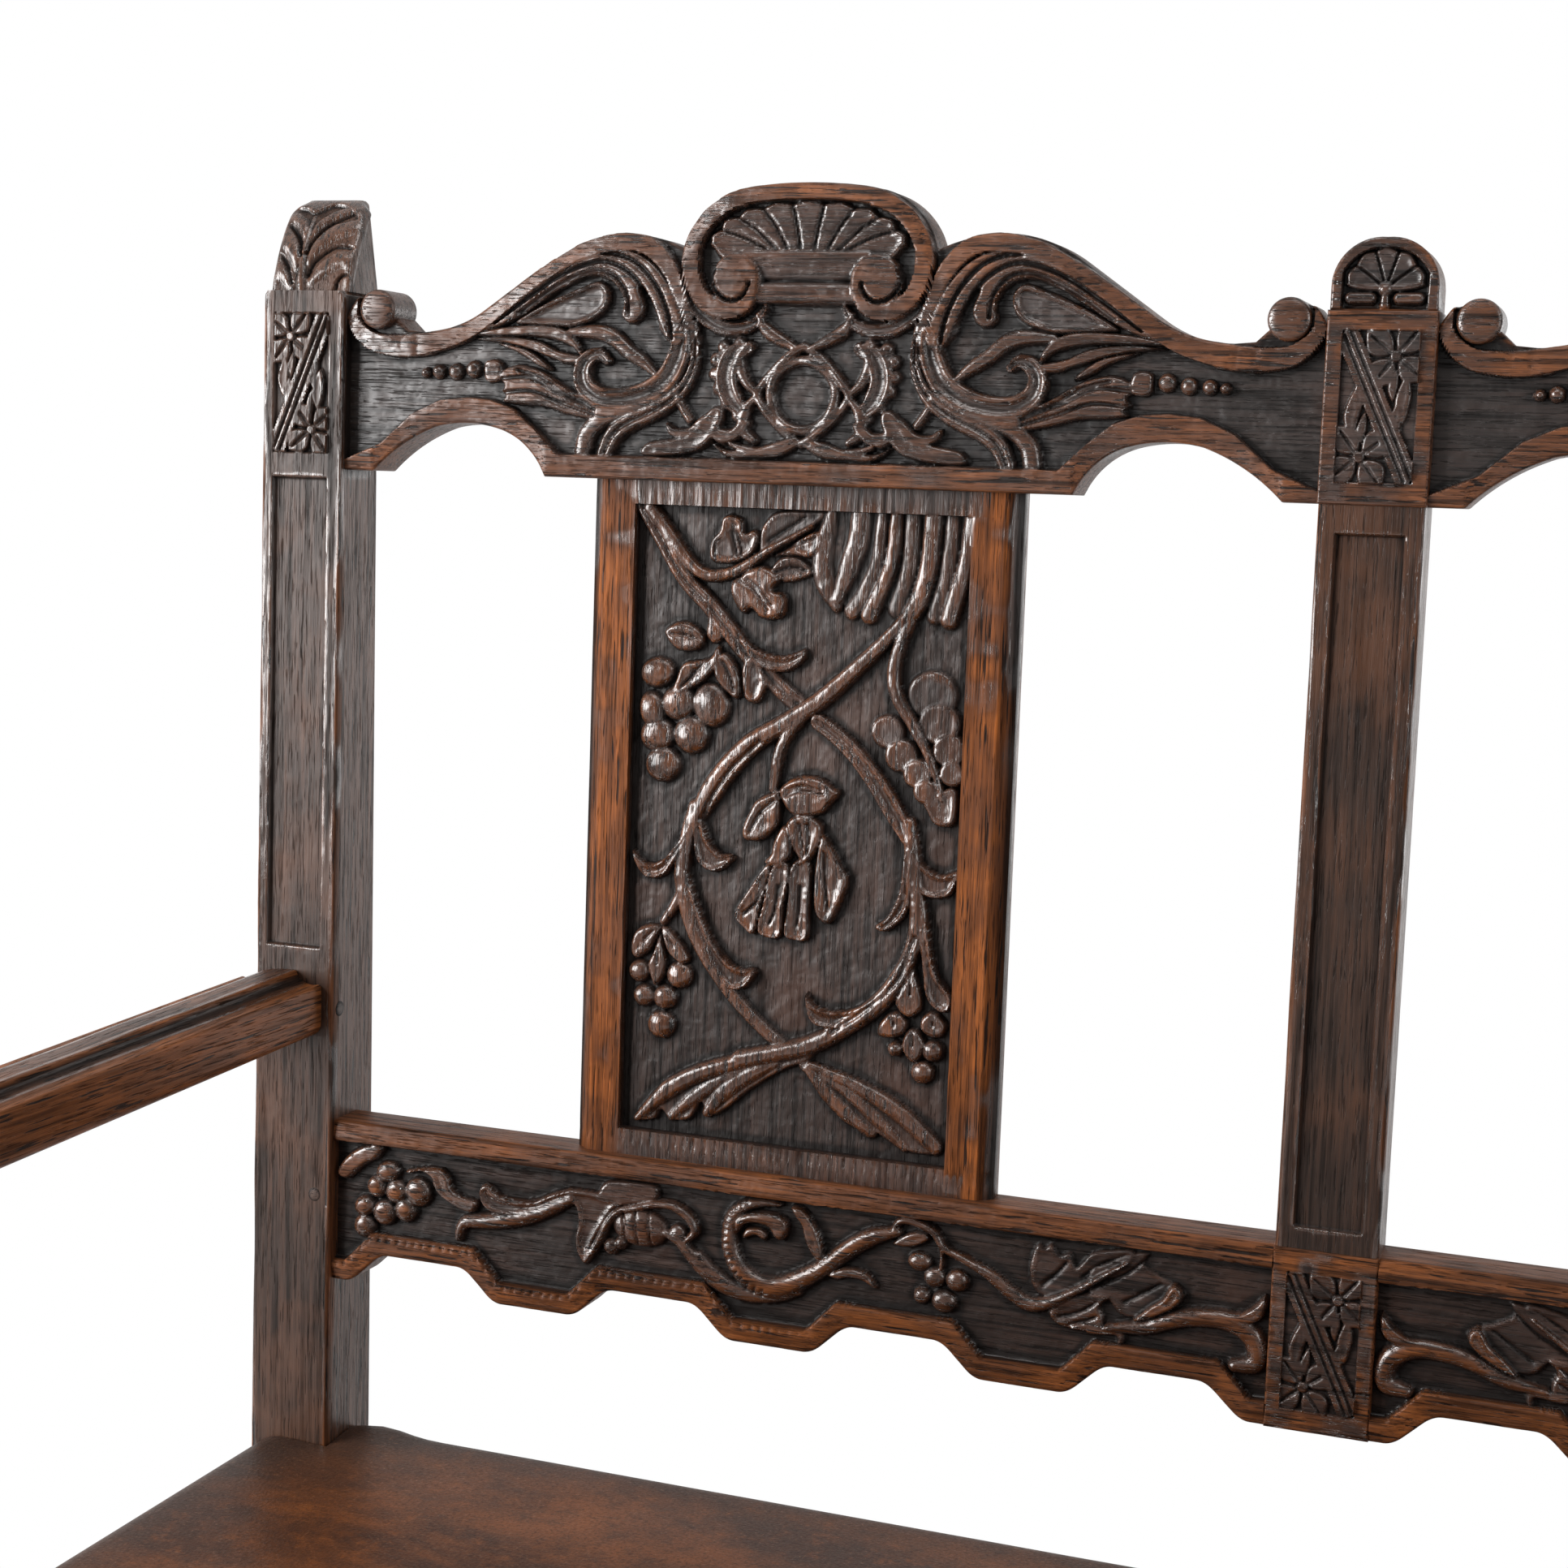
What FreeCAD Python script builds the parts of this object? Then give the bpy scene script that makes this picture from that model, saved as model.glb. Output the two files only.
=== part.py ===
"""Carved oak hall bench with a leather seat, as separate joined pieces.

Millimetres. +X runs along the bench to the sitter's left as seen from the front, the front is -Y
and +Z is up. The origin is on the floor, under the middle of the bench.
"""
import FreeCAD, Part
import os
import re
import Sketcher

doc = FreeCAD.newDocument("HallBench")
sheet = doc.addObject("Spreadsheet::Sheet", "Dims")
Vector = FreeCAD.Vector

# Driving dimensions. Levels are heights above the floor, fronts and backs are places along Y, and
# offsets inside a bay are counted from the middle of that bay of the back.
DIMENSIONS = {
    # Back posts
    "half_length": 562.7, "post_width": 46, "post_front": 204, "post_back": 250, "post_top_back": 239,
    "post_shoulder": 1054, "finial_top": 1099, "finial_inset": 2.4, "finial_foot": 207, "finial_lean": 213,
    "finial_lean_level": 1078, "finial_crown": 232, "finial_back_level": 1094, "plaque_low": 972, "plaque_high": 1043,
    "field_low": 715.8, "field_high": 960, "field_outer": 556.7, "field_inner": 525, "field_depth": 2.5,
    # Crest rail: the outline of one bay, mirrored about the bay and about the bench
    "rail_front": 207, "rail_thick": 25, "relief": 6, "bay_inner": 24, "shoulder_end": 516.7,
    "crest_bottom": 964.3, "crest_band": 975.7, "dome_top": 1107, "dome_flat": 37, "dome_flat_level": 1103.6,
    "dome_half": 63.5, "dome_spring": 1076, "dome_bulge": 55, "dome_bulge_level": 1092.5,
    "hump_offset": 95.4, "hump_top": 1083.5, "ogee_radius": 62.5, "ogee_angle": 35, "dip_offset": 204.6,
    "dip_level": 1034.6, "band_width": 11.4, "eye_offset": 228.5, "eye_level": 1045, "eye_radius": 9.4,
    "scroll_half": 14.8, "scroll_low": 1038, "volute_offset": 36.5, "volute_level": 1059, "volute_eye": 11,
    "volute_low": 1037, "neck_level": 1050, "neck_half": 23, "eye_proud": 1.5,
    "arch_inner": 134.5, "arch_inner_turn": 162, "arch_peak": 177, "arch_outer_turn": 194, "arch_outer": 230.5,
    "arch_turn_level": 987.6, "arch_peak_level": 989.5, "arch_shoulder": 978.5, "arch_bow": 10, "arch_lean": 19,
    "plaque_half": 24, "plaque_field_half": 17, "plaque_top": 1049.5, "plaque_field_low": 974,
    "plaque_field_high": 1041, "cap_half": 23.4, "cap_spring": 1062, "cap_top": 1081.3, "cap_bulge": 16.6,
    "cap_bulge_level": 1075.6,
    # Lower back rail with its stepped edge
    "lower_top": 625, "lower_band": 614, "step_flat": 555, "step_tip": 538.7, "step_pitch": 129.2,
    "flat_half": 24.5, "tip_half": 23, "step_band": 10.3, "ground_flat_half": 28.5, "ground_tip_half": 19.5,
    "tip_round": 5,
    # Panels and the centre muntin between the two rails of the back
    "splat_centre": 271.5, "splat_half": 110, "splat_bevel": 7.3, "splat_bevel_depth": 6, "splat_front": 215.5,
    "splat_thick": 14, "splat_field_half": 86, "splat_field_low": 638.4, "splat_field_high": 952.4,
    "splat_tenon_half": 95, "muntin_half": 23.5, "muntin_bevel": 2.5, "muntin_field_half": 15.5,
    "muntin_field_low": 634.8, "muntin_field_high": 951.6, "muntin_tenon_half": 15,
    "stub": 12, "stub_front": 218, "stub_thick": 8,
    # Arms: a moulded section carried down a gentle slope and rolled over at the front
    "arm_centre": 547.8, "arm_half": 24.5, "arm_top": 703.4, "arm_thick": 34, "arm_round": 7, "arm_cove": 14.4,
    "arm_cove_drop": 6.5, "arm_lip": 1.5, "arm_slope": 2.1, "arm_turn": -200.25, "arm_roll": 34, "arm_roll_angle": 115,
    "arm_eye": 17, "arm_eye_proud": 1, "arm_tenon_outer": 553, "arm_tenon_inner": 529, "arm_tenon_low": 673,
    "arm_tenon_high": 695,
    # Front legs, turned between square blocks, and their spigots in the arms
    "leg_centre": -190, "foot_top": 64, "low_block_top": 146, "high_block": 320, "high_block_top": 458,
    "leg_core": 20, "arm_shoulder": 656.2, "collar_radius": 14, "collar": 5, "spigot_radius": 11, "spigot": 14,
    # Seat frame
    "seat_top": 450, "seat_rail_top": 405, "seat_rail_low": 330, "seat_rail_thick": 24, "seat_rail_inset": 3.5,
    "seat_tenon_low": 342, "seat_tenon_high": 392, "brace_half": 12, "brace_low": 345, "brace_top": 400,
    "brace_tenon": 12, "corner_low": 350, "corner_thick": 40, "corner_near": 19, "corner_far": 54,
    # Upholstery
    "leather": 2.5, "seat_half": 562, "seat_front": -212, "seat_back": 246, "seat_edge_round": 18, "hem": 372,
    "notch_gap": 1, "webbing": 1.6, "webbing_width": 55, "hessian": 1.2, "ply_gap": 0.2, "nail_level": 378,
    "nail_radius": 4.5, "nail_height": 2, "nail_pitch": 24,
    # Stretchers
    "stretcher_low": 84, "stretcher_tall": 38, "stretcher_thick": 22, "stretcher_bevel": 5, "stretcher_place": 18.5,
    # Joints
    "tenon": 28, "tenon_front": 214.5, "tenon_thick": 10, "short_tenon": 20, "fit": 0.15, "peg_radius": 4,
    "crest_tenon_low": 976, "crest_tenon_high": 1028, "lower_tenon_low": 562, "lower_tenon_high": 608,
    "arm_peg_depth": 7.5, "arm_peg_level": 683.7, "lower_peg_offset": 525.7, "lower_peg_level": 584.4,
    "crest_peg_offset": 530, "peg_length": 30, "crest_peg_spread": 13,
}
for row, (alias, amount) in enumerate(DIMENSIONS.items(), start=1):
    sheet.set(f"A{row}", alias)
    sheet.set(f"B{row}", str(amount))
    sheet.setAlias(f"B{row}", alias)
doc.recompute()

NAME = re.compile(r"[a-z_]+")
PLANE_SIGN = {"XZ_Plane": "-", "YZ_Plane": "", "XY_Plane": ""}
finished = {}


def bound(text):
    """Turns the aliases in an expression into references to the sheet's cells."""
    return NAME.sub(lambda word: "Dims." + word.group(0) if word.group(0) in DIMENSIONS else word.group(0), str(text))


def size(text):
    """Value of an expression of sheet cells."""
    return float(sheet.evalExpression(bound(text)))


def new_body(label):
    """Starts a piece that is built from sketches."""
    body = doc.addObject("PartDesign::Body", label)
    body.Label = label
    return body


def sketch_on(body, role, level, along="0"):
    """Adds a sketch on one of the body's own planes, moved to a level, and along the sketch's own x."""
    sketch = body.newObject("Sketcher::SketchObject", "Sketch")
    sketch.AttachmentSupport = [(plane, "") for plane in body.Origin.OriginFeatures if plane.Role == role]
    sketch.MapMode = "FlatFace"
    sketch.setExpression("AttachmentOffset.Base.z", bound(f"{PLANE_SIGN[role]}({level})"))
    sketch.setExpression("AttachmentOffset.Base.x", bound(along))
    return sketch


def pin_down(sketch, edge, end, point):
    """Binds an edge's end to a pair of expressions."""
    for kind, text in zip(("DistanceX", "DistanceY"), point):
        index = sketch.addConstraint(Sketcher.Constraint(kind, -1, 1, edge, end, size(text)))
        sketch.setExpression(f"Constraints[{index}]", bound(text))


def outline(sketch, points):
    """Draws a closed outline. A corner is (x, y), and (x, y, "arc") is a point that an arc passes between corners."""
    corners = [index for index, point in enumerate(points) if len(point) == 2]
    edges = []
    for place, index in enumerate(corners):
        after = corners[(place + 1) % len(corners)]
        start = Vector(size(points[index][0]), size(points[index][1]), 0)
        stop = Vector(size(points[after][0]), size(points[after][1]), 0)
        between = points[(index + 1) % len(points)]
        if len(between) == 2:
            edges.append((sketch.addGeometry(Part.LineSegment(start, stop), False), 1, 2))
            continue
        middle = Vector(size(between[0]), size(between[1]), 0)
        turn = (middle - start).cross(stop - middle).z
        first, last = (start, stop) if turn > 0 else (stop, start)
        edge = sketch.addGeometry(Part.Arc(first, middle, last), False)
        edges.append((edge, 1, 2) if turn > 0 else (edge, 2, 1))
    for place, (edge, first, last) in enumerate(edges):
        following = edges[(place + 1) % len(edges)]
        sketch.addConstraint(Sketcher.Constraint("Coincident", edge, last, following[0], following[1]))
        pin_down(sketch, edge, first, points[corners[place]])
    return sketch


def rectangle(sketch, left, low, right, high):
    """Draws a rectangle between four expressions."""
    return outline(sketch, [(left, low), (right, low), (right, high), (left, high)])


def circle(sketch, across, up, radius):
    """Draws a circle whose middle and radius are bound."""
    edge = sketch.addGeometry(Part.Circle(Vector(size(across), size(up), 0), Vector(0, 0, 1), size(radius)), False)
    pin_down(sketch, edge, 3, (across, up))
    index = sketch.addConstraint(Sketcher.Constraint("Radius", edge, size(radius)))
    sketch.setExpression(f"Constraints[{index}]", bound(radius))
    return sketch


def raise_from(sketch, length, backwards=False):
    """Pads a sketch along its normal, or the other way."""
    feature = sketch.getParentGeoFeatureGroup().newObject("PartDesign::Pad", "Pad")
    feature.Profile = sketch
    feature.Reversed = backwards
    feature.setExpression("Length", bound(length))
    doc.recompute()
    return feature


def sink_into(sketch, depth, backwards=False):
    """Pockets a sketch against its normal, or the other way, and makes sure that wood was removed."""
    body = sketch.getParentGeoFeatureGroup()
    before = body.Shape.Volume
    feature = body.newObject("PartDesign::Pocket", "Pocket")
    feature.Profile = sketch
    feature.Reversed = backwards
    feature.setExpression("Length", bound(depth))
    doc.recompute()
    if body.Shape.Volume >= before:
        raise RuntimeError(f"a pocket of {body.Label} removes nothing")
    return feature


def flip(text):
    """Mirror image of an expression across the middle of the bench."""
    return f"-({text})"


def side_of(sign, text):
    """An expression on the right half of the bench for sign 1, and its mirror image for sign -1."""
    return text if sign > 0 else flip(text)


def mirrored(points):
    """Mirror image of a run of outline points, in running order."""
    return [(flip(point[0]), *point[1:]) for point in reversed(points)]


def keep(label, piece):
    """Registers a finished piece under its node name."""
    piece.Label = label
    finished[label] = piece
    return piece


def box(left, front, low, right, back, high):
    """A squared block between six expressions."""
    block = doc.addObject("Part::Box", "Block")
    for name, near, far in (("Length", left, right), ("Width", front, back), ("Height", low, high)):
        block.setExpression(name, bound(f"({far}) - ({near})"))
    for axis, near in zip("xyz", (left, front, low)):
        block.setExpression(f"Placement.Base.{axis}", bound(near))
    return block


def peg(x, y, z, axis, length, radius="peg_radius"):
    """A round peg that starts at a point and runs along a direction."""
    rod = doc.addObject("Part::Cylinder", "Peg")
    rod.setExpression("Radius", bound(radius))
    rod.setExpression("Height", bound(length))
    rod.Placement.Rotation = FreeCAD.Rotation(Vector(0, 0, 1), Vector(*axis))
    for name, text in zip("xyz", (x, y, z)):
        rod.setExpression(f"Placement.Base.{name}", bound(text))
    return rod


def group(label, pieces):
    """Several loose solids of one kind under one name."""
    bundle = doc.addObject("Part::Compound", label)
    bundle.Links = pieces
    return keep(label, bundle)


def joined(pieces):
    """One piece of wood from overlapping blocks."""
    fusion = doc.addObject("Part::MultiFuse", "Joined")
    fusion.Shapes = pieces
    fusion.Refine = True
    return fusion


def cut_from(base, tools):
    """The base with every tool taken out."""
    tool = tools[0] if len(tools) == 1 else joined(tools)
    cut = doc.addObject("Part::Cut", "Cut")
    cut.Base = base
    cut.Tool = tool
    return cut


# Expressions that several pieces share
BAY = "(bay_inner + shoulder_end) / 2"
BAY_HALF = "(shoulder_end - bay_inner) / 2"
OGEE_RUN = "ogee_radius * sin(ogee_angle * 1deg)"
OGEE_RISE = "ogee_radius * (1 - cos(ogee_angle * 1deg))"
HALF_RUN = "ogee_radius * sin(ogee_angle * 0.5deg)"
HALF_RISE = "ogee_radius * (1 - cos(ogee_angle * 0.5deg))"
RAIL_BACK = "rail_front + rail_thick"
TENON_BACK = "tenon_front + tenon_thick"
LEG = "half_length - post_width / 2"
LEG_FRONT = "leg_centre - post_width / 2"
LEG_BACK = "leg_centre + post_width / 2"
SIDE_RAIL = "half_length - seat_rail_inset"
FRONT_RAIL = "leg_centre - post_width / 2 + seat_rail_inset"
BACK_RAIL = "seat_back - leather - fit - fit"
SEAT_TENON_HALF = "tenon_thick / 2"
STRETCHER_TOP = "stretcher_low + stretcher_tall"


# Back posts
def back_post(label, sign):
    """Square post with a tapered back, sunk fields, mortises and a leaf-shaped finial that leans back."""
    body = new_body(label)
    near_face = "shoulder_end" if sign > 0 else "-half_length"
    profile = sketch_on(body, "YZ_Plane", near_face)
    outline(profile, [("post_front", "0"), ("post_back", "0"), ("post_back", "seat_top"),
                      ("post_top_back", "post_shoulder"), ("post_front", "post_shoulder")])
    raise_from(profile, "post_width")
    finial = sketch_on(body, "YZ_Plane", f"{near_face} + finial_inset")
    outline(finial, [("finial_foot", "post_shoulder"), ("post_top_back", "post_shoulder"),
                     ("post_top_back", "finial_back_level"), ("finial_crown", "finial_top"),
                     ("finial_lean", "finial_lean_level", "arc")])
    raise_from(finial, "post_width - 2 * finial_inset")
    fields = sketch_on(body, "XZ_Plane", "post_front")
    inner, outer = sorted((side_of(sign, "field_inner"), side_of(sign, "field_outer")), key=size)
    rectangle(fields, inner, "plaque_low", outer, "plaque_high")
    rectangle(fields, inner, "field_low", outer, "field_high")
    sink_into(fields, "field_depth")
    mortises = sketch_on(body, "YZ_Plane", side_of(sign, "shoulder_end"))
    for low, high in (("crest_tenon_low", "crest_tenon_high"), ("lower_tenon_low", "lower_tenon_high")):
        rectangle(mortises, "tenon_front - fit", f"{low} - fit", f"{TENON_BACK} + fit", f"{high} + fit")
    sink_into(mortises, "tenon + fit", sign > 0)
    seat_mortise = sketch_on(body, "YZ_Plane", side_of(sign, "shoulder_end"))
    middle = f"{BACK_RAIL} - seat_rail_thick / 2"
    rectangle(seat_mortise, f"{middle} - {SEAT_TENON_HALF} - fit", "seat_tenon_low - fit",
              f"{middle} + {SEAT_TENON_HALF} + fit", "seat_tenon_high + fit")
    sink_into(seat_mortise, "short_tenon + fit", sign > 0)
    sockets = sketch_on(body, "XZ_Plane", "post_front")
    for inner, outer, low, high in front_sockets():
        left, right = sorted((side_of(sign, inner), side_of(sign, outer)), key=size)
        rectangle(sockets, f"{left} - fit", f"{low} - fit", f"{right} + fit", f"{high} + fit")
    sink_into(sockets, "short_tenon + fit")
    front_hole = sketch_on(body, "XZ_Plane", "post_front")
    circle(front_hole, side_of(sign, "lower_peg_offset"), "lower_peg_level", "peg_radius + fit")
    sink_into(front_hole, "peg_length + fit")
    back_holes = sketch_on(body, "XZ_Plane", "post_top_back - peg_length")
    for level in crest_peg_levels():
        circle(back_holes, side_of(sign, "crest_peg_offset"), level, "peg_radius + fit")
    sink_into(back_holes, "peg_length + tenon")
    arm_hole = sketch_on(body, "YZ_Plane", side_of(sign, "shoulder_end"))
    circle(arm_hole, "post_front + arm_peg_depth", "arm_peg_level", "peg_radius + fit")
    sink_into(arm_hole, "peg_length + fit", sign > 0)
    return keep(label, body)


def front_sockets():
    """Mortises in the front of a back post: the arm, the side seat rail and the side stretcher."""
    rail = f"{SIDE_RAIL} - seat_rail_thick / 2"
    return [("arm_tenon_inner", "arm_tenon_outer", "arm_tenon_low", "arm_tenon_high"),
            (f"{rail} - {SEAT_TENON_HALF}", f"{rail} + {SEAT_TENON_HALF}", "seat_tenon_low", "seat_tenon_high"),
            (f"{LEG} - {SEAT_TENON_HALF}", f"{LEG} + {SEAT_TENON_HALF}", "stretcher_low + stretcher_bevel",
             f"{STRETCHER_TOP} - stretcher_bevel")]


def crest_peg_levels():
    """Heights of the two pegs in each tenon of the crest rail."""
    middle = "(crest_tenon_low + crest_tenon_high) / 2"
    return [f"{middle} - crest_peg_spread", f"{middle} + crest_peg_spread"]


# Crest rail
def crest_top_half():
    """Top outline of half a bay, from its dome out to its end scroll."""
    return [("0", "dome_top"), ("dome_flat / 2", "dome_top - (dome_top - dome_flat_level) / 4", "arc"),
            ("dome_flat", "dome_flat_level"), ("dome_bulge", "dome_bulge_level", "arc"),
            ("dome_half", "dome_spring"), (f"hump_offset - {HALF_RUN} * 0.9", f"hump_top - {HALF_RISE} * 0.8", "arc"),
            ("hump_offset", "hump_top"), (f"hump_offset + {HALF_RUN}", f"hump_top - {HALF_RISE}", "arc"),
            (f"hump_offset + {OGEE_RUN}", f"hump_top - {OGEE_RISE}"),
            (f"dip_offset - {OGEE_RUN}", f"dip_level + {OGEE_RISE}"),
            (f"dip_offset - {HALF_RUN}", f"dip_level + {HALF_RISE}", "arc"), ("dip_offset", "dip_level"),
            ("eye_offset - eye_radius", "dip_level + 2"), ("eye_offset - eye_radius", "eye_level + 5", "arc"),
            ("eye_offset", "eye_level + eye_radius + 1"), ("eye_offset + 10.5", "eye_level + 6.5", "arc"),
            ("eye_offset + scroll_half", "scroll_low")]


def crest_low_half():
    """Lower outline of half a bay, from its middle out over the arch."""
    return [("0", "crest_bottom"), ("arch_inner", "crest_bottom"),
            ("arch_inner + arch_bow", "arch_shoulder", "arc"), ("arch_inner_turn", "arch_turn_level"),
            ("arch_peak", "arch_peak_level", "arc"), ("arch_outer_turn", "arch_turn_level"),
            ("arch_outer_turn + arch_lean", "arch_shoulder", "arc"), ("arch_outer", "crest_bottom")]


def ground_half():
    """Sunk ground of half a bay of the crest, from under the dome out to the end and back along the arch."""
    return [("0", "neck_level"), ("neck_half", "neck_level"), ("volute_offset + 2", "volute_low", "arc"),
            ("dome_half - 3", "neck_level"), ("dome_half + 3", "dome_spring - band_width"),
            (f"hump_offset - {HALF_RUN} * 0.8", f"hump_top - band_width - {HALF_RISE} * 0.7", "arc"),
            ("hump_offset", "hump_top - band_width"),
            (f"hump_offset + {HALF_RUN} * 0.8", f"hump_top - band_width - {HALF_RISE} * 0.8", "arc"),
            (f"hump_offset + {OGEE_RUN} * 0.8", f"hump_top - band_width - {OGEE_RISE} * 0.82"),
            (f"dip_offset - {OGEE_RUN} * 1.15", f"dip_level - band_width + {OGEE_RISE} * 1.16"),
            (f"dip_offset - {HALF_RUN} * 1.15", f"dip_level - band_width + {HALF_RISE} * 1.16", "arc"),
            ("dip_offset", "dip_level - band_width"), ("eye_offset", "dip_level - band_width"),
            (BAY_HALF, "eye_level - eye_radius"), (BAY_HALF, "crest_band"),
            ("arch_outer_turn + arch_lean + 3", "arch_shoulder + band_width * 1.2", "arc"),
            ("arch_peak", "arch_peak_level + band_width"),
            ("arch_inner + arch_bow - 1", "arch_shoulder + band_width * 1.1", "arc"),
            ("arch_inner - 7", "crest_band"), ("0", "crest_band")]


def half_bay_to_bay(half):
    """A closed bay outline from its outer half, mirrored about the bay's middle."""
    outer = [(f"{BAY} + ({point[0]})", *point[1:]) for point in half]
    inner = [(f"{BAY} - ({point[0]})", *point[1:]) for point in half]
    return outer[1:-1] + inner[1:-1][::-1]


def crest_rail():
    """Top rail of the back: scrolled outline, sunk grounds, scroll eyes and the centre plaque under its cap."""
    body = new_body("crest_rail")
    top, low = crest_top_half(), crest_low_half()
    cap = [("cap_bulge", "cap_bulge_level", "arc"), ("cap_half", "cap_spring"), ("cap_half", "plaque_top"),
           ("bay_inner + 2", "plaque_top")]
    bay_top = [(f"{BAY} - ({point[0]})", *point[1:]) for point in top[::-1]]
    bay_top += [(f"{BAY} + ({point[0]})", *point[1:]) for point in top[1:]]
    bay_low = [(f"{BAY} + ({point[0]})", *point[1:]) for point in low[::-1]]
    bay_low += [(f"{BAY} - ({point[0]})", *point[1:]) for point in low[1:]]
    ends = [("shoulder_end", "scroll_low - 2"), ("shoulder_end", "crest_bottom")]
    right = cap + bay_top + ends + bay_low
    face = sketch_on(body, "XZ_Plane", "rail_front")
    outline(face, [("0", "cap_top")] + right + mirrored(right))
    raise_from(face, "rail_thick", True)
    grounds = sketch_on(body, "XZ_Plane", "rail_front")
    ground = half_bay_to_bay(ground_half())
    outline(grounds, ground)
    outline(grounds, mirrored(ground))
    sink_into(grounds, "relief")
    plaque = sketch_on(body, "XZ_Plane", "rail_front")
    rectangle(plaque, "-plaque_half", "crest_bottom", "plaque_half", "plaque_top")
    raise_from(plaque, "eye_proud")
    plaque_field = sketch_on(body, "XZ_Plane", "rail_front - eye_proud")
    rectangle(plaque_field, "-plaque_field_half", "plaque_field_low", "plaque_field_half", "plaque_field_high")
    sink_into(plaque_field, "field_depth")
    eyes = sketch_on(body, "XZ_Plane", "rail_front")
    for sign in (-1, 1):
        for offset, level, radius in (("eye_offset", "eye_level", "eye_radius - 0.4"),
                                      ("volute_offset", "volute_level", "volute_eye")):
            circle(eyes, side_of(sign, f"{BAY} - ({offset})"), level, radius)
            circle(eyes, side_of(sign, f"{BAY} + ({offset})"), level, radius)
    raise_from(eyes, "eye_proud")
    add_end_tenons(body, "crest_tenon_low", "crest_tenon_high")
    cut_stub_mortises(body, "crest_bottom", True)
    holes = sketch_on(body, "XZ_Plane", "tenon_front")
    for sign in (-1, 1):
        for level in crest_peg_levels():
            circle(holes, side_of(sign, "crest_peg_offset"), level, "peg_radius + fit")
    sink_into(holes, "tenon_thick")
    return keep("crest_rail", body)


def add_end_tenons(body, low, high):
    """Tenons at both ends of a rail of the back."""
    tenons = sketch_on(body, "XZ_Plane", "tenon_front")
    for sign in (-1, 1):
        left, right = sorted((side_of(sign, "shoulder_end - tenon"), side_of(sign, "shoulder_end + tenon")), key=size)
        rectangle(tenons, left, low, right, high)
    raise_from(tenons, "tenon_thick", True)


def cut_stub_mortises(body, level, upwards):
    """Mortises for the stub tenons of both panels and the muntin."""
    slots = sketch_on(body, "XY_Plane", level)
    for middle, half in (("-splat_centre", "splat_tenon_half"), ("0", "muntin_tenon_half"),
                         ("splat_centre", "splat_tenon_half")):
        rectangle(slots, f"{middle} - {half} - fit", "stub_front - fit", f"{middle} + {half} + fit",
                  "stub_front + stub_thick + fit")
    sink_into(slots, "stub + fit", upwards)


# Lower back rail
def stepped_edge(flat_level, tip_level, flat_half, tip_half):
    """Steps of half a bay's lower edge, from the tip at its middle out to the tip at its end."""
    points = []
    for flat in ("step_pitch / 2", "step_pitch * 3 / 2"):
        tip_before = f"{flat} - step_pitch / 2 + {tip_half}"
        tip_after = f"{flat} + step_pitch / 2 - {tip_half}"
        points += [(tip_before, tip_level), (f"{flat} - {flat_half}", flat_level),
                   (f"{flat} + {flat_half}", flat_level), (tip_after, tip_level)]
    return points


def lower_back_rail():
    """Lower rail of the back: stepped lower edge, sunk grounds, centre plaque, tenons and mortises."""
    body = new_body("lower_back_rail")
    steps = stepped_edge("step_flat", "step_tip", "flat_half", "tip_half")
    edge = [(f"{BAY} + ({x})", z) for x, z in steps[::-1]] + [(f"{BAY} - ({x})", z) for x, z in steps]
    right = [("shoulder_end", "lower_top"), ("shoulder_end", "step_tip")] + edge
    face = sketch_on(body, "XZ_Plane", "rail_front")
    outline(face, right + mirrored(right))
    raise_from(face, "rail_thick", True)
    tips = [f"Edge{index}" for index, line in enumerate(body.Shape.Edges, start=1) if is_tip_corner(line)]
    squared = body.Tip
    rounding = body.newObject("PartDesign::Fillet", "Rounding")
    rounding.Base = (squared, tips)
    rounding.setExpression("Radius", bound("tip_round"))
    doc.recompute()
    grounds = sketch_on(body, "XZ_Plane", "rail_front")
    inner_steps = stepped_edge("step_flat + step_band", "step_tip + step_band", "ground_flat_half", "ground_tip_half")
    low = [(f"{BAY} + ({x})", z) for x, z in inner_steps[::-1]] + [(f"{BAY} - ({x})", z) for x, z in inner_steps]
    ground = [("bay_inner", "lower_band"), ("shoulder_end", "lower_band"), ("shoulder_end", "step_tip + step_band")]
    ground += low + [("bay_inner", "step_tip + step_band")]
    outline(grounds, ground)
    outline(grounds, mirrored(ground))
    sink_into(grounds, "relief")
    plaque = sketch_on(body, "XZ_Plane", "rail_front")
    rectangle(plaque, "-plaque_field_half", "step_tip + step_band", "plaque_field_half", "lower_band")
    sink_into(plaque, "field_depth")
    add_end_tenons(body, "lower_tenon_low", "lower_tenon_high")
    cut_stub_mortises(body, "lower_top", False)
    holes = sketch_on(body, "XZ_Plane", "tenon_front")
    for sign in (-1, 1):
        circle(holes, side_of(sign, "lower_peg_offset"), "lower_peg_level", "peg_radius + fit")
    sink_into(holes, "tenon_thick")
    return keep("lower_back_rail", body)


def is_tip_corner(line):
    """True for the edges across the rail's thickness at the corners of its tips."""
    box_of = line.BoundBox
    clear_of_ends = abs(abs(box_of.XMin) - size("shoulder_end")) > 1
    return box_of.ZMax < size("step_tip") + 0.01 and box_of.XLength < 0.01 and clear_of_ends


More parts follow.
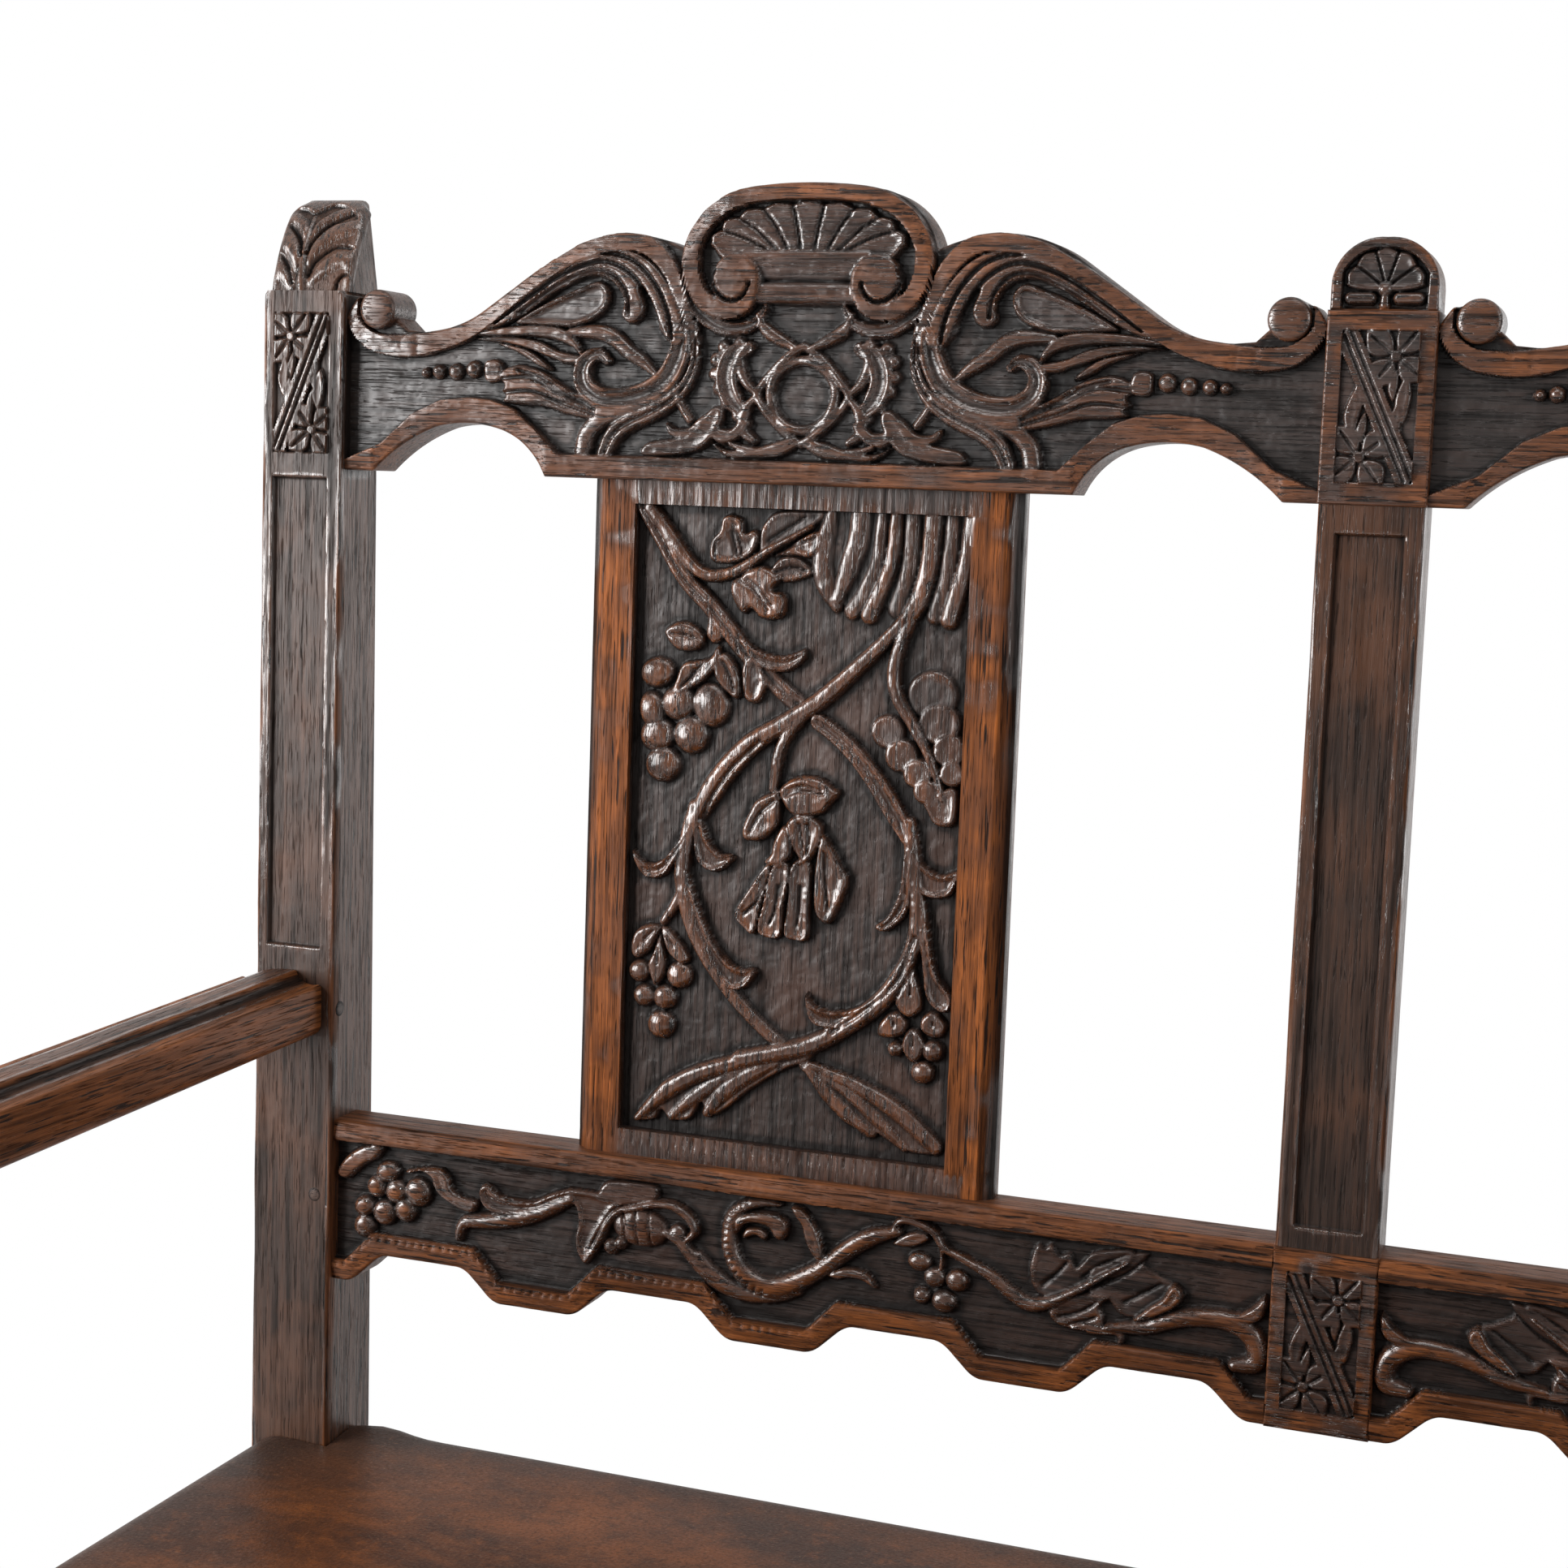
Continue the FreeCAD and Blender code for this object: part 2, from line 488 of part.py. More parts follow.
# Panels and muntin of the back
def upright(label, middle, half, front, thick, bevel, bevel_depth, field, stub_half):
    """Upright board with bevelled front arrises, a sunk field and stub tenons at top and bottom."""
    body = new_body(label)
    left, right, back = f"{middle} - {half}", f"{middle} + {half}", f"{front} + {thick}"
    section = sketch_on(body, "XY_Plane", "lower_top")
    outline(section, [(f"{left} + {bevel}", front), (f"{right} - {bevel}", front),
                      (right, f"{front} + {bevel_depth}"), (right, back), (left, back),
                      (left, f"{front} + {bevel_depth}")])
    raise_from(section, "crest_bottom - lower_top")
    stubs = sketch_on(body, "XZ_Plane", "stub_front")
    rectangle(stubs, f"{middle} - {stub_half}", "lower_top - stub", f"{middle} + {stub_half}", "crest_bottom + stub")
    raise_from(stubs, "stub_thick", True)
    field_half, field_low, field_high, depth = field
    recess = sketch_on(body, "XZ_Plane", front)
    rectangle(recess, f"{middle} - {field_half}", field_low, f"{middle} + {field_half}", field_high)
    sink_into(recess, depth)
    return keep(label, body)


# Arms
def arm(label, sign):
    """Moulded arm: a section with coved upper edges carried down a slope and rolled over at the front."""
    body = new_body(label)
    middle = side_of(sign, "arm_centre")
    mid_level = "arm_top - arm_thick / 2"
    half_section = [("arm_half - arm_cove", "arm_thick / 2"), ("arm_half - arm_cove", "arm_thick / 2 - arm_lip"),
                    ("arm_half - arm_cove * 0.62", "arm_thick / 2 - arm_cove_drop + 0.6", "arc"),
                    ("arm_half", "arm_thick / 2 - arm_cove_drop"), ("arm_half", "arm_round - arm_thick / 2"),
                    ("arm_half - arm_round * 0.3", "arm_round * 0.3 - arm_thick / 2", "arc"),
                    ("arm_half - arm_round", "-arm_thick / 2")]
    section = sketch_on(body, "XZ_Plane", "post_front")
    placed = [(x, f"{mid_level} + ({z})", *rest) for x, z, *rest in half_section]
    section.setExpression("AttachmentOffset.Base.x", bound(middle))
    outline(section, placed + mirrored(placed))
    drop = "tan(arm_slope * 1deg)"
    turn_level = f"({mid_level}) - (post_front - arm_turn) * {drop}"
    hub = ("arm_turn + arm_roll * sin(arm_slope * 1deg)", f"{turn_level} - arm_roll * cos(arm_slope * 1deg)")
    way = sketch_on(body, "YZ_Plane", middle)
    start = Vector(size("post_front"), size(mid_level), 0)
    turn = Vector(size("arm_turn"), size(turn_level), 0)
    run = way.addGeometry(Part.LineSegment(start, turn), False)
    pin_down(way, run, 1, ("post_front", mid_level))
    pin_down(way, run, 2, ("arm_turn", turn_level))
    mid_roll = roll_point(hub, "arm_slope + 90 + arm_roll_angle / 2")
    end_roll = roll_point(hub, "arm_slope + 90 + arm_roll_angle")
    stop = Vector(size(end_roll[0]), size(end_roll[1]), 0)
    roll = way.addGeometry(Part.Arc(turn, Vector(size(mid_roll[0]), size(mid_roll[1]), 0), stop), False)
    way.addConstraint(Sketcher.Constraint("Coincident", run, 2, roll, 1))
    pin_down(way, roll, 2, end_roll)
    doc.recompute()
    sweep = body.newObject("PartDesign::AdditivePipe", "Sweep")
    sweep.Profile = section
    sweep.Spine = (way, ["Edge1", "Edge2"])
    doc.recompute()
    eye = sketch_on(body, "YZ_Plane", f"{middle} - arm_half - arm_eye_proud")
    circle(eye, end_roll[0], end_roll[1], "arm_eye")
    raise_from(eye, "2 * (arm_half + arm_eye_proud)")
    tenon = sketch_on(body, "XZ_Plane", "post_front")
    left, right = sorted((side_of(sign, "arm_tenon_inner"), side_of(sign, "arm_tenon_outer")), key=size)
    rectangle(tenon, left, "arm_tenon_low", right, "arm_tenon_high")
    raise_from(tenon, "short_tenon", True)
    peg_hole = sketch_on(body, "YZ_Plane", side_of(sign, "shoulder_end"))
    circle(peg_hole, "post_front + arm_peg_depth", "arm_peg_level", "peg_radius + fit")
    sink_into(peg_hole, "peg_length + fit", sign > 0)
    for radius, depth in (("collar_radius", "0"), ("spigot_radius", "spigot + fit")):
        socket = sketch_on(body, "XY_Plane", "arm_shoulder - collar")
        circle(socket, side_of(sign, LEG), "leg_centre", f"{radius} + fit")
        sink_into(socket, f"collar + {depth}", True)
    return keep(label, body)


def roll_point(hub, angle):
    """Point of the arm's roll at an angle about its hub, in the arm's own upright plane."""
    return (f"({hub[0]}) + arm_roll * cos(({angle}) * 1deg)", f"({hub[1]}) + arm_roll * sin(({angle}) * 1deg)")


# Front legs
def turning():
    """Half profile of a front leg from foot to spigot: foot, rings, balusters and plain cores inside the blocks."""
    return [("0", "0"), ("17", "0"), ("24", "19", "arc"), ("16", "40"), ("13", "46"), ("20", "54"),
            ("leg_core", "foot_top + 4"), ("leg_core", "low_block_top + 2"), ("24", "low_block_top + 9", "arc"),
            ("19", "low_block_top + 16"), ("13", "low_block_top + 21"), ("21.5", "low_block_top + 66", "arc"),
            ("14", "high_block - 34"), ("13", "high_block - 26"), ("18", "high_block - 20"),
            ("23", "high_block - 13", "arc"), ("leg_core", "high_block - 5"), ("leg_core", "high_block_top + 3"),
            ("23.5", "high_block_top + 10", "arc"), ("19", "high_block_top + 17"), ("12.5", "high_block_top + 22"),
            ("20.5", "high_block_top + 62", "arc"), ("12", "arm_shoulder - 52"), ("12", "arm_shoulder - 46"),
            ("17.5", "arm_shoulder - 38", "arc"), ("12.5", "arm_shoulder - 30"), ("12.5", "arm_shoulder - 12"),
            ("collar_radius", "arm_shoulder - collar"), ("collar_radius", "arm_shoulder"),
            ("spigot_radius", "arm_shoulder"),
            ("spigot_radius", "arm_shoulder + spigot"), ("0", "arm_shoulder + spigot")]


def front_leg(label, sign):
    """Turned front leg with square blocks at the stretcher and at the seat rails, carrying the arm on a spigot."""
    body = new_body(label)
    middle = side_of(sign, LEG)
    profile = sketch_on(body, "XZ_Plane", "leg_centre", middle)
    outline(profile, turning())
    doc.recompute()
    turned = body.newObject("PartDesign::Revolution", "Turning")
    turned.Profile = profile
    turned.ReferenceAxis = (profile, ["V_Axis"])
    turned.Angle = 360
    doc.recompute()
    for low, high in (("foot_top", "low_block_top"), ("high_block", "high_block_top")):
        block = sketch_on(body, "XY_Plane", low)
        rectangle(block, f"{middle} - post_width / 2", LEG_FRONT, f"{middle} + post_width / 2", LEG_BACK)
        raise_from(block, f"{high} - {low}")
    behind = sketch_on(body, "XZ_Plane", LEG_BACK)
    for inner, outer, low, high in front_sockets()[1:]:
        left, right = sorted((side_of(sign, inner), side_of(sign, outer)), key=size)
        rectangle(behind, f"{left} - fit", f"{low} - fit", f"{right} + fit", f"{high} + fit")
    sink_into(behind, "short_tenon + fit", True)
    inside = sketch_on(body, "YZ_Plane", side_of(sign, "shoulder_end"))
    rail = f"{FRONT_RAIL} + seat_rail_thick / 2"
    rectangle(inside, f"{rail} - {SEAT_TENON_HALF} - fit", "seat_tenon_low - fit",
              f"{rail} + {SEAT_TENON_HALF} + fit", "seat_tenon_high + fit")
    sink_into(inside, "short_tenon + fit", sign > 0)
    return keep(label, body)


# Seat frame and stretchers
def long_rail(label, front, brace_slot_front):
    """Front or back seat rail: a board with end tenons, mortised for the cross brace."""
    back = f"{front} + seat_rail_thick"
    middle = f"{front} + seat_rail_thick / 2"
    board = box("-shoulder_end", front, "seat_rail_low", "shoulder_end", back, "seat_rail_top")
    tenons = box("-shoulder_end - short_tenon", f"{middle} - {SEAT_TENON_HALF}", "seat_tenon_low",
                 "shoulder_end + short_tenon", f"{middle} + {SEAT_TENON_HALF}", "seat_tenon_high")
    slot = box(f"-{SEAT_TENON_HALF} - fit", brace_slot_front, "brace_low + 8 - fit", f"{SEAT_TENON_HALF} + fit",
               f"{brace_slot_front} + brace_tenon + fit", "brace_top - 8 + fit")
    return keep(label, cut_from(joined([board, tenons]), [slot]))


def side_rail(label, sign, outer, thick, low, high, tenon_low, tenon_high, bevelled):
    """Side seat rail or side stretcher: a board from front leg to back post with end tenons."""
    left, right = sorted((side_of(sign, outer), side_of(sign, f"{outer} - {thick}")), key=size)
    middle = f"({left} + {right}) / 2"
    board = box(left, LEG_BACK, low, right, "post_front", high)
    tenons = box(f"{middle} - {SEAT_TENON_HALF}", f"{LEG_BACK} - short_tenon", tenon_low,
                 f"{middle} + {SEAT_TENON_HALF}", "post_front + short_tenon", tenon_high)
    if not bevelled:
        return keep(label, joined([board, tenons]))
    slot_left, slot_right = sorted((side_of(sign, f"{outer} - {thick}"),
                                    side_of(sign, f"{outer} - {thick} + brace_tenon + fit")), key=size)
    slot = box(slot_left, f"stretcher_place - {SEAT_TENON_HALF} - fit", f"{tenon_low} - fit", slot_right,
               f"stretcher_place + {SEAT_TENON_HALF} + fit", f"{tenon_high} + fit")
    return keep(label, cut_from(joined([bevel_top(board), tenons]), [slot]))


def bevel_top(board):
    """Bevels the two long upper arrises of a stretcher."""
    doc.recompute()
    top = board.Shape.BoundBox.ZMax
    longest = max(line.Length for line in board.Shape.Edges)
    bevel = size("stretcher_bevel")
    picked = [index for index, line in enumerate(board.Shape.Edges, start=1)
              if line.BoundBox.ZMin > top - 0.01 and line.Length > longest - 0.01]
    shaped = doc.addObject("Part::Chamfer", "Bevel")
    shaped.Base = board
    shaped.Edges = [(index, bevel, bevel) for index in picked]
    return shaped


def cross_stretcher():
    """Long middle stretcher between the two side stretchers."""
    reach = f"{LEG} - stretcher_thick / 2"
    half = "stretcher_thick / 2"
    board = box(flip(reach), f"stretcher_place - {half}", "stretcher_low", reach, f"stretcher_place + {half}",
                STRETCHER_TOP)
    tenons = box(f"-({reach}) - brace_tenon", f"stretcher_place - {SEAT_TENON_HALF}", "stretcher_low + stretcher_bevel",
                 f"{reach} + brace_tenon", f"stretcher_place + {SEAT_TENON_HALF}", f"{STRETCHER_TOP} - stretcher_bevel")
    return keep("stretcher_centre", joined([bevel_top(board), tenons]))


def cross_brace():
    """Brace under the middle of the seat, tenoned into the front and back seat rails."""
    front, back = f"{FRONT_RAIL} + seat_rail_thick", f"{BACK_RAIL} - seat_rail_thick"
    board = box("-brace_half", front, "brace_low", "brace_half", back, "brace_top")
    tenons = box(f"-{SEAT_TENON_HALF}", f"{front} - brace_tenon", "brace_low + 8", SEAT_TENON_HALF,
                 f"{back} + brace_tenon", "brace_top - 8")
    return keep("seat_cross_brace", joined([board, tenons]))


def corner_brace(label, sign, end):
    """Slanting block glued across a corner of the seat frame."""
    body = new_body(label)
    side_face = f"{SIDE_RAIL} - seat_rail_thick"
    end_face = f"{BACK_RAIL} - seat_rail_thick" if end > 0 else f"{FRONT_RAIL} + seat_rail_thick"
    post_face = "post_front" if end > 0 else LEG_BACK
    inward = "-" if end > 0 else "+"
    plan = [(side_of(sign, side_face), f"{post_face} {inward} corner_far"),
            (side_of(sign, side_face), f"{post_face} {inward} corner_near"),
            (side_of(sign, "shoulder_end - corner_near"), end_face),
            (side_of(sign, "shoulder_end - corner_far"), end_face)]
    face = sketch_on(body, "XY_Plane", "corner_low")
    outline(face, plan if sign * end > 0 else plan[::-1])
    raise_from(face, "corner_thick")
    return keep(label, body)


# Upholstery
def seat_form(label, inset, low, high, rounding):
    """Seat block notched round the four posts, smaller all round by the inset, with rounded upper edges."""
    body = new_body(label)
    wide, inner = f"seat_half - ({inset})", f"shoulder_end - notch_gap - ({inset})"
    front, back = f"seat_front + {inset}", f"seat_back - ({inset})"
    front_notch, back_notch = f"{LEG_BACK} + notch_gap + {inset}", f"post_front - notch_gap - ({inset})"
    right = [(inner, front), (inner, front_notch), (wide, front_notch), (wide, back_notch), (inner, back_notch),
             (inner, back)]
    plan = sketch_on(body, "XY_Plane", low)
    outline(plan, right + mirrored(right))
    raise_from(plan, f"{high} - ({low})")
    if rounding == "0":
        return body
    rim = [f"Edge{index}" for index, line in enumerate(body.Shape.Edges, start=1)
           if is_rim(line, size(high), size(wide), size(front), size(back))]
    squared = body.Tip
    soft = body.newObject("PartDesign::Fillet", "SoftEdge")
    soft.Base = (squared, rim)
    soft.setExpression("Radius", bound(rounding))
    doc.recompute()
    return body


def is_rim(line, level, wide, front, back):
    """True for the upper outer edges of the seat, not those round the posts."""
    box_of = line.BoundBox
    if box_of.ZMin < level - 0.01:
        return False
    on_side = box_of.XLength < 0.01 and abs(abs(box_of.XMin) - wide) < 0.01
    on_end = box_of.YLength < 0.01 and min(abs(box_of.YMin - front), abs(box_of.YMin - back)) < 0.01
    return on_side or on_end


def leather_cover():
    """Leather cover: a shell over the seat and down over the rails, cut away inside the seat frame."""
    outside = seat_form("cover_outside", "0", "hem", "seat_top", "seat_edge_round")
    inside = seat_form("cover_inside", "leather", "hem - 1", "seat_top - leather", "seat_edge_round - leather")
    frame = box(f"-({SIDE_RAIL}) - fit", f"{FRONT_RAIL} - fit", "hem - 1", f"{SIDE_RAIL} + fit", f"{BACK_RAIL} + fit",
                "seat_rail_top + fit")
    return keep("leather_cover", cut_from(outside, [inside, frame]))


def webbing():
    """Two layers of webbing straps over the seat frame."""
    across = []
    for place in (-7, -5, -3, -1, 1, 3, 5, 7):
        middle = f"{place} * shoulder_end / 8"
        across.append(box(f"{middle} - webbing_width / 2", f"{FRONT_RAIL} + 2", "seat_rail_top + fit",
                          f"{middle} + webbing_width / 2", f"{BACK_RAIL} - 2", "seat_rail_top + fit + webbing"))
    group("webbing_across", across)
    low = "seat_rail_top + fit + webbing + ply_gap"
    along = []
    for place in (-1, 0, 1):
        middle = f"stretcher_place + {place} * webbing_width * 2"
        along.append(box(f"-({SIDE_RAIL}) + 2", f"{middle} - webbing_width / 2", low, f"{SIDE_RAIL} - 2",
                         f"{middle} + webbing_width / 2", f"{low} + webbing"))
    group("webbing_along", along)
    return f"{low} + webbing + ply_gap"


def cover_nails():
    """Row of nail heads along the lower edge of the leather, low eight-sided domes."""
    heads = []
    for level_face, axis in (("seat_front", (0, -1, 0)), ("seat_back", (0, 1, 0))):
        count = int(2 * size("shoulder_end - post_width / 2") / size("nail_pitch"))
        for place in range(count + 1):
            heads.append(nail_head(f"({place} - {count} / 2) * nail_pitch", level_face, axis))
    for sign in (-1, 1):
        count = int((size("post_front") - size(LEG_BACK) - size("nail_pitch")) / size("nail_pitch"))
        for place in range(count + 1):
            along = f"stretcher_place + ({place} - {count} / 2) * nail_pitch"
            heads.append(nail_head(side_of(sign, "seat_half"), along, (sign, 0, 0)))
    return group("cover_nails", heads)


def nail_head(x, y, axis):
    """One nail head standing on the leather, pointing along the axis."""
    head = doc.addObject("Part::Prism", "Nail")
    head.Polygon = 8
    head.setExpression("Circumradius", bound("nail_radius"))
    head.setExpression("Height", bound("nail_height"))
    head.Placement.Rotation = FreeCAD.Rotation(Vector(0, 0, 1), Vector(*axis))
    for name, text in zip("xyz", (x, y, "nail_level")):
        head.setExpression(f"Placement.Base.{name}", bound(text))
    return head


# Pegs of the joints
def joint_pegs():
    """Oak pegs of the back's joints and of the arms."""
    crest, lower, arms = [], [], []
    for sign in (-1, 1):
        for level in crest_peg_levels():
            crest.append(peg(side_of(sign, "crest_peg_offset"), "post_top_back + 0.5", level, (0, -1, 0),
                             "peg_length - 0.5"))
        lower.append(peg(side_of(sign, "lower_peg_offset"), "post_front - 0.2", "lower_peg_level", (0, 1, 0),
                         "peg_length"))
        arms.append(peg(side_of(sign, "shoulder_end - 0.3"), "post_front + arm_peg_depth", "arm_peg_level",
                        (sign, 0, 0), "peg_length"))
    group("crest_pegs", crest)
    group("lower_rail_pegs", lower)
    group("arm_pegs", arms)


# Assembly
for word, side in (("left", -1), ("right", 1)):
    back_post(f"back_post_{word}", side)
    arm(f"arm_{word}", side)
    front_leg(f"front_leg_{word}", side)
    upright(f"splat_{word}", side_of(side, "splat_centre"), "splat_half", "splat_front", "splat_thick", "splat_bevel",
            "splat_bevel_depth", ("splat_field_half", "splat_field_low", "splat_field_high", "relief"),
            "splat_tenon_half")
    side_rail(f"seat_rail_{word}", side, SIDE_RAIL, "seat_rail_thick", "seat_rail_low", "seat_rail_top",
              "seat_tenon_low", "seat_tenon_high", False)
    side_rail(f"stretcher_{word}", side, f"{LEG} + stretcher_thick / 2", "stretcher_thick", "stretcher_low",
              STRETCHER_TOP, "stretcher_low + stretcher_bevel", f"{STRETCHER_TOP} - stretcher_bevel", True)
    corner_brace(f"corner_brace_front_{word}", side, -1)
    corner_brace(f"corner_brace_back_{word}", side, 1)
crest_rail()
lower_back_rail()
upright("centre_muntin", "0", "muntin_half", "rail_front + 0.5", "rail_thick - 0.5", "muntin_bevel", "muntin_bevel",
        ("muntin_field_half", "muntin_field_low", "muntin_field_high", "field_depth"), "muntin_tenon_half")
long_rail("seat_rail_front", FRONT_RAIL, f"{FRONT_RAIL} + seat_rail_thick - brace_tenon - fit")
long_rail("seat_rail_back", f"{BACK_RAIL} - seat_rail_thick", f"{BACK_RAIL} - seat_rail_thick")
cross_brace()
cross_stretcher()
hessian_low = webbing()
hessian_high = f"{hessian_low} + hessian"
keep("hessian_base", seat_form("hessian_base", "leather + fit", hessian_low, hessian_high, "0"))
keep("seat_stuffing", seat_form("seat_stuffing", "leather + 2 * fit", f"{hessian_high} + ply_gap",
                                "seat_top - leather - 2 * fit", "seat_edge_round - leather - 2 * fit"))
leather_cover()
cover_nails()
joint_pegs()

doc.recompute()
failed = [item.Label for item in doc.Objects if {"Invalid", "Error"} & set(item.State)]
failed += [label for label, piece in finished.items() if piece.Shape.isNull() or not piece.Shape.isValid()]
if failed:
    raise RuntimeError(f"these did not build: {failed}")
os.makedirs("parts", exist_ok=True)
for label, piece in sorted(finished.items()):
    piece.Shape.exportStep(f"parts/{label}.step")
    print(f"{label}: {len(piece.Shape.Solids)} solids, {piece.Shape.Volume / 1000:.1f} cm3")
whole = Part.makeCompound([piece.Shape for piece in finished.values()]).BoundBox
print("box", [round(value, 2) for value in (whole.XMin, whole.YMin, whole.ZMin, whole.XMax, whole.YMax, whole.ZMax)])
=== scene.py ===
# %% [markdown]
# # A carved oak hall bench
# The bench is a joined frame of dark oak: two posts, a scrolled crest rail, a carved lower rail, carved panels
# and a muntin make the back, moulded arms run forward to turned legs, and a leather seat lies on the rails.
# The fixed frame already has every piece at its right size, so this lesson dresses it: carving, worn edges,
# grain and hide.

# %% Load the fixed frame
import math

import bpy
import numpy as np
from mathutils import Matrix, Vector


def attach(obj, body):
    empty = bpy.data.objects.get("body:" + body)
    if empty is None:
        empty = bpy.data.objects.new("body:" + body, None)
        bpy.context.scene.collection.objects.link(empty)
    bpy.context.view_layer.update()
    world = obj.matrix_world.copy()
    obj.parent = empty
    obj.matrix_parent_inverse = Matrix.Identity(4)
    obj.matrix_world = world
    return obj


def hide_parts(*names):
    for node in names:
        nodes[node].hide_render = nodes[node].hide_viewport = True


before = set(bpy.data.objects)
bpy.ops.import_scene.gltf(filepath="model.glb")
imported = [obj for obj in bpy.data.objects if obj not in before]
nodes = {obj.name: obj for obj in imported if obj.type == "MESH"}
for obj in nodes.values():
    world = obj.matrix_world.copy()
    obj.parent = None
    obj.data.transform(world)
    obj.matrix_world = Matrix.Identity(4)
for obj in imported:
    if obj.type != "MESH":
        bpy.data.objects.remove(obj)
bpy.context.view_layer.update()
MM = 0.001
print("frame pieces:", len(nodes))

# %% [markdown]
# ## Camera, floor and light
# The photograph looks at the upper left of the bench from a standing height, a little from the right. Its
# angles were solved from the straight lines of the back, so the camera is set by yaw, pitch and roll, with a
# plain lens. Area lamps stand for a studio's soft boxes, because they give soft edges to the shadows in the
# carving. The room behind the camera is darker in reflections, so that polished faces turned to it stay deep.

# %% Camera
YAW, PITCH, ROLL = math.radians(20.13), math.radians(6.56), math.radians(2.04)
EYE = Vector((0.1548, -0.956, 0.9631))
forward = Vector((-math.sin(YAW) * math.cos(PITCH), math.cos(YAW) * math.cos(PITCH), -math.sin(PITCH)))
level_right = Vector((math.cos(YAW), math.sin(YAW), 0))
level_up = level_right.cross(forward)
right = math.cos(ROLL) * level_right + math.sin(ROLL) * level_up
upward = math.cos(ROLL) * level_up - math.sin(ROLL) * level_right
camera_data = bpy.data.cameras.new("camera")
camera_data.sensor_width = 36
camera_data.lens = 59.14
camera = bpy.data.objects.new("camera", camera_data)
camera.matrix_world = Matrix.Translation(EYE) @ Matrix((right, upward, -forward)).transposed().to_4x4()
bpy.context.collection.objects.link(camera)
scene = bpy.context.scene
scene.camera = camera
scene.view_settings.view_transform = "Standard"
print("camera at", tuple(round(value, 3) for value in EYE))

# %% Node helper
def node_tree(owner):
    """Empties an owner's node tree and gives back a function that adds a node with its settings and input
    values."""
    owner.use_nodes = True
    tree = owner.node_tree
    tree.nodes.clear()

    def add(kind, inputs=None, **settings):
        """Adds one node. An input is a value, or another node's output socket to link from."""
        node = tree.nodes.new(kind)
        for key, value in settings.items():
            setattr(node, key, value)
        for key, value in (inputs or {}).items():
            if isinstance(value, bpy.types.NodeSocket):
                tree.links.new(value, node.inputs[key])
            else:
                node.inputs[key].default_value = value
        return node

    return add


def shown_directly(add, mirrored=1.0):
    """1 for rays that show the background: seen by the camera or through glass, and a given share in a
    reflection."""
    path = add("ShaderNodeLightPath")
    glossy = add("ShaderNodeMath", {0: path.outputs["Is Glossy Ray"], 1: mirrored}, operation="MULTIPLY")
    seen = add("ShaderNodeMath", {0: path.outputs["Is Camera Ray"], 1: glossy.outputs[0]}, operation="MAXIMUM")
    seen = add("ShaderNodeMath", {0: seen.outputs[0], 1: path.outputs["Is Transmission Ray"]},
               operation="MAXIMUM")
    return seen.outputs[0]


# %% White world
world = bpy.data.worlds.new("studio")
scene.world = world
add = node_tree(world)
soft_light = add("ShaderNodeBackground", {"Color": (1, 1, 1, 1), "Strength": 0.12})
white = add("ShaderNodeBackground", {"Color": (1, 1, 1, 1), "Strength": 1.0})
heading = add("ShaderNodeSeparateXYZ", {0: add("ShaderNodeTexCoord").outputs["Generated"]}).outputs["Y"]
walls = add("ShaderNodeMapRange", {"Value": heading, "From Min": -0.8, "From Max": -0.2,
                                   "To Min": 0.25}).outputs[0]
seen_world = add("ShaderNodeMixShader", {0: shown_directly(add, walls), 1: soft_light.outputs[0],
                                         2: white.outputs[0]})
add("ShaderNodeOutputWorld", {"Surface": seen_world.outputs[0]})

# %% Pale floor that fades to white away from the bench
FLOOR_HALF = 2.4
floor_mesh = bpy.data.meshes.new("floor")
floor_mesh.from_pydata([(-FLOOR_HALF, -FLOOR_HALF, 0), (FLOOR_HALF, -FLOOR_HALF, 0),
                        (FLOOR_HALF, FLOOR_HALF, 0), (-FLOOR_HALF, FLOOR_HALF, 0)], [], [(0, 1, 2, 3)])
floor = bpy.data.objects.new("floor", floor_mesh)
bpy.context.collection.objects.link(floor)
pale = bpy.data.materials.new("pale_floor")
add = node_tree(pale)
place = add("ShaderNodeTexCoord").outputs["Object"]
reach = add("ShaderNodeVectorMath", {0: place}, operation="LENGTH")
fade = add("ShaderNodeMapRange", {"Value": reach.outputs["Value"], "From Min": 0.75, "From Max": 1.15})
fade_seen = add("ShaderNodeMath", {0: fade.outputs[0], 1: shown_directly(add)}, operation="MULTIPLY")
paint = add("ShaderNodeBsdfDiffuse", {"Color": (0.86, 0.86, 0.85, 1)})
glow = add("ShaderNodeEmission", {"Color": (1, 1, 1, 1), "Strength": 1.0})
blend = add("ShaderNodeMixShader", {0: fade_seen.outputs[0], 1: paint.outputs[0], 2: glow.outputs[0]})
add("ShaderNodeOutputMaterial", {"Surface": blend.outputs[0]})
floor_mesh.materials.append(pale)


# %% Soft boxes
def soft_box(name, place, target, wide, high, brightness):
    """An area lamp at a place, turned to face a target. Its power is pi times its area times its
    brightness."""
    lamp = bpy.data.lights.new(name, "AREA")
    lamp.shape = "RECTANGLE"
    lamp.size = wide
    lamp.size_y = high
    lamp.energy = math.pi * wide * high * brightness
    box = bpy.data.objects.new(name, lamp)
    box.location = place
    box.rotation_euler = (Vector(target) - Vector(place)).to_track_quat("-Z", "Y").to_euler()
    bpy.context.collection.objects.link(box)


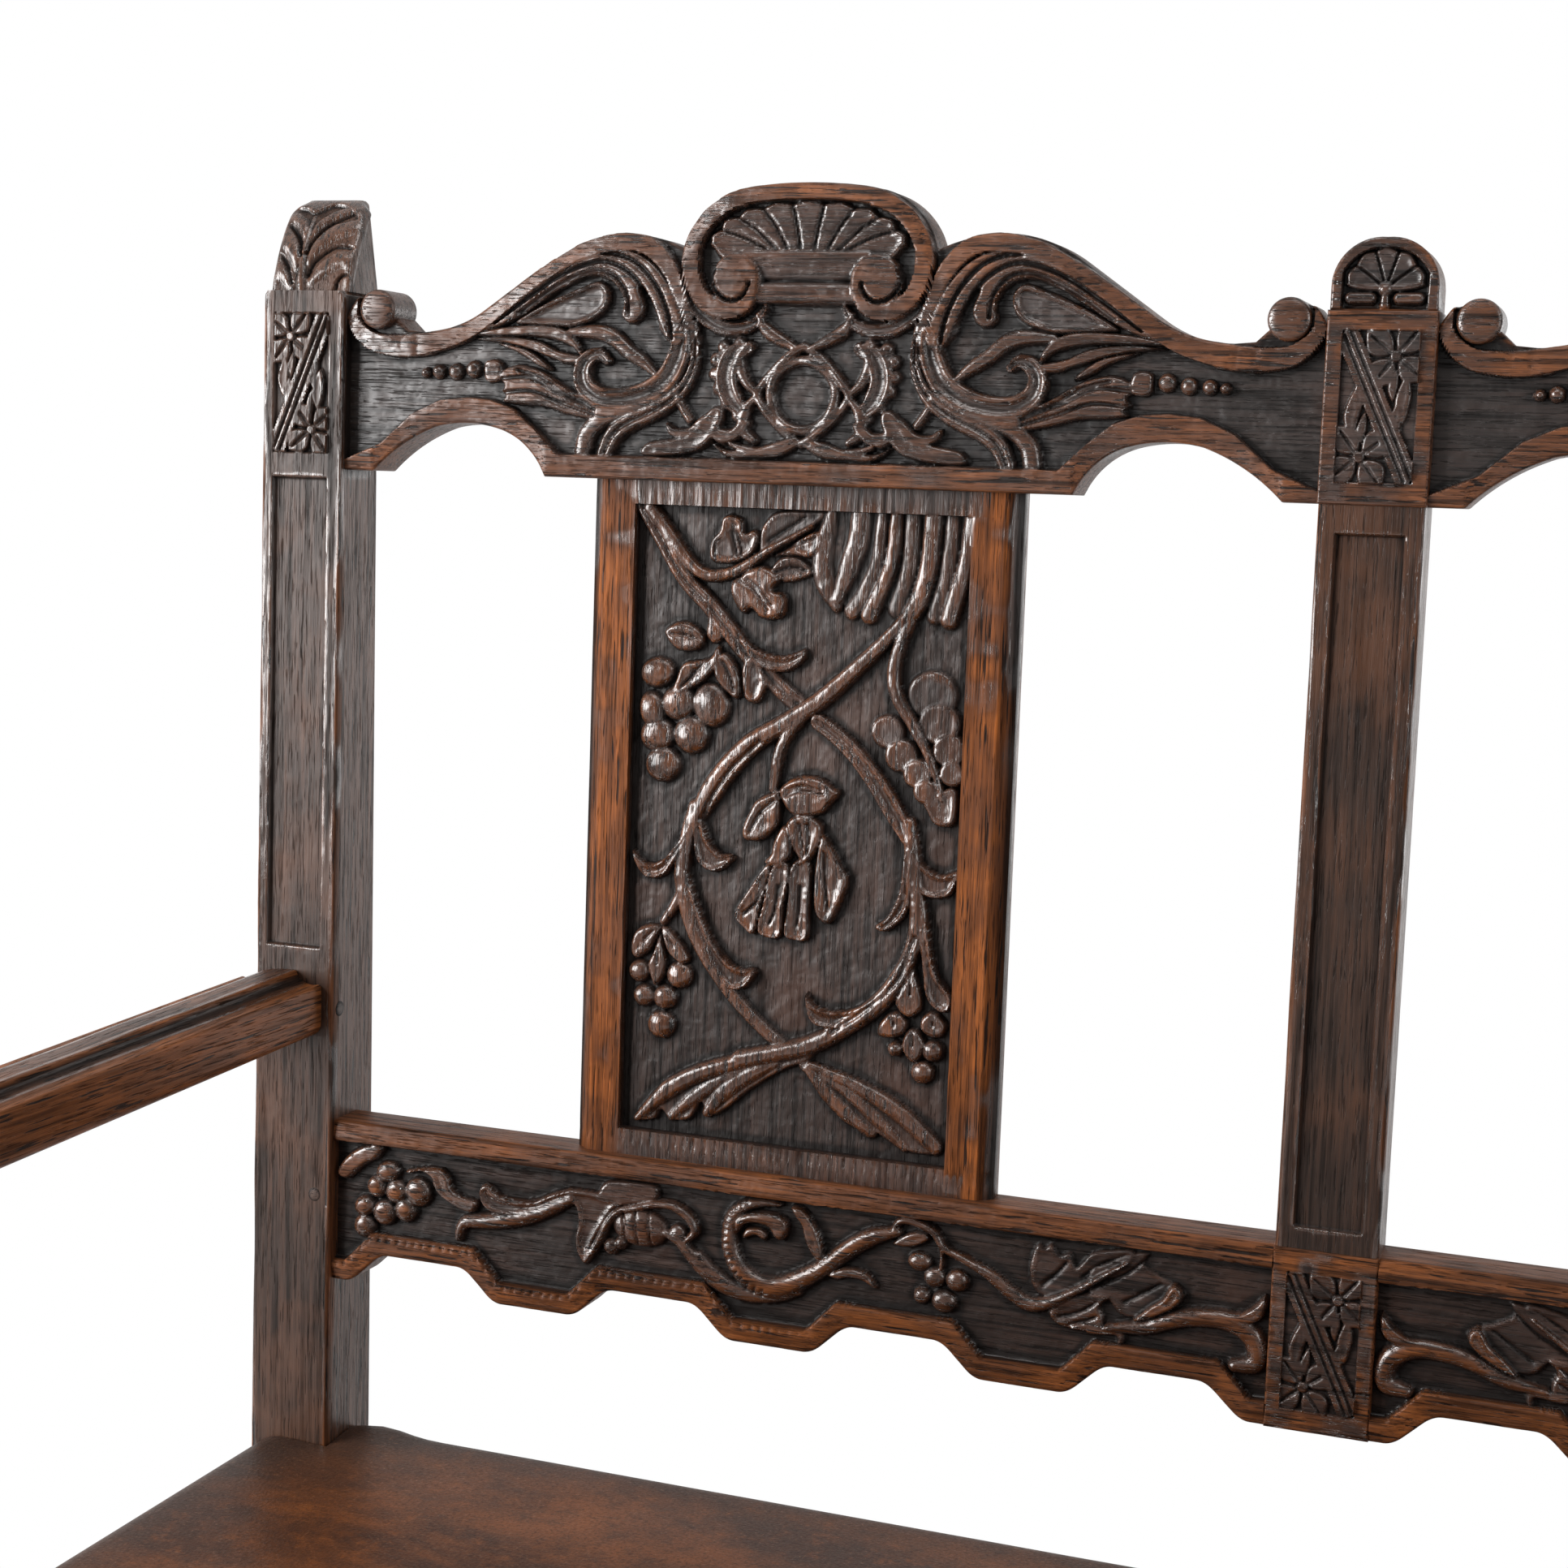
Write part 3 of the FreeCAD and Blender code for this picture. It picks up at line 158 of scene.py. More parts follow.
BACK_MIDDLE = (-0.2, 0.2, 0.8)
soft_box("left_box", (-2.1, -1.2, 1.2), (-0.3, 0.2, 0.9), 1.5, 1.4, 15)
soft_box("overhead_box", (-0.2, -0.6, 2.5), BACK_MIDDLE, 1.3, 0.5, 5)
soft_box("right_box", (2.0, -0.7, 1.5), BACK_MIDDLE, 0.9, 1.0, 4)
soft_box("rear_box", (1.5, 2.4, 0.9), BACK_MIDDLE, 1.1, 1.2, 3)
print("lamps:", len(bpy.data.lights))

# %% [markdown]
# ## Oak
# Old oak is near black in its hollows, partly from dirt and partly from painted shade, dark brown on flat
# faces, and rubbed to orange brown where hands and dusters reach. Its open pores show as short dark dashes
# along the grain. A picture of wood would stretch over the carving, so the grain is noise drawn out along one
# axis. The carving and the edges are worked out as arrays, so each vertex also carries how worn and how hollow
# its place is, and the finish mixes its colours by them. Handled relief is polished, bare worn wood is dull,
# and the grain breaks up the shine.

# %% Finish helpers
def new_finish(name):
    """An empty material, its node adder and the object's own coordinates, on which every pattern lies."""
    finish = bpy.data.materials.new(name)
    add = node_tree(finish)
    return finish, add, add("ShaderNodeTexCoord").outputs["Object"]


def finish_sums(add):
    """The sums that a finish is written in: noise, ramp, mix of colours, product and sum."""

    def noise(place, scale, detail, rough=0.5, twist=0.0):
        """Cloudy noise, with its features per metre and its levels of detail."""
        return add("ShaderNodeTexNoise", {"Vector": place, "Scale": scale, "Detail": detail,
                                          "Roughness": rough, "Distortion": twist}).outputs["Fac"]

    def ramp(value, low, high, out_low=0.0, out_high=1.0):
        """Straight ramp of a value, held at its ends."""
        return add("ShaderNodeMapRange", {"Value": value, "From Min": low, "From Max": high, "To Min": out_low,
                                          "To Max": out_high}).outputs[0]

    def mix(factor, first, second):
        """Colour between two others."""
        first, second = ((*tone, 1) if isinstance(tone, tuple) else tone for tone in (first, second))
        return add("ShaderNodeMix", {0: factor, 6: first, 7: second}, data_type="RGBA").outputs[2]

    def times(first, second):
        """Product of two values, held between 0 and 1."""
        return add("ShaderNodeMath", {0: first, 1: second}, operation="MULTIPLY", use_clamp=True).outputs[0]

    def plus(first, second):
        """Sum of two values."""
        return add("ShaderNodeMath", {0: first, 1: second}, operation="ADD").outputs[0]

    return noise, ramp, mix, times, plus


def close_finish(add, height, strength, depth, sockets):
    """Ends a finish with a bump, of a strength and a depth in metres, and the shader's other sockets."""
    bump = add("ShaderNodeBump", {"Strength": strength, "Distance": depth, "Height": height})
    shader = add("ShaderNodeBsdfPrincipled", {**sockets, "Normal": bump.outputs[0]})
    add("ShaderNodeOutputMaterial", {"Surface": shader.outputs[0]})


# %% Oak finish
GRAIN_TURN = {"x": (0, math.pi / 2, 0), "y": (math.pi / 2, 0, 0), "z": (0, 0, 0)}
PORE_DARK, CRACK_DARK, HOLLOW_DIRT_AND_SHADE = (0.006, 0.004, 0.0032), (0.005, 0.0035, 0.003), (0.0055, 0.0042, 0.0038)


def oak_finish(name, grain, dark=(0.010, 0.0062, 0.0050), brown=(0.048, 0.0205, 0.0122),
               worn=(0.235, 0.080, 0.028), gloss=0.26, sheen=0.32, dull=0.18, bare=0.2, open_grain=False):
    """Stained oak with grain along one axis: streaks, pores, patina, and colours mixed by wear and hollow, its
    hollows darkened by dirt and painted shade.
    """
    finish, add, here = new_finish(name)
    noise, ramp, mix, times, plus = finish_sums(add)

    def stretched(across, along, detail=3.0, rough=0.6):
        """Noise drawn out along the grain, with its size across and along it given in features per metre."""
        turned = add("ShaderNodeMapping", {"Vector": here, "Rotation": GRAIN_TURN[grain]})
        sized = add("ShaderNodeVectorMath", {0: turned.outputs[0], 1: (across, across, along)},
                    operation="MULTIPLY")
        return noise(sized.outputs[0], 1.0, detail, rough)

    streak = stretched(380, 13)
    fibre = stretched(1700, 32, 2.0)
    pore = ramp(stretched(1350, 58, 2.0, 0.55), 0.42, 0.35)
    crack = ramp(stretched(620, 32, 2.0, 0.5), 0.385, 0.345)
    patch = noise(here, 17.0, 4.0)
    dent = noise(here, 210.0, 3.0)
    wear, hollow = (add("ShaderNodeAttribute", attribute_name=label).outputs["Fac"]
                    for label in ("wear", "hollow"))
    if not open_grain:
        crack = times(crack, ramp(wear, 0.02, 0.25))
    flat = mix(ramp(streak, 0.34, 0.68), dark, brown)
    flat = mix(ramp(patch, 0.48, 0.68, 0.0, 0.5), flat, dark)
    flat = mix(ramp(patch, 0.46, 0.30, 0.0, 0.6), flat, tuple(1.7 * part for part in brown))
    rubbed = times(wear, ramp(patch, 0.25, 0.6, 0.35, 1.15))
    rubbed = times(rubbed, ramp(streak, 0.30, 0.60, 0.20, 1.0))
    rubbed = times(rubbed, ramp(fibre, 0.32, 0.60, 0.45, 1.0))
    colour = mix(rubbed, flat, worn)
    colour = mix(times(pore, 0.6), colour, PORE_DARK)
    colour = mix(times(crack, 0.9), colour, CRACK_DARK)
    # Painted shade: the hollow mask darkens recesses to a near-black colour that stands for real dirt and for
    # the shade in the carving.
    colour = mix(times(hollow, 0.88), colour, HOLLOW_DIRT_AND_SHADE)
    polish = times(ramp(wear, 0.02, 0.12), ramp(wear, 0.52, 0.36))
    rough = plus(ramp(polish, 0.0, 1.0, gloss + dull, gloss - 0.05),
                 plus(times(hollow, 0.1), times(pore, 0.2)))
    height = plus(times(fibre, 0.18), times(dent, 0.16))
    height = add("ShaderNodeMath", {0: height, 1: plus(times(pore, 0.35), crack)},
                 operation="SUBTRACT").outputs[0]
    lustre = ramp(wear, 0.35, 0.6, sheen, bare)
    gleam = add("ShaderNodeMath", {0: times(polish, 0.9), 1: lustre}, operation="MAXIMUM")
    shine = times(ramp(hollow, 0.0, 0.8, 1.0, 0.5), gleam.outputs[0])
    shine = times(shine, times(ramp(streak, 0.34, 0.52, 0.50, 1.0), ramp(pore, 0.0, 1.0, 1.0, 0.5)))
    close_finish(add, height, 0.8, 0.0008,
                 {"Base Color": colour, "Roughness": rough, "Specular IOR Level": shine})
    return finish


oak_level = oak_finish("oak_grain_along", "x", (0.010, 0.0074, 0.0066), (0.042, 0.0205, 0.0140), sheen=0.80,
                       dull=0.11, bare=0.40)
oak_lower = oak_finish("oak_of_the_lower_rail", "x", worn=(0.27, 0.086, 0.024), sheen=0.47)
oak_upright = oak_finish("oak_grain_upright", "z", (0.012, 0.0070, 0.0050), (0.055, 0.0220, 0.0105),
                         sheen=0.36)
oak_panel = oak_finish("oak_of_the_panels", "z", worn=(0.38, 0.112, 0.025), sheen=0.55, bare=0.13)
oak_forward = oak_finish("oak_grain_forward", "y", (0.016, 0.0078, 0.0048), (0.115, 0.0405, 0.0145),
                         (0.40, 0.130, 0.036), open_grain=True)
print("oak finishes:", oak_level.name, oak_upright.name, oak_forward.name)

# %% [markdown]
# ## From arrays to pieces
# Every board is a grid of points. Its front carries the carving, and one strip of faces carries the outline
# round to a flat back. The lines of the grid lie closer where the carving or a rounded arris needs them. The
# same could be modelled by hand, but arrays keep every measure in one place, and the right half of the bench
# is then the left one with its x turned round.

# %% Grid helpers
def graded(*spans):
    """Rising line places from spans of (start, stop, step), each span divided evenly into steps no longer
    than asked."""
    counts = [max(2, math.ceil(abs(stop - start) / step) + 1) for start, stop, step in spans]
    runs = [np.linspace(start, stop, count) for (start, stop, _), count in zip(spans, counts)]
    return np.unique(np.round(np.concatenate(runs), 4))


def lattice_noise(x, z, size, seed):
    """Smooth noise from -1 to 1: a hashed value at each lattice corner, blended between corners by
    smoothstep."""
    u, w = np.asarray(x) / size, np.asarray(z) / size
    low_u, low_w = np.floor(u), np.floor(w)
    ease_u, ease_w = ((f * f * (3 - 2 * f)) for f in (u - low_u, w - low_w))

    def corner(i, j):
        """Hashed value of one lattice corner."""
        hashed = np.sin(i * 127.1 + j * 311.7 + seed * 74.7) * 43758.5453
        return 2 * (hashed - np.floor(hashed)) - 1

    low = corner(low_u, low_w) * (1 - ease_u) + corner(low_u + 1, low_w) * ease_u
    high = corner(low_u, low_w + 1) * (1 - ease_u) + corner(low_u + 1, low_w + 1) * ease_u
    return low * (1 - ease_w) + high * ease_w


def blurred(values, reach):
    """Running mean over squares of 2 * reach + 1 cells, taken twice, by cumulative sums along each axis."""
    for axis in (0, 1, 0, 1):
        width = [(0, 0), (0, 0)]
        width[axis] = (reach + 1, reach)
        summed = np.cumsum(np.pad(values, width, mode="edge"), axis=axis)
        head = np.take(summed, np.arange(2 * reach + 1, summed.shape[axis]), axis=axis)
        tail = np.take(summed, np.arange(0, summed.shape[axis] - 2 * reach - 1), axis=axis)
        values = (head - tail) / (2 * reach + 1)
    return values


def smooth_step(low, high, value):
    """0 below low, 1 above high, and an S-shaped rise between."""
    part = np.clip((value - low) / (high - low), 0, 1)
    return part * part * (3 - 2 * part)


def quads_of(corner):
    """Quads between the neighbouring rows and columns of an array of point numbers."""
    return np.stack([corner[:-1, :-1], corner[:-1, 1:], corner[1:, 1:], corner[1:, :-1]], -1).reshape(-1, 4)


def tube_faces(rows, around, start=0, flip=False):
    """Faces of a tube of closed rings, whose points are counted ring by ring, with a cap on both ends."""
    corner = start + np.arange(rows * around).reshape(rows, around)
    quads = quads_of(np.concatenate([corner, corner[:, :1]], axis=1))
    if flip:
        return [*quads[:, [0, 3, 2, 1]], corner[0], corner[-1, ::-1]]
    return [*quads, corner[0, ::-1], corner[-1]]


# %% Mesh maker
def placed(name, mesh, stands_for):
    """Puts a mesh into the scene at the origin and ties it to the frame."""
    piece = bpy.data.objects.new(name, mesh)
    bpy.context.collection.objects.link(piece)
    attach(piece, "root")
    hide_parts(*stands_for)
    print(f"{name}: {len(mesh.vertices)} points, {len(mesh.polygons)} faces")
    return piece


def make_piece(name, shape, finish, stands_for, crease=62):
    """Makes a piece from its shape: points in millimetres, faces, and wear and hollow at each point or
    None."""
    points, faces, wear, hollow = shape
    mesh = bpy.data.meshes.new(name)
    mesh.from_pydata(np.asarray(points) * MM, [], [list(face) for face in faces])
    for label, values in (("wear", wear), ("hollow", hollow)):
        layer = mesh.attributes.new(label, "FLOAT", "POINT")
        if values is not None:
            layer.data.foreach_set("value", np.asarray(values, np.float32))
    mesh.shade_smooth()
    mesh.set_sharp_from_angle(angle=math.radians(crease))
    mesh.materials.append(finish)
    return placed(name, mesh, stands_for)


def mirrored_piece(name, source, stands_for):
    """The same piece on the other side of the bench: x changes sign and every face runs the other way."""
    mesh = source.data.copy()
    mesh.name = name
    places = np.empty(len(mesh.vertices) * 3, np.float32)
    mesh.vertices.foreach_get("co", places)
    places[0::3] *= -1
    mesh.vertices.foreach_set("co", places)
    mesh.flip_normals()
    mesh.update()
    return placed(name, mesh, stands_for)


def board_shell(x, y, z, back, wear, hollow, rest=0.6):
    """Closes a carved front grid into a board with a flat back: points, faces, wear and hollow.

    The grid's lowest and highest rows are repeated at the back's depth, and walls and back are strips between
    these rows. The back takes one even wear and no hollow.
    """
    rows, columns = x.shape
    front = np.stack([x, y, z], -1).reshape(-1, 3)
    count = len(front)
    low, high = (np.stack([x[row], np.full(columns, back), z[row]], -1) for row in (0, -1))
    points = np.vstack([front, low, high])
    corner = np.arange(count).reshape(rows, columns)
    low_at, high_at = count + np.arange(columns), count + columns + np.arange(columns)
    faces = [*quads_of(corner)]
    faces += [*np.stack([corner[0, 1:], corner[0, :-1], low_at[:-1], low_at[1:]], -1)]
    faces += [*np.stack([corner[-1, :-1], corner[-1, 1:], high_at[1:], high_at[:-1]], -1)]
    faces += [*np.stack([low_at[1:], low_at[:-1], high_at[:-1], high_at[1:]], -1)]
    faces += [np.concatenate([corner[:, 0], [high_at[0], low_at[0]]]),
              np.concatenate([corner[::-1, -1], [low_at[-1], high_at[-1]]])]
    wear = np.append(wear.ravel(), np.full(2 * columns, rest))
    return points, faces, wear, np.append(hollow.ravel(), np.zeros(2 * columns))

# %% [markdown]
# ## The carver's tools
# A carved stem is a ridge along a curve, a leaf is a ridge that swells or a drawn outline that is dished and
# veined, a grape is a dome. Each is a height above the sunk ground, worked out from the distance to its curve,
# and the highest one wins at each point, which is how wood is left standing. Sculpting with brushes would do
# too, but a curve read off a squared drawing can be corrected point by point.

# %% Curves and distances
def bend(points, per_span=12):
    """Smooth curve through points: a Catmull-Rom cubic on each span, its tangents half the chord of the
    neighbours."""
    points = np.asarray(points, float)
    padded = np.vstack([2 * points[0] - points[1], points, 2 * points[-1] - points[-2]])
    p0, p1, p2, p3 = (padded[k:len(padded) - 3 + k, None] for k in range(4))
    t = np.linspace(0, 1, per_span, endpoint=False)[None, :, None]
    curve = 0.5 * (2 * p1 + (p2 - p0) * t + (2 * p0 - 5 * p1 + 4 * p2 - p3) * t ** 2
                   + (3 * p1 - p0 - 3 * p2 + p3) * t ** 3)
    return np.vstack([curve.reshape(-1, 2), points[-1:]])


def along(path, x, z):
    """For each point: distance to a path of straight bits, and share of the path's length at the nearest
    place."""
    start, run = path[:-1], np.diff(path, axis=0)
    length = np.hypot(*run.T)
    dx, dz = x[:, None] - start[:, 0], z[:, None] - start[:, 1]
    part = np.clip((dx * run[:, 0] + dz * run[:, 1]) / length ** 2, 0, 1)
    gap = np.hypot(dx - part * run[:, 0], dz - part * run[:, 1])
    best = gap.argmin(1)
    rows = np.arange(len(x))
    done = np.concatenate([[0], np.cumsum(length)])
    return gap[rows, best], (done[best] + part[rows, best] * length[best]) / done[-1]


def closed(points, per_span=8):
    """Smooth closed curve through points: the same cubic, led once round and back to its start."""
    points = np.asarray(points, float)
    ring = np.vstack([points[-2:], points, points[:3]])
    return bend(ring, per_span)[2 * per_span:(len(points) + 2) * per_span + 1]


def enclosed(path, x, z):
    """True inside a closed path: a line drawn to the right crosses the path an odd number of times."""
    (x0, z0), (x1, z1) = path[:-1].T, path[1:].T
    spans = (z0 > z[:, None]) != (z1 > z[:, None])
    rise = np.where(z1 == z0, 1e-9, z1 - z0)
    crossing = x0 + (z[:, None] - z0) / rise * (x1 - x0)
    return (spans & (crossing > x[:, None])).sum(1) % 2 == 1


def spread(values, share):
    """Value at a share of the way along a list of evenly spaced values."""
    return np.interp(share, np.linspace(0, 1, len(np.atleast_1d(values))), np.atleast_1d(values))


# %% Ridges and domes
def across_round(q):
    """Half-round section: the root of one less q squared."""
    return np.sqrt(np.clip(1 - q * q, 0, 1))


def across_hollow(q):
    """Gouged leaf section: low in the middle, highest at three quarters, then a quick fall to the edge."""
    rise = 0.60 + 0.40 * smooth_step(0.05, 0.72, q)
    return rise * np.sqrt(np.clip(1 - np.clip((q - 0.62) / 0.38, 0, 1) ** 2, 0, 1))


def across_flat(q):
    """Flat band with a softened edge."""
    return 1 - smooth_step(0.90, 1.0, q) ** 2


def across_full(q):
    """Bar with a gently rounded top and steep sides: the root of one less q cubed."""
    return np.sqrt(np.clip(1 - q ** 3, 0, 1))


def across_twin(q):
    """Two ribs side by side: a full bar with a channel down its middle."""
    return np.sqrt(np.clip(1 - q ** 4, 0, 1)) - 0.38 * np.exp(-(q / 0.24) ** 2)


class Carving:
    """A patch of wood: places x and z in millimetres and the height left standing above the sunk ground."""

    def __init__(self, x, z):
        """Starts from a flat ground, with no part of it handled."""
        self.x, self.z = x, z
        self.height = np.zeros_like(x)
        self.handled = np.zeros_like(x)

    def leave(self, near, height):
        """Leaves the higher of the old and the new surface at the chosen points."""
        self.height[near] = np.maximum(self.height[near], height)

    def within(self, low, high):
        """Points inside a box."""
        return (self.x > low[0]) & (self.x < high[0]) & (self.z > low[1]) & (self.z < high[1])

    def ridge(self, points, half, top, section=across_round, smooth=True):
        """Ridge along a curve: its top times the section of distance over half width, both led along it."""
        path = bend(points) if smooth else np.asarray(points, float)
        reach = np.max(half)
        near = self.within(path.min(0) - reach, path.max(0) + reach)
        if not near.any():
            return
        gap, share = along(path, self.x[near], self.z[near])
        q = gap / np.maximum(spread(half, share), 0.05)
        height = spread(top, share) * section(np.minimum(q, 1))
        self.leave(near, np.where(q < 1, height, 0))

    def dome(self, centre, radius, top, squash=1.0, turn=0.0):
        """Rounded dome: its top times nearly the root of one less the squared share of its oval's radius."""
        reach = radius * max(1, squash)
        near = self.within(np.subtract(centre, reach), np.add(centre, reach))
        dx, dz = self.x[near] - centre[0], self.z[near] - centre[1]
        u = dx * math.cos(turn) + dz * math.sin(turn)
        w = (dz * math.cos(turn) - dx * math.sin(turn)) / squash
        q = np.hypot(u, w) / radius
        self.leave(near, np.where(q < 1, top * np.clip(1 - q * q, 0, 1) ** 0.42, 0))

    def leaf(self, outline, top, rim=2.2, dish=0.0, veins=()):
        """Leaf inside a drawn outline: its edge rounds up over the rim's width, and its middle is dished
        by a depth."""
        path = closed(outline)
        near = self.within(path.min(0), path.max(0))
        if not near.any():
            return
        gap, _ = along(path, self.x[near], self.z[near])
        inside = enclosed(path, self.x[near], self.z[near])
        shoulder = np.sqrt(np.clip(1 - (1 - np.minimum(gap / rim, 1)) ** 2, 0, 1))
        height = top * shoulder - dish * smooth_step(0.7 * rim, 2.6 * rim, gap)
        for vein in veins:
            away, share = along(bend(vein), self.x[near], self.z[near])
            height = height - 1.5 * np.exp(-(away / (1.1 - 0.5 * share)) ** 2)
        self.leave(near, np.where(inside, height, 0))

    def groove(self, points, half, depth):
        """Cut along a curve: takes away its depth times a round section."""
        path = bend(points)
        near = self.within(path.min(0) - half, path.max(0) + half)
        gap, _ = along(path, self.x[near], self.z[near])
        self.height[near] -= depth * across_round(np.minimum(gap / half, 1))

    def tooled(self, seed, amount=0.16):
        """Small unevenness left by the tools, in two sizes."""
        self.height += amount * lattice_noise(self.x, self.z, 5.5, seed)
        self.height += 0.5 * amount * lattice_noise(self.x, self.z, 1.9, seed + 3)

    def worn_and_hollow(self, reach=4):
        """Wear and hollow, each 0 to 1: how far a point stands above, or lies below, the mean around it."""
        lift = self.height - blurred(self.height, reach)
        broad = self.height - blurred(self.height, 3 * reach)
        uneven = 0.75 + 0.5 * lattice_noise(self.x, self.z, 9, 41)
        wear = smooth_step(0.12, 1.1, 0.6 * lift + 0.4 * broad) * uneven
        hollow = smooth_step(0.15, 1.3, -lift)
        return np.clip(wear, 0, 1), np.clip(hollow, 0, 1)


def drawing(origin, scale, mirror=1):
    """Reader for a squared drawing: turns its (across, down) units into places about a corner, mirrored
    if asked."""

    def read(*points):
        """Places of drawing points."""
        return (np.array(points, float) / scale * (1, -1) + origin) * (mirror, 1)

    return read

# %% [markdown]
# ## The carved panels
# Each panel is a thin board with bevelled edges. Inside a plain border a field is sunk, and crossing vine
# stems, leaves, grapes and a fan of flutes stand up from it, almost to the border's level. A bump in the
# finish would not cast their shadows, so the grid itself is fine enough to carry them.

# %% Vine of the upper half of a panel
SPLAT_CENTRE, SPLAT_FRONT, SPLAT_BACK = 271.5, 215.5, 229.5
SPLAT_LOW, SPLAT_HIGH = 625.0, 964.3
FIELD_HALF, FIELD_LOW, FIELD_HIGH, FIELD_DEPTH = 86.0, 638.4, 952.4, 6.0
UPPER_SHEET, LOWER_SHEET = ((SPLAT_CENTRE - 380, 970), 7), ((SPLAT_CENTRE - 380, 800), 7)


def carve_vine_top(wood):
    """Stems of the upper half: a channelled stem from the corner with its branch, hook and bud, and the
    long cross stem."""
    at = drawing(*UPPER_SHEET)
    wood.ridge(at((178, 125), (250, 235), (300, 318), (360, 392), (430, 455), (500, 532), (570, 610),
                  (640, 672), (720, 745), (800, 800)), (4.8, 4.6, 4.4, 4.6, 4.8, 5, 5, 4.8, 4.8, 4.8),
               (4.4, 5, 5.2, 5, 4.4, 3.6, 3, 2.6), across_twin)
    wood.ridge(at((205, 135), (290, 235), (350, 310), (410, 352), (480, 352), (550, 325), (640, 265),
                  (720, 220), (800, 175)), (4, 3.8, 3.6, 3.4, 3.2, 3, 2.2, 1.6, 1),
               (5, 5.2, 5.2, 5.2, 5, 4.8, 4.8, 4.6), across_full)
    wood.leaf(at((555, 565), (620, 600), (690, 618), (745, 608), (785, 590), (795, 612), (772, 645),
                 (715, 674), (650, 668), (595, 640)), 5.2, 1.5, 2.2)
    wood.leaf(at((400, 420), (425, 500), (424, 560), (450, 590), (484, 576), (482, 545), (458, 500),
                 (440, 450)), 4.4, 2.6)
    wood.ridge(at((845, 835), (900, 870), (980, 935), (1060, 1025), (1120, 1110), (1180, 1200)),
               (4.2, 4.4, 4.8, 5.2, 5.4, 4.4), (4.2, 4.8, 5.2, 5.2), across_hollow)
    wood.ridge(at((1155, 455), (1060, 560), (960, 658), (850, 760), (720, 850), (600, 930), (510, 1030),
                  (450, 1120), (400, 1215)), (3.4, 3.8, 4.2, 4.6, 4.8, 5.2, 6, 6.2, 4.4),
               (4.6, 5.2, 5.6, 5.8, 5.8, 5.6, 5.2), across_full)
    wood.groove(at((640, 915), (545, 1010), (475, 1110), (432, 1200)), 1.5, 1.8)
    wood.ridge(at((800, 815), (740, 880), (705, 960), (690, 1075)), (2.4, 3.2, 3.2, 2.6),
               (5.2, 5.2, 4.6, 4.2), across_full)


def carve_top_leaves(wood):
    """Leaves of the upper half: two heart leaves, a long leaf on its stem and smaller ones behind them."""
    at = drawing(*UPPER_SHEET)
    wood.leaf(at((610, 200), (640, 150), (680, 128), (760, 122), (850, 126), (800, 178), (700, 232),
                 (650, 262), (612, 278)), 3, 1.6, 0.6, (at((640, 230), (700, 190), (770, 145)),))
    wood.leaf(at((640, 282), (690, 262), (760, 215), (815, 190), (838, 212), (830, 255), (790, 282),
                 (740, 276)), 4.2, 1.8, 0.8, (at((660, 275), (740, 240), (810, 212)),))
    wood.leaf(at((432, 238), (432, 300), (485, 314), (545, 302), (590, 272), (608, 218), (588, 194),
                 (556, 206), (546, 166), (510, 147), (474, 156), (462, 202)), 4.2, 1.8, 1.2,
              (at((508, 205), (520, 250), (532, 290)), at((528, 210), (540, 250), (545, 285))))
    wood.leaf(at((655, 330), (680, 290), (720, 278), (770, 290), (806, 330), (780, 350), (720, 367),
                 (690, 362)), 3.4, 1.6, 0.5, (at((670, 335), (730, 315), (785, 325)),))
    wood.leaf(at((514, 372), (545, 352), (572, 328), (620, 314), (662, 326), (692, 360), (668, 394),
                 (702, 404), (717, 438), (706, 482), (664, 497), (618, 490), (590, 466), (564, 480),
                 (538, 464), (512, 418)), 5.4, 3.2, 0,
              (at((552, 368), (605, 402), (655, 468)), at((575, 362), (625, 400), (668, 450))))


def carve_fan(wood):
    """Fan of flutes that hangs from the field's upper edge: a low broad flute and a high rounded one in
    turn, side by side."""
    at = drawing(*UPPER_SHEET)
    flutes = ((((872, 112), (846, 220), (838, 310), (866, 395), (893, 440)), (2.6, 4.8, 5.8, 5.8, 3), 3.8),
              (((972, 112), (962, 220), (930, 320), (898, 415)), (5.8, 6, 5.6, 3.2), 4.6),
              (((1046, 112), (1036, 280), (992, 390), (950, 452)), (3.4, 3.8, 4.6, 4.6), 3.6),
              (((1098, 112), (1085, 280), (1045, 390), (1012, 464)), (3.4, 3.8, 4.2, 4.6), 5.4),
              (((1155, 112), (1150, 280), (1125, 380), (1105, 440)), (5, 5, 5, 4.6), 3.4),
              (((1228, 112), (1216, 280), (1190, 390), (1164, 446)), (5, 5, 5, 5.2), 5.6),
              (((1292, 112), (1284, 280), (1262, 390), (1242, 454)), (4, 4.4, 4.6, 4.6), 3.4),
              (((1358, 112), (1345, 270), (1316, 380), (1292, 466)), (4, 4.4, 4.6, 4.8), 5.4))
    wood.leaf(at((868, 105), (1370, 105), (1365, 250), (1300, 440), (1165, 425), (1010, 445), (895, 425),
                 (838, 310)), 1.5, 1.2)
    for points, half, top in flutes:
        wood.ridge(at(*points), half, (top, top, top, 0.86 * top), across_full)


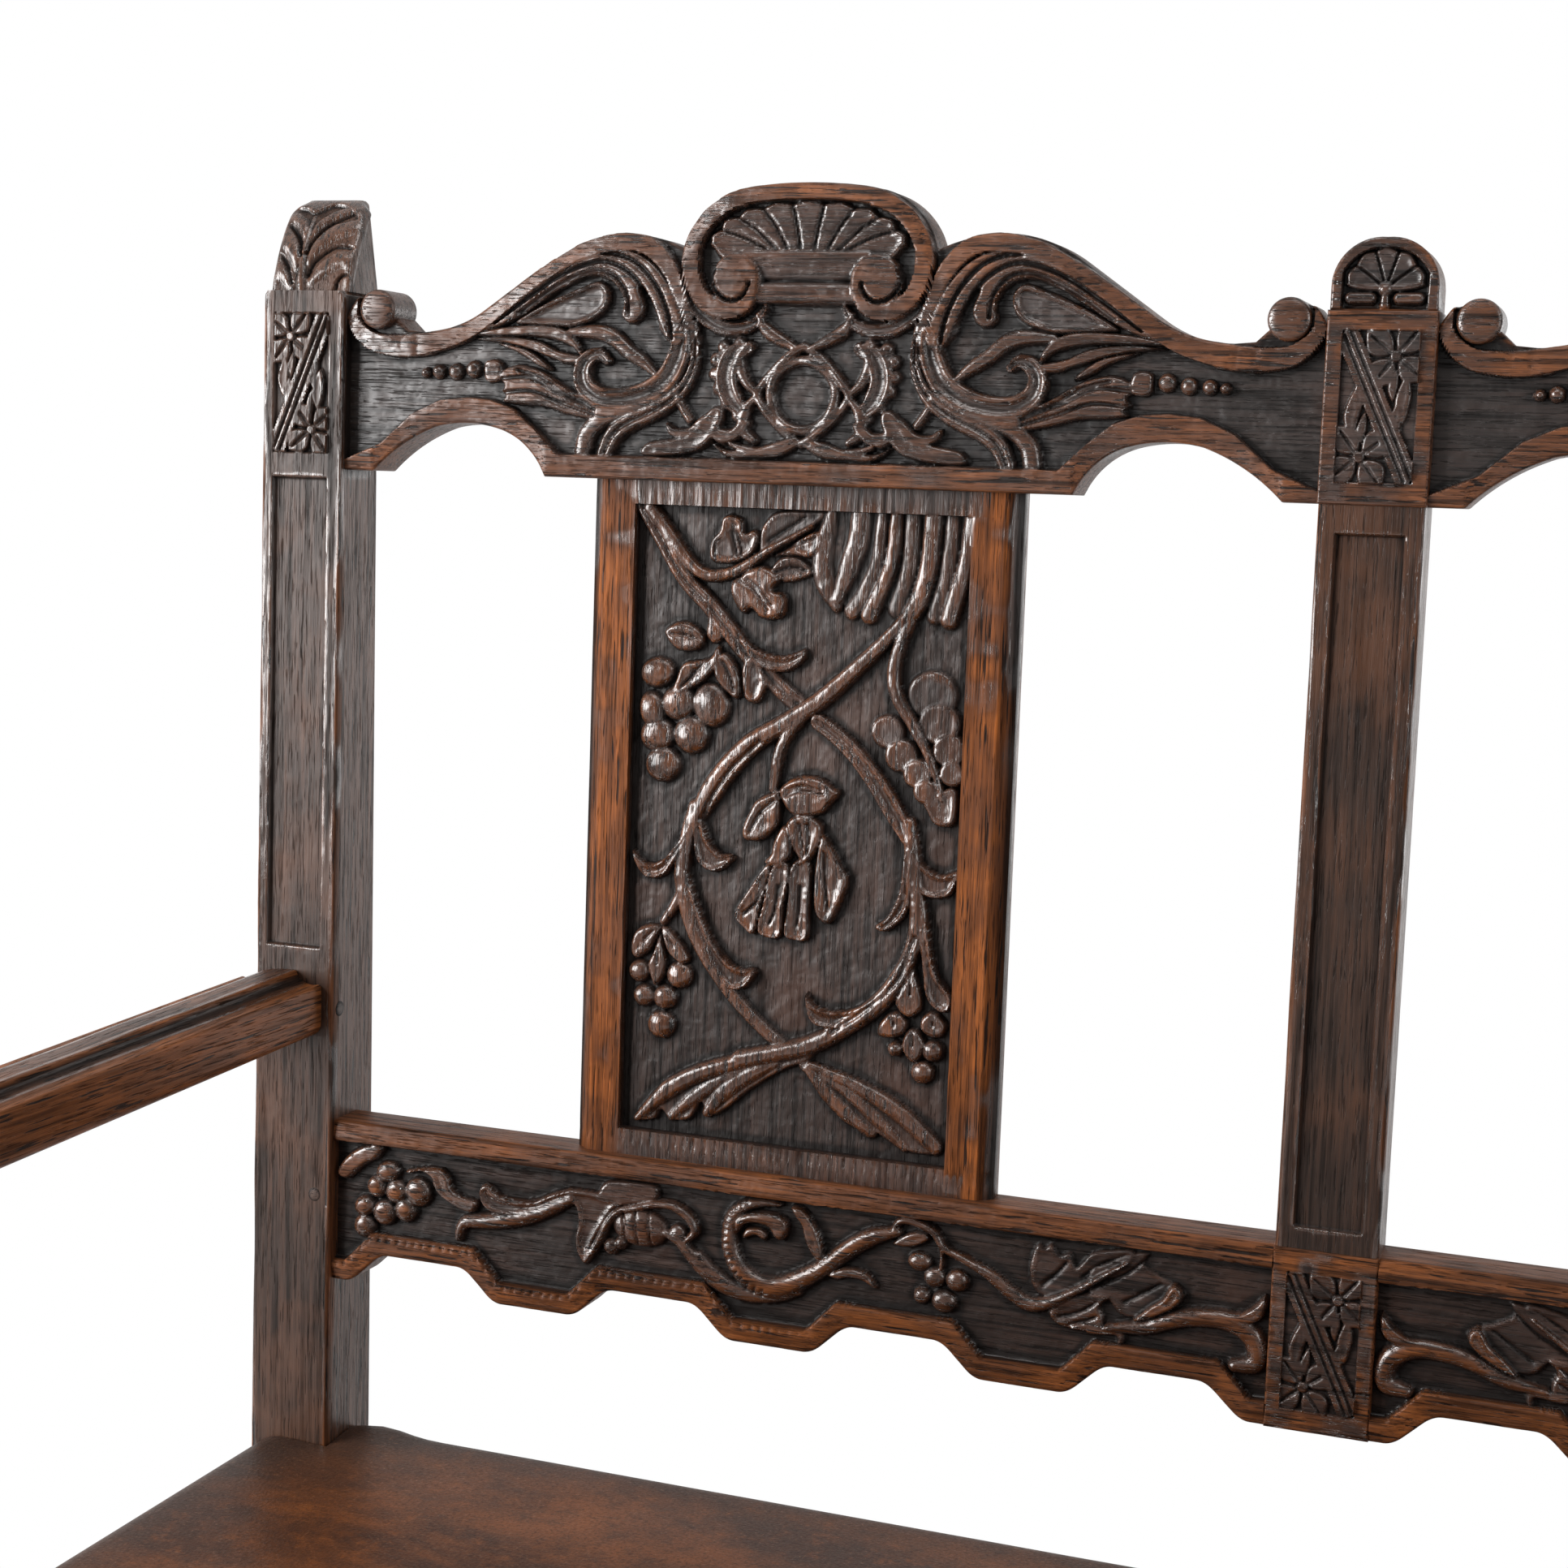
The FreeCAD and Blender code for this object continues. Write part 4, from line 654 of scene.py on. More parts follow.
def carve_grapes_and_leaf(wood):
    """Bunch of grapes under its leaves on the left, and the vine leaf of overlapping lobes on the right."""
    at = drawing(*UPPER_SHEET)
    wood.leaf(at((268, 560), (300, 528), (350, 518), (400, 540), (422, 575), (405, 610), (360, 622),
                 (310, 612)), 4.8, 2.6, 0, (at((300, 562), (350, 562), (405, 578)),))
    wood.leaf(at((472, 594), (430, 640), (345, 662), (318, 720), (308, 758), (352, 762), (405, 735),
                 (455, 690), (482, 635)), 4.8, 2, 0.8, (at((455, 625), (400, 680), (340, 745)),))
    wood.leaf(at((462, 640), (500, 618), (545, 668), (562, 740), (546, 776), (492, 742), (458, 692)), 4.6, 2,
              0.8, (at((490, 650), (515, 690), (535, 750)),))
    wood.leaf(at((562, 660), (580, 628), (622, 640), (652, 690), (656, 722), (626, 782), (576, 772),
                 (560, 705)), 4.2, 2, 1)
    for x, y, radius, squash in ((248, 700, 58, 0.82), (232, 832, 44, 1.35), (330, 802, 60, 0.92),
                                 (450, 802, 62, 1.12), (255, 916, 60, 0.88), (380, 908, 60, 1),
                                 (278, 1018, 60, 0.92)):
        wood.dome(at((x, y))[0], radius / 6.1, 5.9, squash, 0.25)
    lobes = (((1244, 722), 90, 2.4), ((1094, 852), 62, 2.8), ((1274, 816), 78, 3.3), ((1146, 930), 62, 3.7),
             ((1314, 902), 64, 4.2), ((1206, 986), 56, 4.6), ((1328, 978), 50, 5), ((1238, 1044), 48, 5.4))
    turns = np.linspace(0, 2 * math.pi, 18, endpoint=False)
    for centre, radius, top in lobes:
        oval = np.array(centre) + radius * np.stack([np.cos(turns), 0.95 * np.sin(turns)], -1)
        wood.leaf(at(*oval), top, 2.4, 0.2)
    wood.leaf(at((1232, 1082), (1275, 1045), (1330, 1022), (1352, 1050), (1346, 1140), (1310, 1160),
                 (1268, 1150), (1244, 1112)), 5.2, 2, 0.8)
    wood.ridge(at((1160, 480), (1124, 560), (1108, 650), (1122, 730), (1180, 820), (1240, 920), (1280, 1010),
                  (1300, 1070)), (2.8, 3.6, 3.8, 3.6, 3.2, 2.6, 2.2, 1.4),
               (4.8, 5.4, 5.8, 5.8, 5.8, 5.8, 5.8), across_full)
    wood.leaf(at((712, 1085), (740, 1045), (800, 1020), (860, 1025), (912, 1054), (934, 1072), (906, 1112),
                 (870, 1150), (800, 1166), (750, 1150)), 5.4, 3, 0,
              (at((742, 1092), (800, 1072), (880, 1080)), at((745, 1075), (800, 1058), (870, 1066))))
    wood.leaf(at((718, 1082), (680, 1090), (630, 1118), (602, 1165), (582, 1222), (592, 1258), (645, 1260),
                 (692, 1228), (722, 1180)), 5.2, 2.4, 0.4, (at((700, 1115), (650, 1160), (615, 1225)),))


# %% Vine of the lower half of a panel
def carve_vine_low(wood):
    """Stems and hooked shoots of the lower half, which cross and end in two fans of fronds."""
    at = drawing(*LOWER_SHEET)
    wood.ridge(at((404, -30), (376, 90), (362, 220), (392, 350), (450, 470), (540, 590), (640, 690),
                  (740, 765), (840, 815)), (4.2, 4.4, 4.4, 4.4, 4.4, 4, 3.8, 3.8, 3.8),
               (4.6, 5, 5.2, 5, 4.6, 4.2, 3.6, 2.8), across_full)
    wood.ridge(at((1180, -30), (1212, 150), (1225, 300), (1205, 420), (1120, 570), (990, 680), (860, 762),
                  (720, 808), (600, 842)), (4.2, 4.3, 4.4, 4.6, 5, 5, 5, 5, 5),
               (4.6, 5.2, 5.4, 5.6, 5.8, 5.8, 5.6), across_full)
    wood.groove(at((1222, 350), (1170, 500), (1060, 615), (940, 705)), 1.3, 1.5)
    shoots = (((400, 10), (350, 85), (290, 160), (230, 180), (178, 138), (176, 160), (200, 206), (240, 234),
               (300, 217), (346, 155), (392, 75)),
              ((412, 10), (440, 30), (462, 80), (500, 120), (556, 132), (532, 168), (492, 189), (448, 182),
               (413, 142), (402, 60)),
              ((1178, -20), (1215, 68), (1260, 114), (1310, 130), (1372, 108), (1372, 130), (1342, 196),
               (1290, 214), (1238, 202), (1202, 150), (1182, 60)),
              ((1172, 60), (1200, 60), (1203, 180), (1196, 252), (1168, 304), (1110, 344), (1078, 326),
               (1120, 288), (1158, 200)),
              ((1248, 215), (1276, 350), (1304, 468), (1362, 540), (1356, 586), (1320, 599), (1274, 562),
               (1254, 480), (1238, 330)),
              ((834, 582), (870, 620), (930, 633), (1010, 618), (1100, 555), (1150, 480), (1130, 560),
               (1060, 640), (1000, 684), (940, 698), (880, 692), (848, 662)),
              ((378, 170), (410, 260), (470, 400), (540, 490), (590, 518), (652, 520), (628, 572),
               (592, 596), (540, 585), (450, 480), (392, 360), (368, 250)))
    for outline in shoots:
        wood.leaf(at(*outline), 5.4, 1.5, 2.2)
    wood.leaf(at((868, 770), (740, 790), (600, 835), (430, 895), (300, 990), (208, 1092), (228, 1104),
                 (290, 1090), (312, 1056), (345, 1088), (420, 1076), (462, 1012), (474, 1052), (500, 1055),
                 (550, 1030), (640, 950), (760, 865), (860, 815)), 3.4, 1.4, 0.4)
    wood.leaf(at((850, 822), (950, 848), (1080, 888), (1200, 950), (1338, 1045), (1322, 1092), (1236, 1096),
                 (1216, 1088), (1190, 1086), (1112, 1046), (1086, 1066), (1030, 1036), (960, 985),
                 (900, 905), (820, 846)), 3.2, 1.4, 0.4)
    fronds = ((((760, 790), (600, 850), (440, 915), (330, 985), (222, 1092)), (3.4, 4.4, 5, 5.2, 2.2), 5.6),
              (((700, 835), (560, 905), (440, 990), (352, 1072)), (2, 3.4, 4.4, 2.6), 4.6),
              (((740, 835), (620, 905), (540, 970), (486, 1044)), (3, 4.6, 5.2, 3), 5),
              (((860, 832), (1040, 890), (1190, 965), (1322, 1066)), (2, 4, 5, 4.4), 5),
              (((860, 842), (990, 905), (1110, 990), (1212, 1078)), (2, 3.6, 4.4, 2.8), 4.4),
              (((850, 846), (930, 925), (1010, 992), (1095, 1046)), (2.4, 4.4, 4.8, 2.4), 4.6))
    for points, half, top in fronds:
        wood.ridge(at(*points), half, (0.8 * top, top, top, 0.9 * top), across_full)


def carve_flower_and_fruit(wood):
    """Hanging flower with three long flutes, and the small fruits with their leaves on both sides."""
    at = drawing(*LOWER_SHEET)
    flutes = (((674, 150), (620, 230), (564, 330), (598, 376), (640, 393), (664, 290), (696, 160)),
              ((700, 150), (666, 290), (650, 380), (692, 404), (740, 391), (746, 290), (768, 150)),
              ((770, 140), (756, 290), (748, 385), (792, 404), (838, 391), (842, 290), (838, 130)))
    for outline in flutes:
        head, foot = np.mean(outline[:2], axis=0), np.mean(outline[2:5], axis=0)
        vein = at(head + (40, 0), 0.5 * (head + foot) + (22, 0), foot - (0, 40))
        wood.leaf(at(*outline), 4.8, 1.4, 1.2, (vein,))
    wood.leaf(at((875, 28), (858, 100), (850, 200), (856, 290), (880, 326), (916, 332), (952, 262),
                 (976, 180), (950, 128), (905, 58)), 5, 2, 0.8, (at((884, 90), (892, 190), (908, 285)),))
    wood.leaf(at((735, 5), (700, 60), (690, 110), (666, 140), (700, 154), (742, 141), (772, 108), (766, 40)),
              5.2, 2.4, 0.4)
    wood.leaf(at((742, 0), (764, 70), (782, 105), (816, 138), (848, 110), (874, 50), (872, -10), (800, -40)),
              5.6, 2.6, 0.4, (at((795, 0), (805, 50), (815, 110)), at((825, 0), (830, 50), (825, 100))))
    wood.ridge(at((372, 220), (350, 300), (296, 382)), (3, 3, 2), (5, 4.6, 3.8), across_full)
    leaves = (((286, 396), (230, 400), (190, 430), (176, 492), (200, 522), (250, 492), (276, 440)),
              ((290, 396), (340, 420), (386, 470), (402, 512), (370, 527), (320, 492), (298, 440)),
              ((284, 420), (264, 490), (244, 540), (264, 602), (280, 614), (306, 582), (316, 530),
               (302, 470)),
              ((1215, 436), (1194, 500), (1158, 570), (1174, 612), (1215, 630), (1252, 602), (1257, 560),
               (1236, 490)),
              ((1150, 612), (1108, 655), (1102, 700), (1150, 708), (1195, 690), (1208, 650), (1190, 622)),
              ((1300, 598), (1258, 620), (1252, 662), (1290, 690), (1332, 682), (1344, 640)),
              ((1226, 660), (1192, 700), (1192, 745), (1228, 785), (1262, 760), (1268, 700)))
    for outline in leaves:
        wood.leaf(at(*outline), 5, 2.4, 0.3, (at(outline[0], np.mean(outline, axis=0)),))
    for x, y, radius in ((212, 566, 38), (364, 566, 46), (232, 652, 38), (312, 650, 42), (300, 748, 48),
                         (1166, 742, 26), (1298, 736, 36), (1265, 812, 38)):
        wood.dome(at((x, y))[0], radius / 6.2, 5.6, 0.95, 0.3)


# %% Panel boards
PANEL_HALF, BEVEL_WIDE, BEVEL_DROP, PANEL_GRID = 110.0, 7.3, 6.0, 0.86
PANEL_CARVING = (carve_top_leaves, carve_vine_top, carve_fan, carve_grapes_and_leaf, carve_vine_low,
                 carve_flower_and_fruit)


def carved_panel():
    """Panel of the left bay: a flat border with bevelled sides, and the vine standing in the sunk field."""
    edge = graded((0, 1.2, 0.4), (1.2, BEVEL_WIDE, 3.0), (BEVEL_WIDE, 8.2, 0.45), (8.2, 23.6, 1.9),
                  (23.6, 24.0, 0.4))
    field = graded((-FIELD_HALF, FIELD_HALF, PANEL_GRID))
    across = np.unique(np.concatenate([edge - PANEL_HALF, PANEL_HALF - edge, field]))
    rise = graded((SPLAT_LOW, SPLAT_LOW + 1, 0.5), (SPLAT_LOW + 1, FIELD_LOW - 0.4, 1.4),
                  (FIELD_LOW - 0.4, FIELD_LOW, 0.4), (FIELD_LOW, FIELD_HIGH, PANEL_GRID),
                  (FIELD_HIGH, FIELD_HIGH + 0.4, 0.4), (FIELD_HIGH + 0.4, SPLAT_HIGH, 1.4))
    x, z = np.meshgrid(across, rise)
    wood = Carving(x, z)
    for carve in PANEL_CARVING:
        carve(wood)
    wood.tooled(5, 0.26)
    handled = 0.12 * smooth_step(2.2, 3.8, wood.height)
    inside = (np.abs(x) <= FIELD_HALF) & (z >= FIELD_LOW) & (z <= FIELD_HIGH)
    bevel = np.clip((np.abs(x) - PANEL_HALF + BEVEL_WIDE) / BEVEL_WIDE, 0, 1) * BEVEL_DROP
    plain = 0.10 * lattice_noise(x, z / 9, 2.2, 8) - bevel
    hatched = 0.16 * lattice_noise(x, z / 14, 1.7, 12) * ((z < FIELD_LOW) | (z > FIELD_HIGH))
    nicks = smooth_step(0.0, 0.8, np.sin(1.25 * x + 2.4 * lattice_noise(x, z / 40, 8, 15)))
    hatched = hatched - 0.6 * nicks * np.exp(-((FIELD_LOW - 4.0 - z) / 3.2) ** 2)
    wood.height = np.where(inside, wood.height - FIELD_DEPTH, plain + hatched)
    wear, hollow = wood.worn_and_hollow()
    border = 0.56 + 0.3 * lattice_noise(x, z / 2, 26, 3) + 0.2 * lattice_noise(x, z / 4, 6, 4)
    stained = lattice_noise(x, z / 3, 30, 21) + 0.7 * smooth_step(FIELD_HIGH - 60, FIELD_HIGH + 5, z)
    border = border * (1 - 0.85 * smooth_step(0.35, 0.65, stained))
    border = np.where(inside, 0, border) * (np.abs(x) > FIELD_HALF)
    ends = 1 - 0.8 * (1 - smooth_step(FIELD_HALF - 4, FIELD_HALF + 6, np.abs(x)))
    wear = np.where(inside, np.maximum(0.35 * wear, handled), np.maximum(ends * wear, border))
    # Painted shade: the deep ground of the field and the bevelled edges get more hollow, so they are darker.
    hollow = np.clip(hollow + np.where(inside, 0.25 * (wood.height < -4.5), 0.1 * bevel), 0, 1)
    y = SPLAT_FRONT - wood.height
    return board_shell(x - SPLAT_CENTRE, y, z, SPLAT_BACK, np.clip(wear, 0, 1), hollow, 0.46)


panel = make_piece("carved_panel_left", carved_panel(), oak_panel, ["splat_left"])
mirrored_piece("carved_panel_right", panel, ["splat_right"])

# %% [markdown]
# ## The crest rail
# The top rail was sawn to its outline first: a dome over each panel, an S-shaped slope down to a scroll at
# each end, and an arch below. The ground was then sunk and the leaves left standing. A boolean cut could give
# the outline, but here the grid's columns run from the lower outline to the upper one, so its rows follow both
# edges cleanly. One bay is carved, and the other is its mirror.

# %% Outlines of the crest
BAY, BAY_HALF = 270.35, 246.35
RAIL_FRONT, RAIL_BACK, RELIEF = 207.0, 232.0, 6.0
CREST_LOW, CREST_SHEET = 964.3, ((-BAY_HALF - 3.3, 1120), 6)


def arc(first, middle, last, count=14):
    """Points of the circle through three places: its centre is equally far from all three."""
    a, b, c = (complex(*place) for place in (first, middle, last))
    w = (c - a) / (b - a)
    centre = (b - a) * (w - abs(w) ** 2) / (2j * w.imag) + a
    turns = np.unwrap([np.angle(place - centre) for place in (a, b, c)])
    swept = centre + abs(a - centre) * np.exp(1j * np.linspace(turns[0], turns[2], count))
    return np.stack([swept.real, swept.imag], -1)


CREST_TOP = np.vstack([arc((0, 1107), (18.5, 1106.2), (37, 1103.6)),
                       arc((37, 1103.6), (55, 1092.5), (63.5, 1076)),
                       arc((63.5, 1076), (78.5, 1081.2), (95.4, 1083.5)),
                       arc((95.4, 1083.5), (114.2, 1080.6), (131.3, 1072.2)),
                       arc((168.8, 1045.9), (185.8, 1037.5), (204.6, 1034.6)),
                       [(214, 1035.4), (221, 1042), (229, 1050), (236, 1052.5), (241, 1051), (244, 1047),
                        (246.35, 1043)]])
CREST_UNDER = np.vstack([[(0, 964.3)], arc((134.5, 964.3), (144.5, 978.5), (162, 987.6)),
                         arc((162, 987.6), (177, 989.5), (194, 987.6)),
                         arc((194, 987.6), (213, 978.5), (230.5, 964.3)), [(246.35, 964.3)]])


def outline_at(curve, v):
    """Level of an outline at places v on either side of the bay's middle."""
    rising = np.maximum.accumulate(curve[:, 0]) + np.arange(len(curve)) * 1e-4
    return np.interp(np.abs(v), rising, curve[:, 1])


def between(v, low, high, rows):
    """Grid whose columns run between two outlines, with rows closer at both ends for the rounded arris."""
    even = np.linspace(0, 1, rows)
    share = np.unique(np.concatenate([even, [0.003, 0.008, 0.014, 0.986, 0.992, 0.997]]))
    z = low[None, :] + share[:, None] * (high - low)[None, :]
    return np.broadcast_to(v, z.shape).copy(), z


def arris_drop(distance, radius):
    """Fall of a rounded arris below its face: a quarter circle of the radius, by distance to the edge."""
    inward = np.clip(radius - distance, 0, radius)
    return radius - np.sqrt(radius ** 2 - inward ** 2)


def edge_distance(v, z, low, high):
    """Distance to the nearer outline: the upright gap times the cosine of its slope, held to 1.5."""
    slope_low, slope_high = (np.clip(np.gradient(line, v[0]), -1.5, 1.5) for line in (low, high))
    return np.minimum((z - low) / np.hypot(1, slope_low), (high - z) / np.hypot(1, slope_high))


# %% Acanthus of half a bay
def carve_acanthus(wood, mirror):
    """Leaf that grows from the end scroll over the hump: a solid mass parted into ribs by grooves, and a
    hollow inner leaf."""
    at = drawing(*CREST_SHEET, mirror)
    wood.leaf(at((430, 520), (560, 438), (680, 352), (780, 296), (860, 268), (945, 268), (1015, 298),
                 (1074, 360), (1114, 438), (1138, 510), (1112, 547), (1076, 532), (1046, 500), (1032, 452),
                 (1008, 402), (984, 378), (1002, 432), (990, 468), (958, 482), (928, 460), (934, 420),
                 (914, 380), (880, 354), (830, 347), (760, 370), (680, 416), (600, 466), (520, 502)), 5.4,
              1.6)
    for points in (((470, 490), (600, 402), (700, 330), (800, 286), (895, 280), (975, 308), (1036, 370),
                    (1076, 450), (1092, 530)),
                   ((520, 482), (640, 402), (740, 340), (840, 306), (905, 310), (965, 346), (1012, 405),
                    (1042, 470), (1066, 522)),
                   ((600, 455), (700, 388), (790, 344), (858, 330), (908, 348), (944, 395), (952, 452))):
        wood.groove(at(*points), 1.25, 2.6)
    wood.ridge(at((190, 556), (260, 552), (345, 535), (430, 505), (520, 450), (640, 365), (730, 310),
                  (820, 268), (930, 246), (1010, 260), (1075, 318), (1115, 400), (1150, 490)),
               (5.6, 5.8, 5.4, 4.8, 4.2, 3.8, 3.8, 4.2, 4.6, 4.8, 4.6, 3.6, 2.4),
               (4.6, 6, 6, 6, 6, 6, 6, 6, 6, 5.8, 5.4, 5.2, 4.8), across_flat)
    wood.ridge(at((300, 552), (240, 556), (180, 556), (112, 546), (62, 512), (38, 470), (40, 428), (56, 398)),
               (5.4, 5.8, 5.8, 5.2, 4.6, 4, 3.4, 2), (4.4, 6, 6, 6, 5.8, 5.6, 5.2, 4.6), across_flat)
    wood.leaf(at((585, 480), (680, 425), (780, 382), (850, 360), (882, 378), (889, 410), (874, 446),
                 (836, 474), (770, 494), (700, 492), (640, 490)), 5, 1.7, 2.2)


def carve_fronds(wood, mirror):
    """Fronds below the hump, the C-scroll they join, the ribs that run down beside it, beads and the
    leaves at the foot."""
    at = drawing(*CREST_SHEET, mirror)
    for outline in (((420, 522), (540, 496), (660, 488), (742, 498), (792, 535), (804, 580), (770, 552),
                     (720, 534), (640, 524), (540, 524)),
                    ((450, 532), (560, 522), (660, 534), (730, 564), (802, 578), (806, 594), (760, 602),
                     (700, 584), (620, 558), (540, 542)),
                    ((520, 542), (620, 558), (680, 592), (708, 622), (660, 608), (600, 574))):
        wood.leaf(at(*outline), 5.2, 1.5, 0.3)
    wood.leaf(at((546, 622), (600, 605), (680, 624), (760, 670), (840, 704), (920, 726), (955, 745),
                 (860, 764), (760, 748), (680, 728), (600, 724), (548, 716), (556, 700), (540, 688),
                 (552, 668), (538, 650)), 5.2, 1.7)
    for points in (((545, 648), (640, 644), (740, 690), (850, 732)),
                   ((545, 690), (650, 684), (750, 718), (850, 748)),
                   ((600, 622), (680, 645), (760, 690), (840, 716))):
        wood.groove(at(*points), 1.1, 2)
    wood.ridge(at((765, 508), (850, 506), (905, 524), (950, 560), (1000, 592), (1036, 622)),
               (2.4, 3.6, 4.2, 4, 3.6, 2), (4.6, 5.2, 5.2, 4.6), across_full)
    wood.ridge(at((885, 590), (860, 572), (826, 584), (806, 622), (822, 670), (884, 702), (980, 694),
                  (1066, 650), (1110, 580), (1124, 505)), (2.4, 4.4, 5.4, 5.8, 6, 6.2, 6.4, 6.6, 6.4, 4.6),
               (5, 5.6, 5.8, 5.8, 5.8, 5.8), across_hollow)
    wood.ridge(at((1158, 480), (1166, 560), (1150, 630), (1108, 688), (1040, 732), (960, 768), (912, 804),
                  (884, 858)), (2.2, 2.6, 3.2, 4, 4.6, 4.8, 5, 4.4), (4.6, 5, 5.2, 5.4, 5.6, 5.6, 5.2),
               across_twin)
    wood.ridge(at((1010, 716), (930, 738), (870, 762), (826, 802), (812, 856)), (2.4, 4, 4.6, 5, 5),
               (5, 5.4, 5.4, 5.2, 4.8), across_full)
    wood.ridge(at((1108, 672), (1122, 712), (1152, 756)), (1.8, 2.4, 2.4), 4.6)
    for outline in (((1006, 862), (1016, 826), (1090, 810), (1150, 794), (1188, 754), (1222, 718),
                     (1254, 718), (1260, 748), (1238, 796), (1192, 840), (1110, 860)),
                    ((1078, 762), (1112, 780), (1150, 776), (1180, 750), (1206, 738), (1190, 790),
                     (1140, 812), (1088, 800)),
                    ((1212, 795), (1250, 822), (1300, 812), (1336, 780), (1342, 752), (1310, 752),
                     (1280, 778), (1240, 775)),
                    ((1215, 812), (1270, 838), (1350, 832), (1430, 808), (1492, 796), (1440, 838),
                     (1350, 860), (1270, 858))):
        wood.leaf(at(*outline), 5.2, 1.8, 0.4)
    for x, y, radius in ((285, 635, 16), (328, 632, 22), (385, 630, 25), (445, 622, 27)):
        wood.dome(at((x, y))[0], radius / 6, 4.8)
    wood.leaf(at((486, 598), (538, 598), (544, 652), (490, 656)), 4.6, 1.6)


def carve_side_leaf(wood, mirror):
    """Serrated leaf beside the middle strapwork: a bowed blade with round lobes along its outer edge."""
    at = drawing(*CREST_SHEET, mirror)
    wood.ridge(at((1330, 545), (1280, 570), (1262, 630), (1280, 690), (1325, 735)), (3.2, 5.8, 6.2, 6, 2.6),
               (4.6, 5, 5, 4.4), across_hollow)
    for x, y in ((1300, 535), (1250, 545), (1228, 580), (1225, 622), (1238, 662), (1265, 705), (1300, 738)):
        wood.dome(at((x, y))[0], 3.6, 4.2)


# %% Dome shell and the strapwork under it
def carve_dome(wood):
    """Rim of the dome with its two volutes, the shell of nine lobes and the moulded neck below it."""
    turns = np.linspace(0, 2 * math.pi, 16, endpoint=False)
    fan = np.radians(np.linspace(-84, 84, 37))
    scallop = 1 + 0.025 * np.cos(18 * fan * 90 / 84)
    wood.leaf(np.vstack([np.stack([50 * scallop * np.sin(fan), 1071 + 27 * scallop * np.cos(fan) ** 0.7], -1),
                         [(32, 1067), (-32, 1067)]]), 4.8, 1.8, 0.9)
    for turn in np.radians(np.linspace(-67, 67, 8)):
        tip = (50 * math.sin(turn), 1071 + 27 * math.cos(turn) ** 0.7)
        waist = (0.55 * tip[0] + 7 * math.sin(turn), 0.55 * tip[1] + 484)
        wood.groove(((19 * math.sin(turn), 1074), waist, tip), 0.85, 1.7)
    for side in (-1, 1):
        rim = np.array([(0, 1102.6), (-20, 1101.8), (-37, 1098.6), (-50.5, 1089.5), (-58.2, 1076),
                        (-57.8, 1062), (-51, 1051), (-40, 1046.2), (-30, 1049), (-25.6, 1057)]) * (side, 1)
        wood.ridge(rim, (4.4, 4.4, 4.4, 4.4, 4.4, 4.6, 4.8, 4.6, 4, 2.4), 6.4, across_flat)
        lower = np.array([(-61, 1064), (-57, 1049), (-46, 1040), (-35, 1037.8), (-25, 1041),
                          (-20, 1048)]) * (side, 1)
        wood.ridge(lower, (1.6, 3.4, 4, 3.8, 3.2, 1.6), 4.8, across_hollow)
        hub = np.array((side * 35.4, 1060.6))
        wood.leaf(hub + 13.4 * np.stack([np.cos(turns), np.sin(turns)], -1), 6.2, 2)
        curl = np.radians(np.linspace(150, 350, 11))
        spiral = np.linspace(12.6, 7, 11)[:, None] * np.stack([-side * np.cos(curl), np.sin(curl)], -1)
        wood.groove(hub + spiral, 1.1, 3.2)
    for level, half, wide, top in ((1072.6, 3, 31, 5.2), (1065.2, 4.6, 27, 3.8), (1055, 5.6, 25, 5.2)):
        wood.ridge(((-wide, level), (wide, level)), half, top, across_full, False)


STRAP_LEVEL = 1007


def carve_strapwork(wood):
    """Ring laced through a lozenge: where they cross, one rides high while the other dips, turn by turn."""
    turns = np.linspace(0, 2 * math.pi, 97)
    ring = np.stack([16.5 * np.cos(turns), STRAP_LEVEL + 16.5 * np.sin(turns)], -1)
    lace = np.cos(4 * turns + math.pi / 2)
    wood.ridge(ring, 2.7, 4.4 + 0.9 * lace, across_full, False)
    reach = 22.5 / (np.abs(np.cos(turns)) ** 1.25 + np.abs(np.sin(turns)) ** 1.25) ** 0.8
    lozenge = np.stack([1.04 * reach * np.cos(turns), STRAP_LEVEL + 1.02 * reach * np.sin(turns)], -1)
    wood.ridge(lozenge, 2.4, 4.4 - 0.9 * lace, across_full, False)
    for side in (-1, 1):
        for points, half in ((((3, 1029), (12, 1033), (20, 1038), (24, 1045)), (1.4, 3, 3.6, 1.2)),
                             (((23, 1007), (30, 1014), (33, 1024), (28, 1031)), (1.6, 3, 3.4, 1.6)),
                             (((23, 1007), (29, 999), (30, 990), (24, 985)), (1.6, 3, 3.6, 2)),
                             (((2, 984), (12, 980), (24, 979.6), (36, 983)), (1.6, 3, 3, 1.2))):
            wood.ridge(np.array(points) * (side, 1), half, 4.6, across_full)


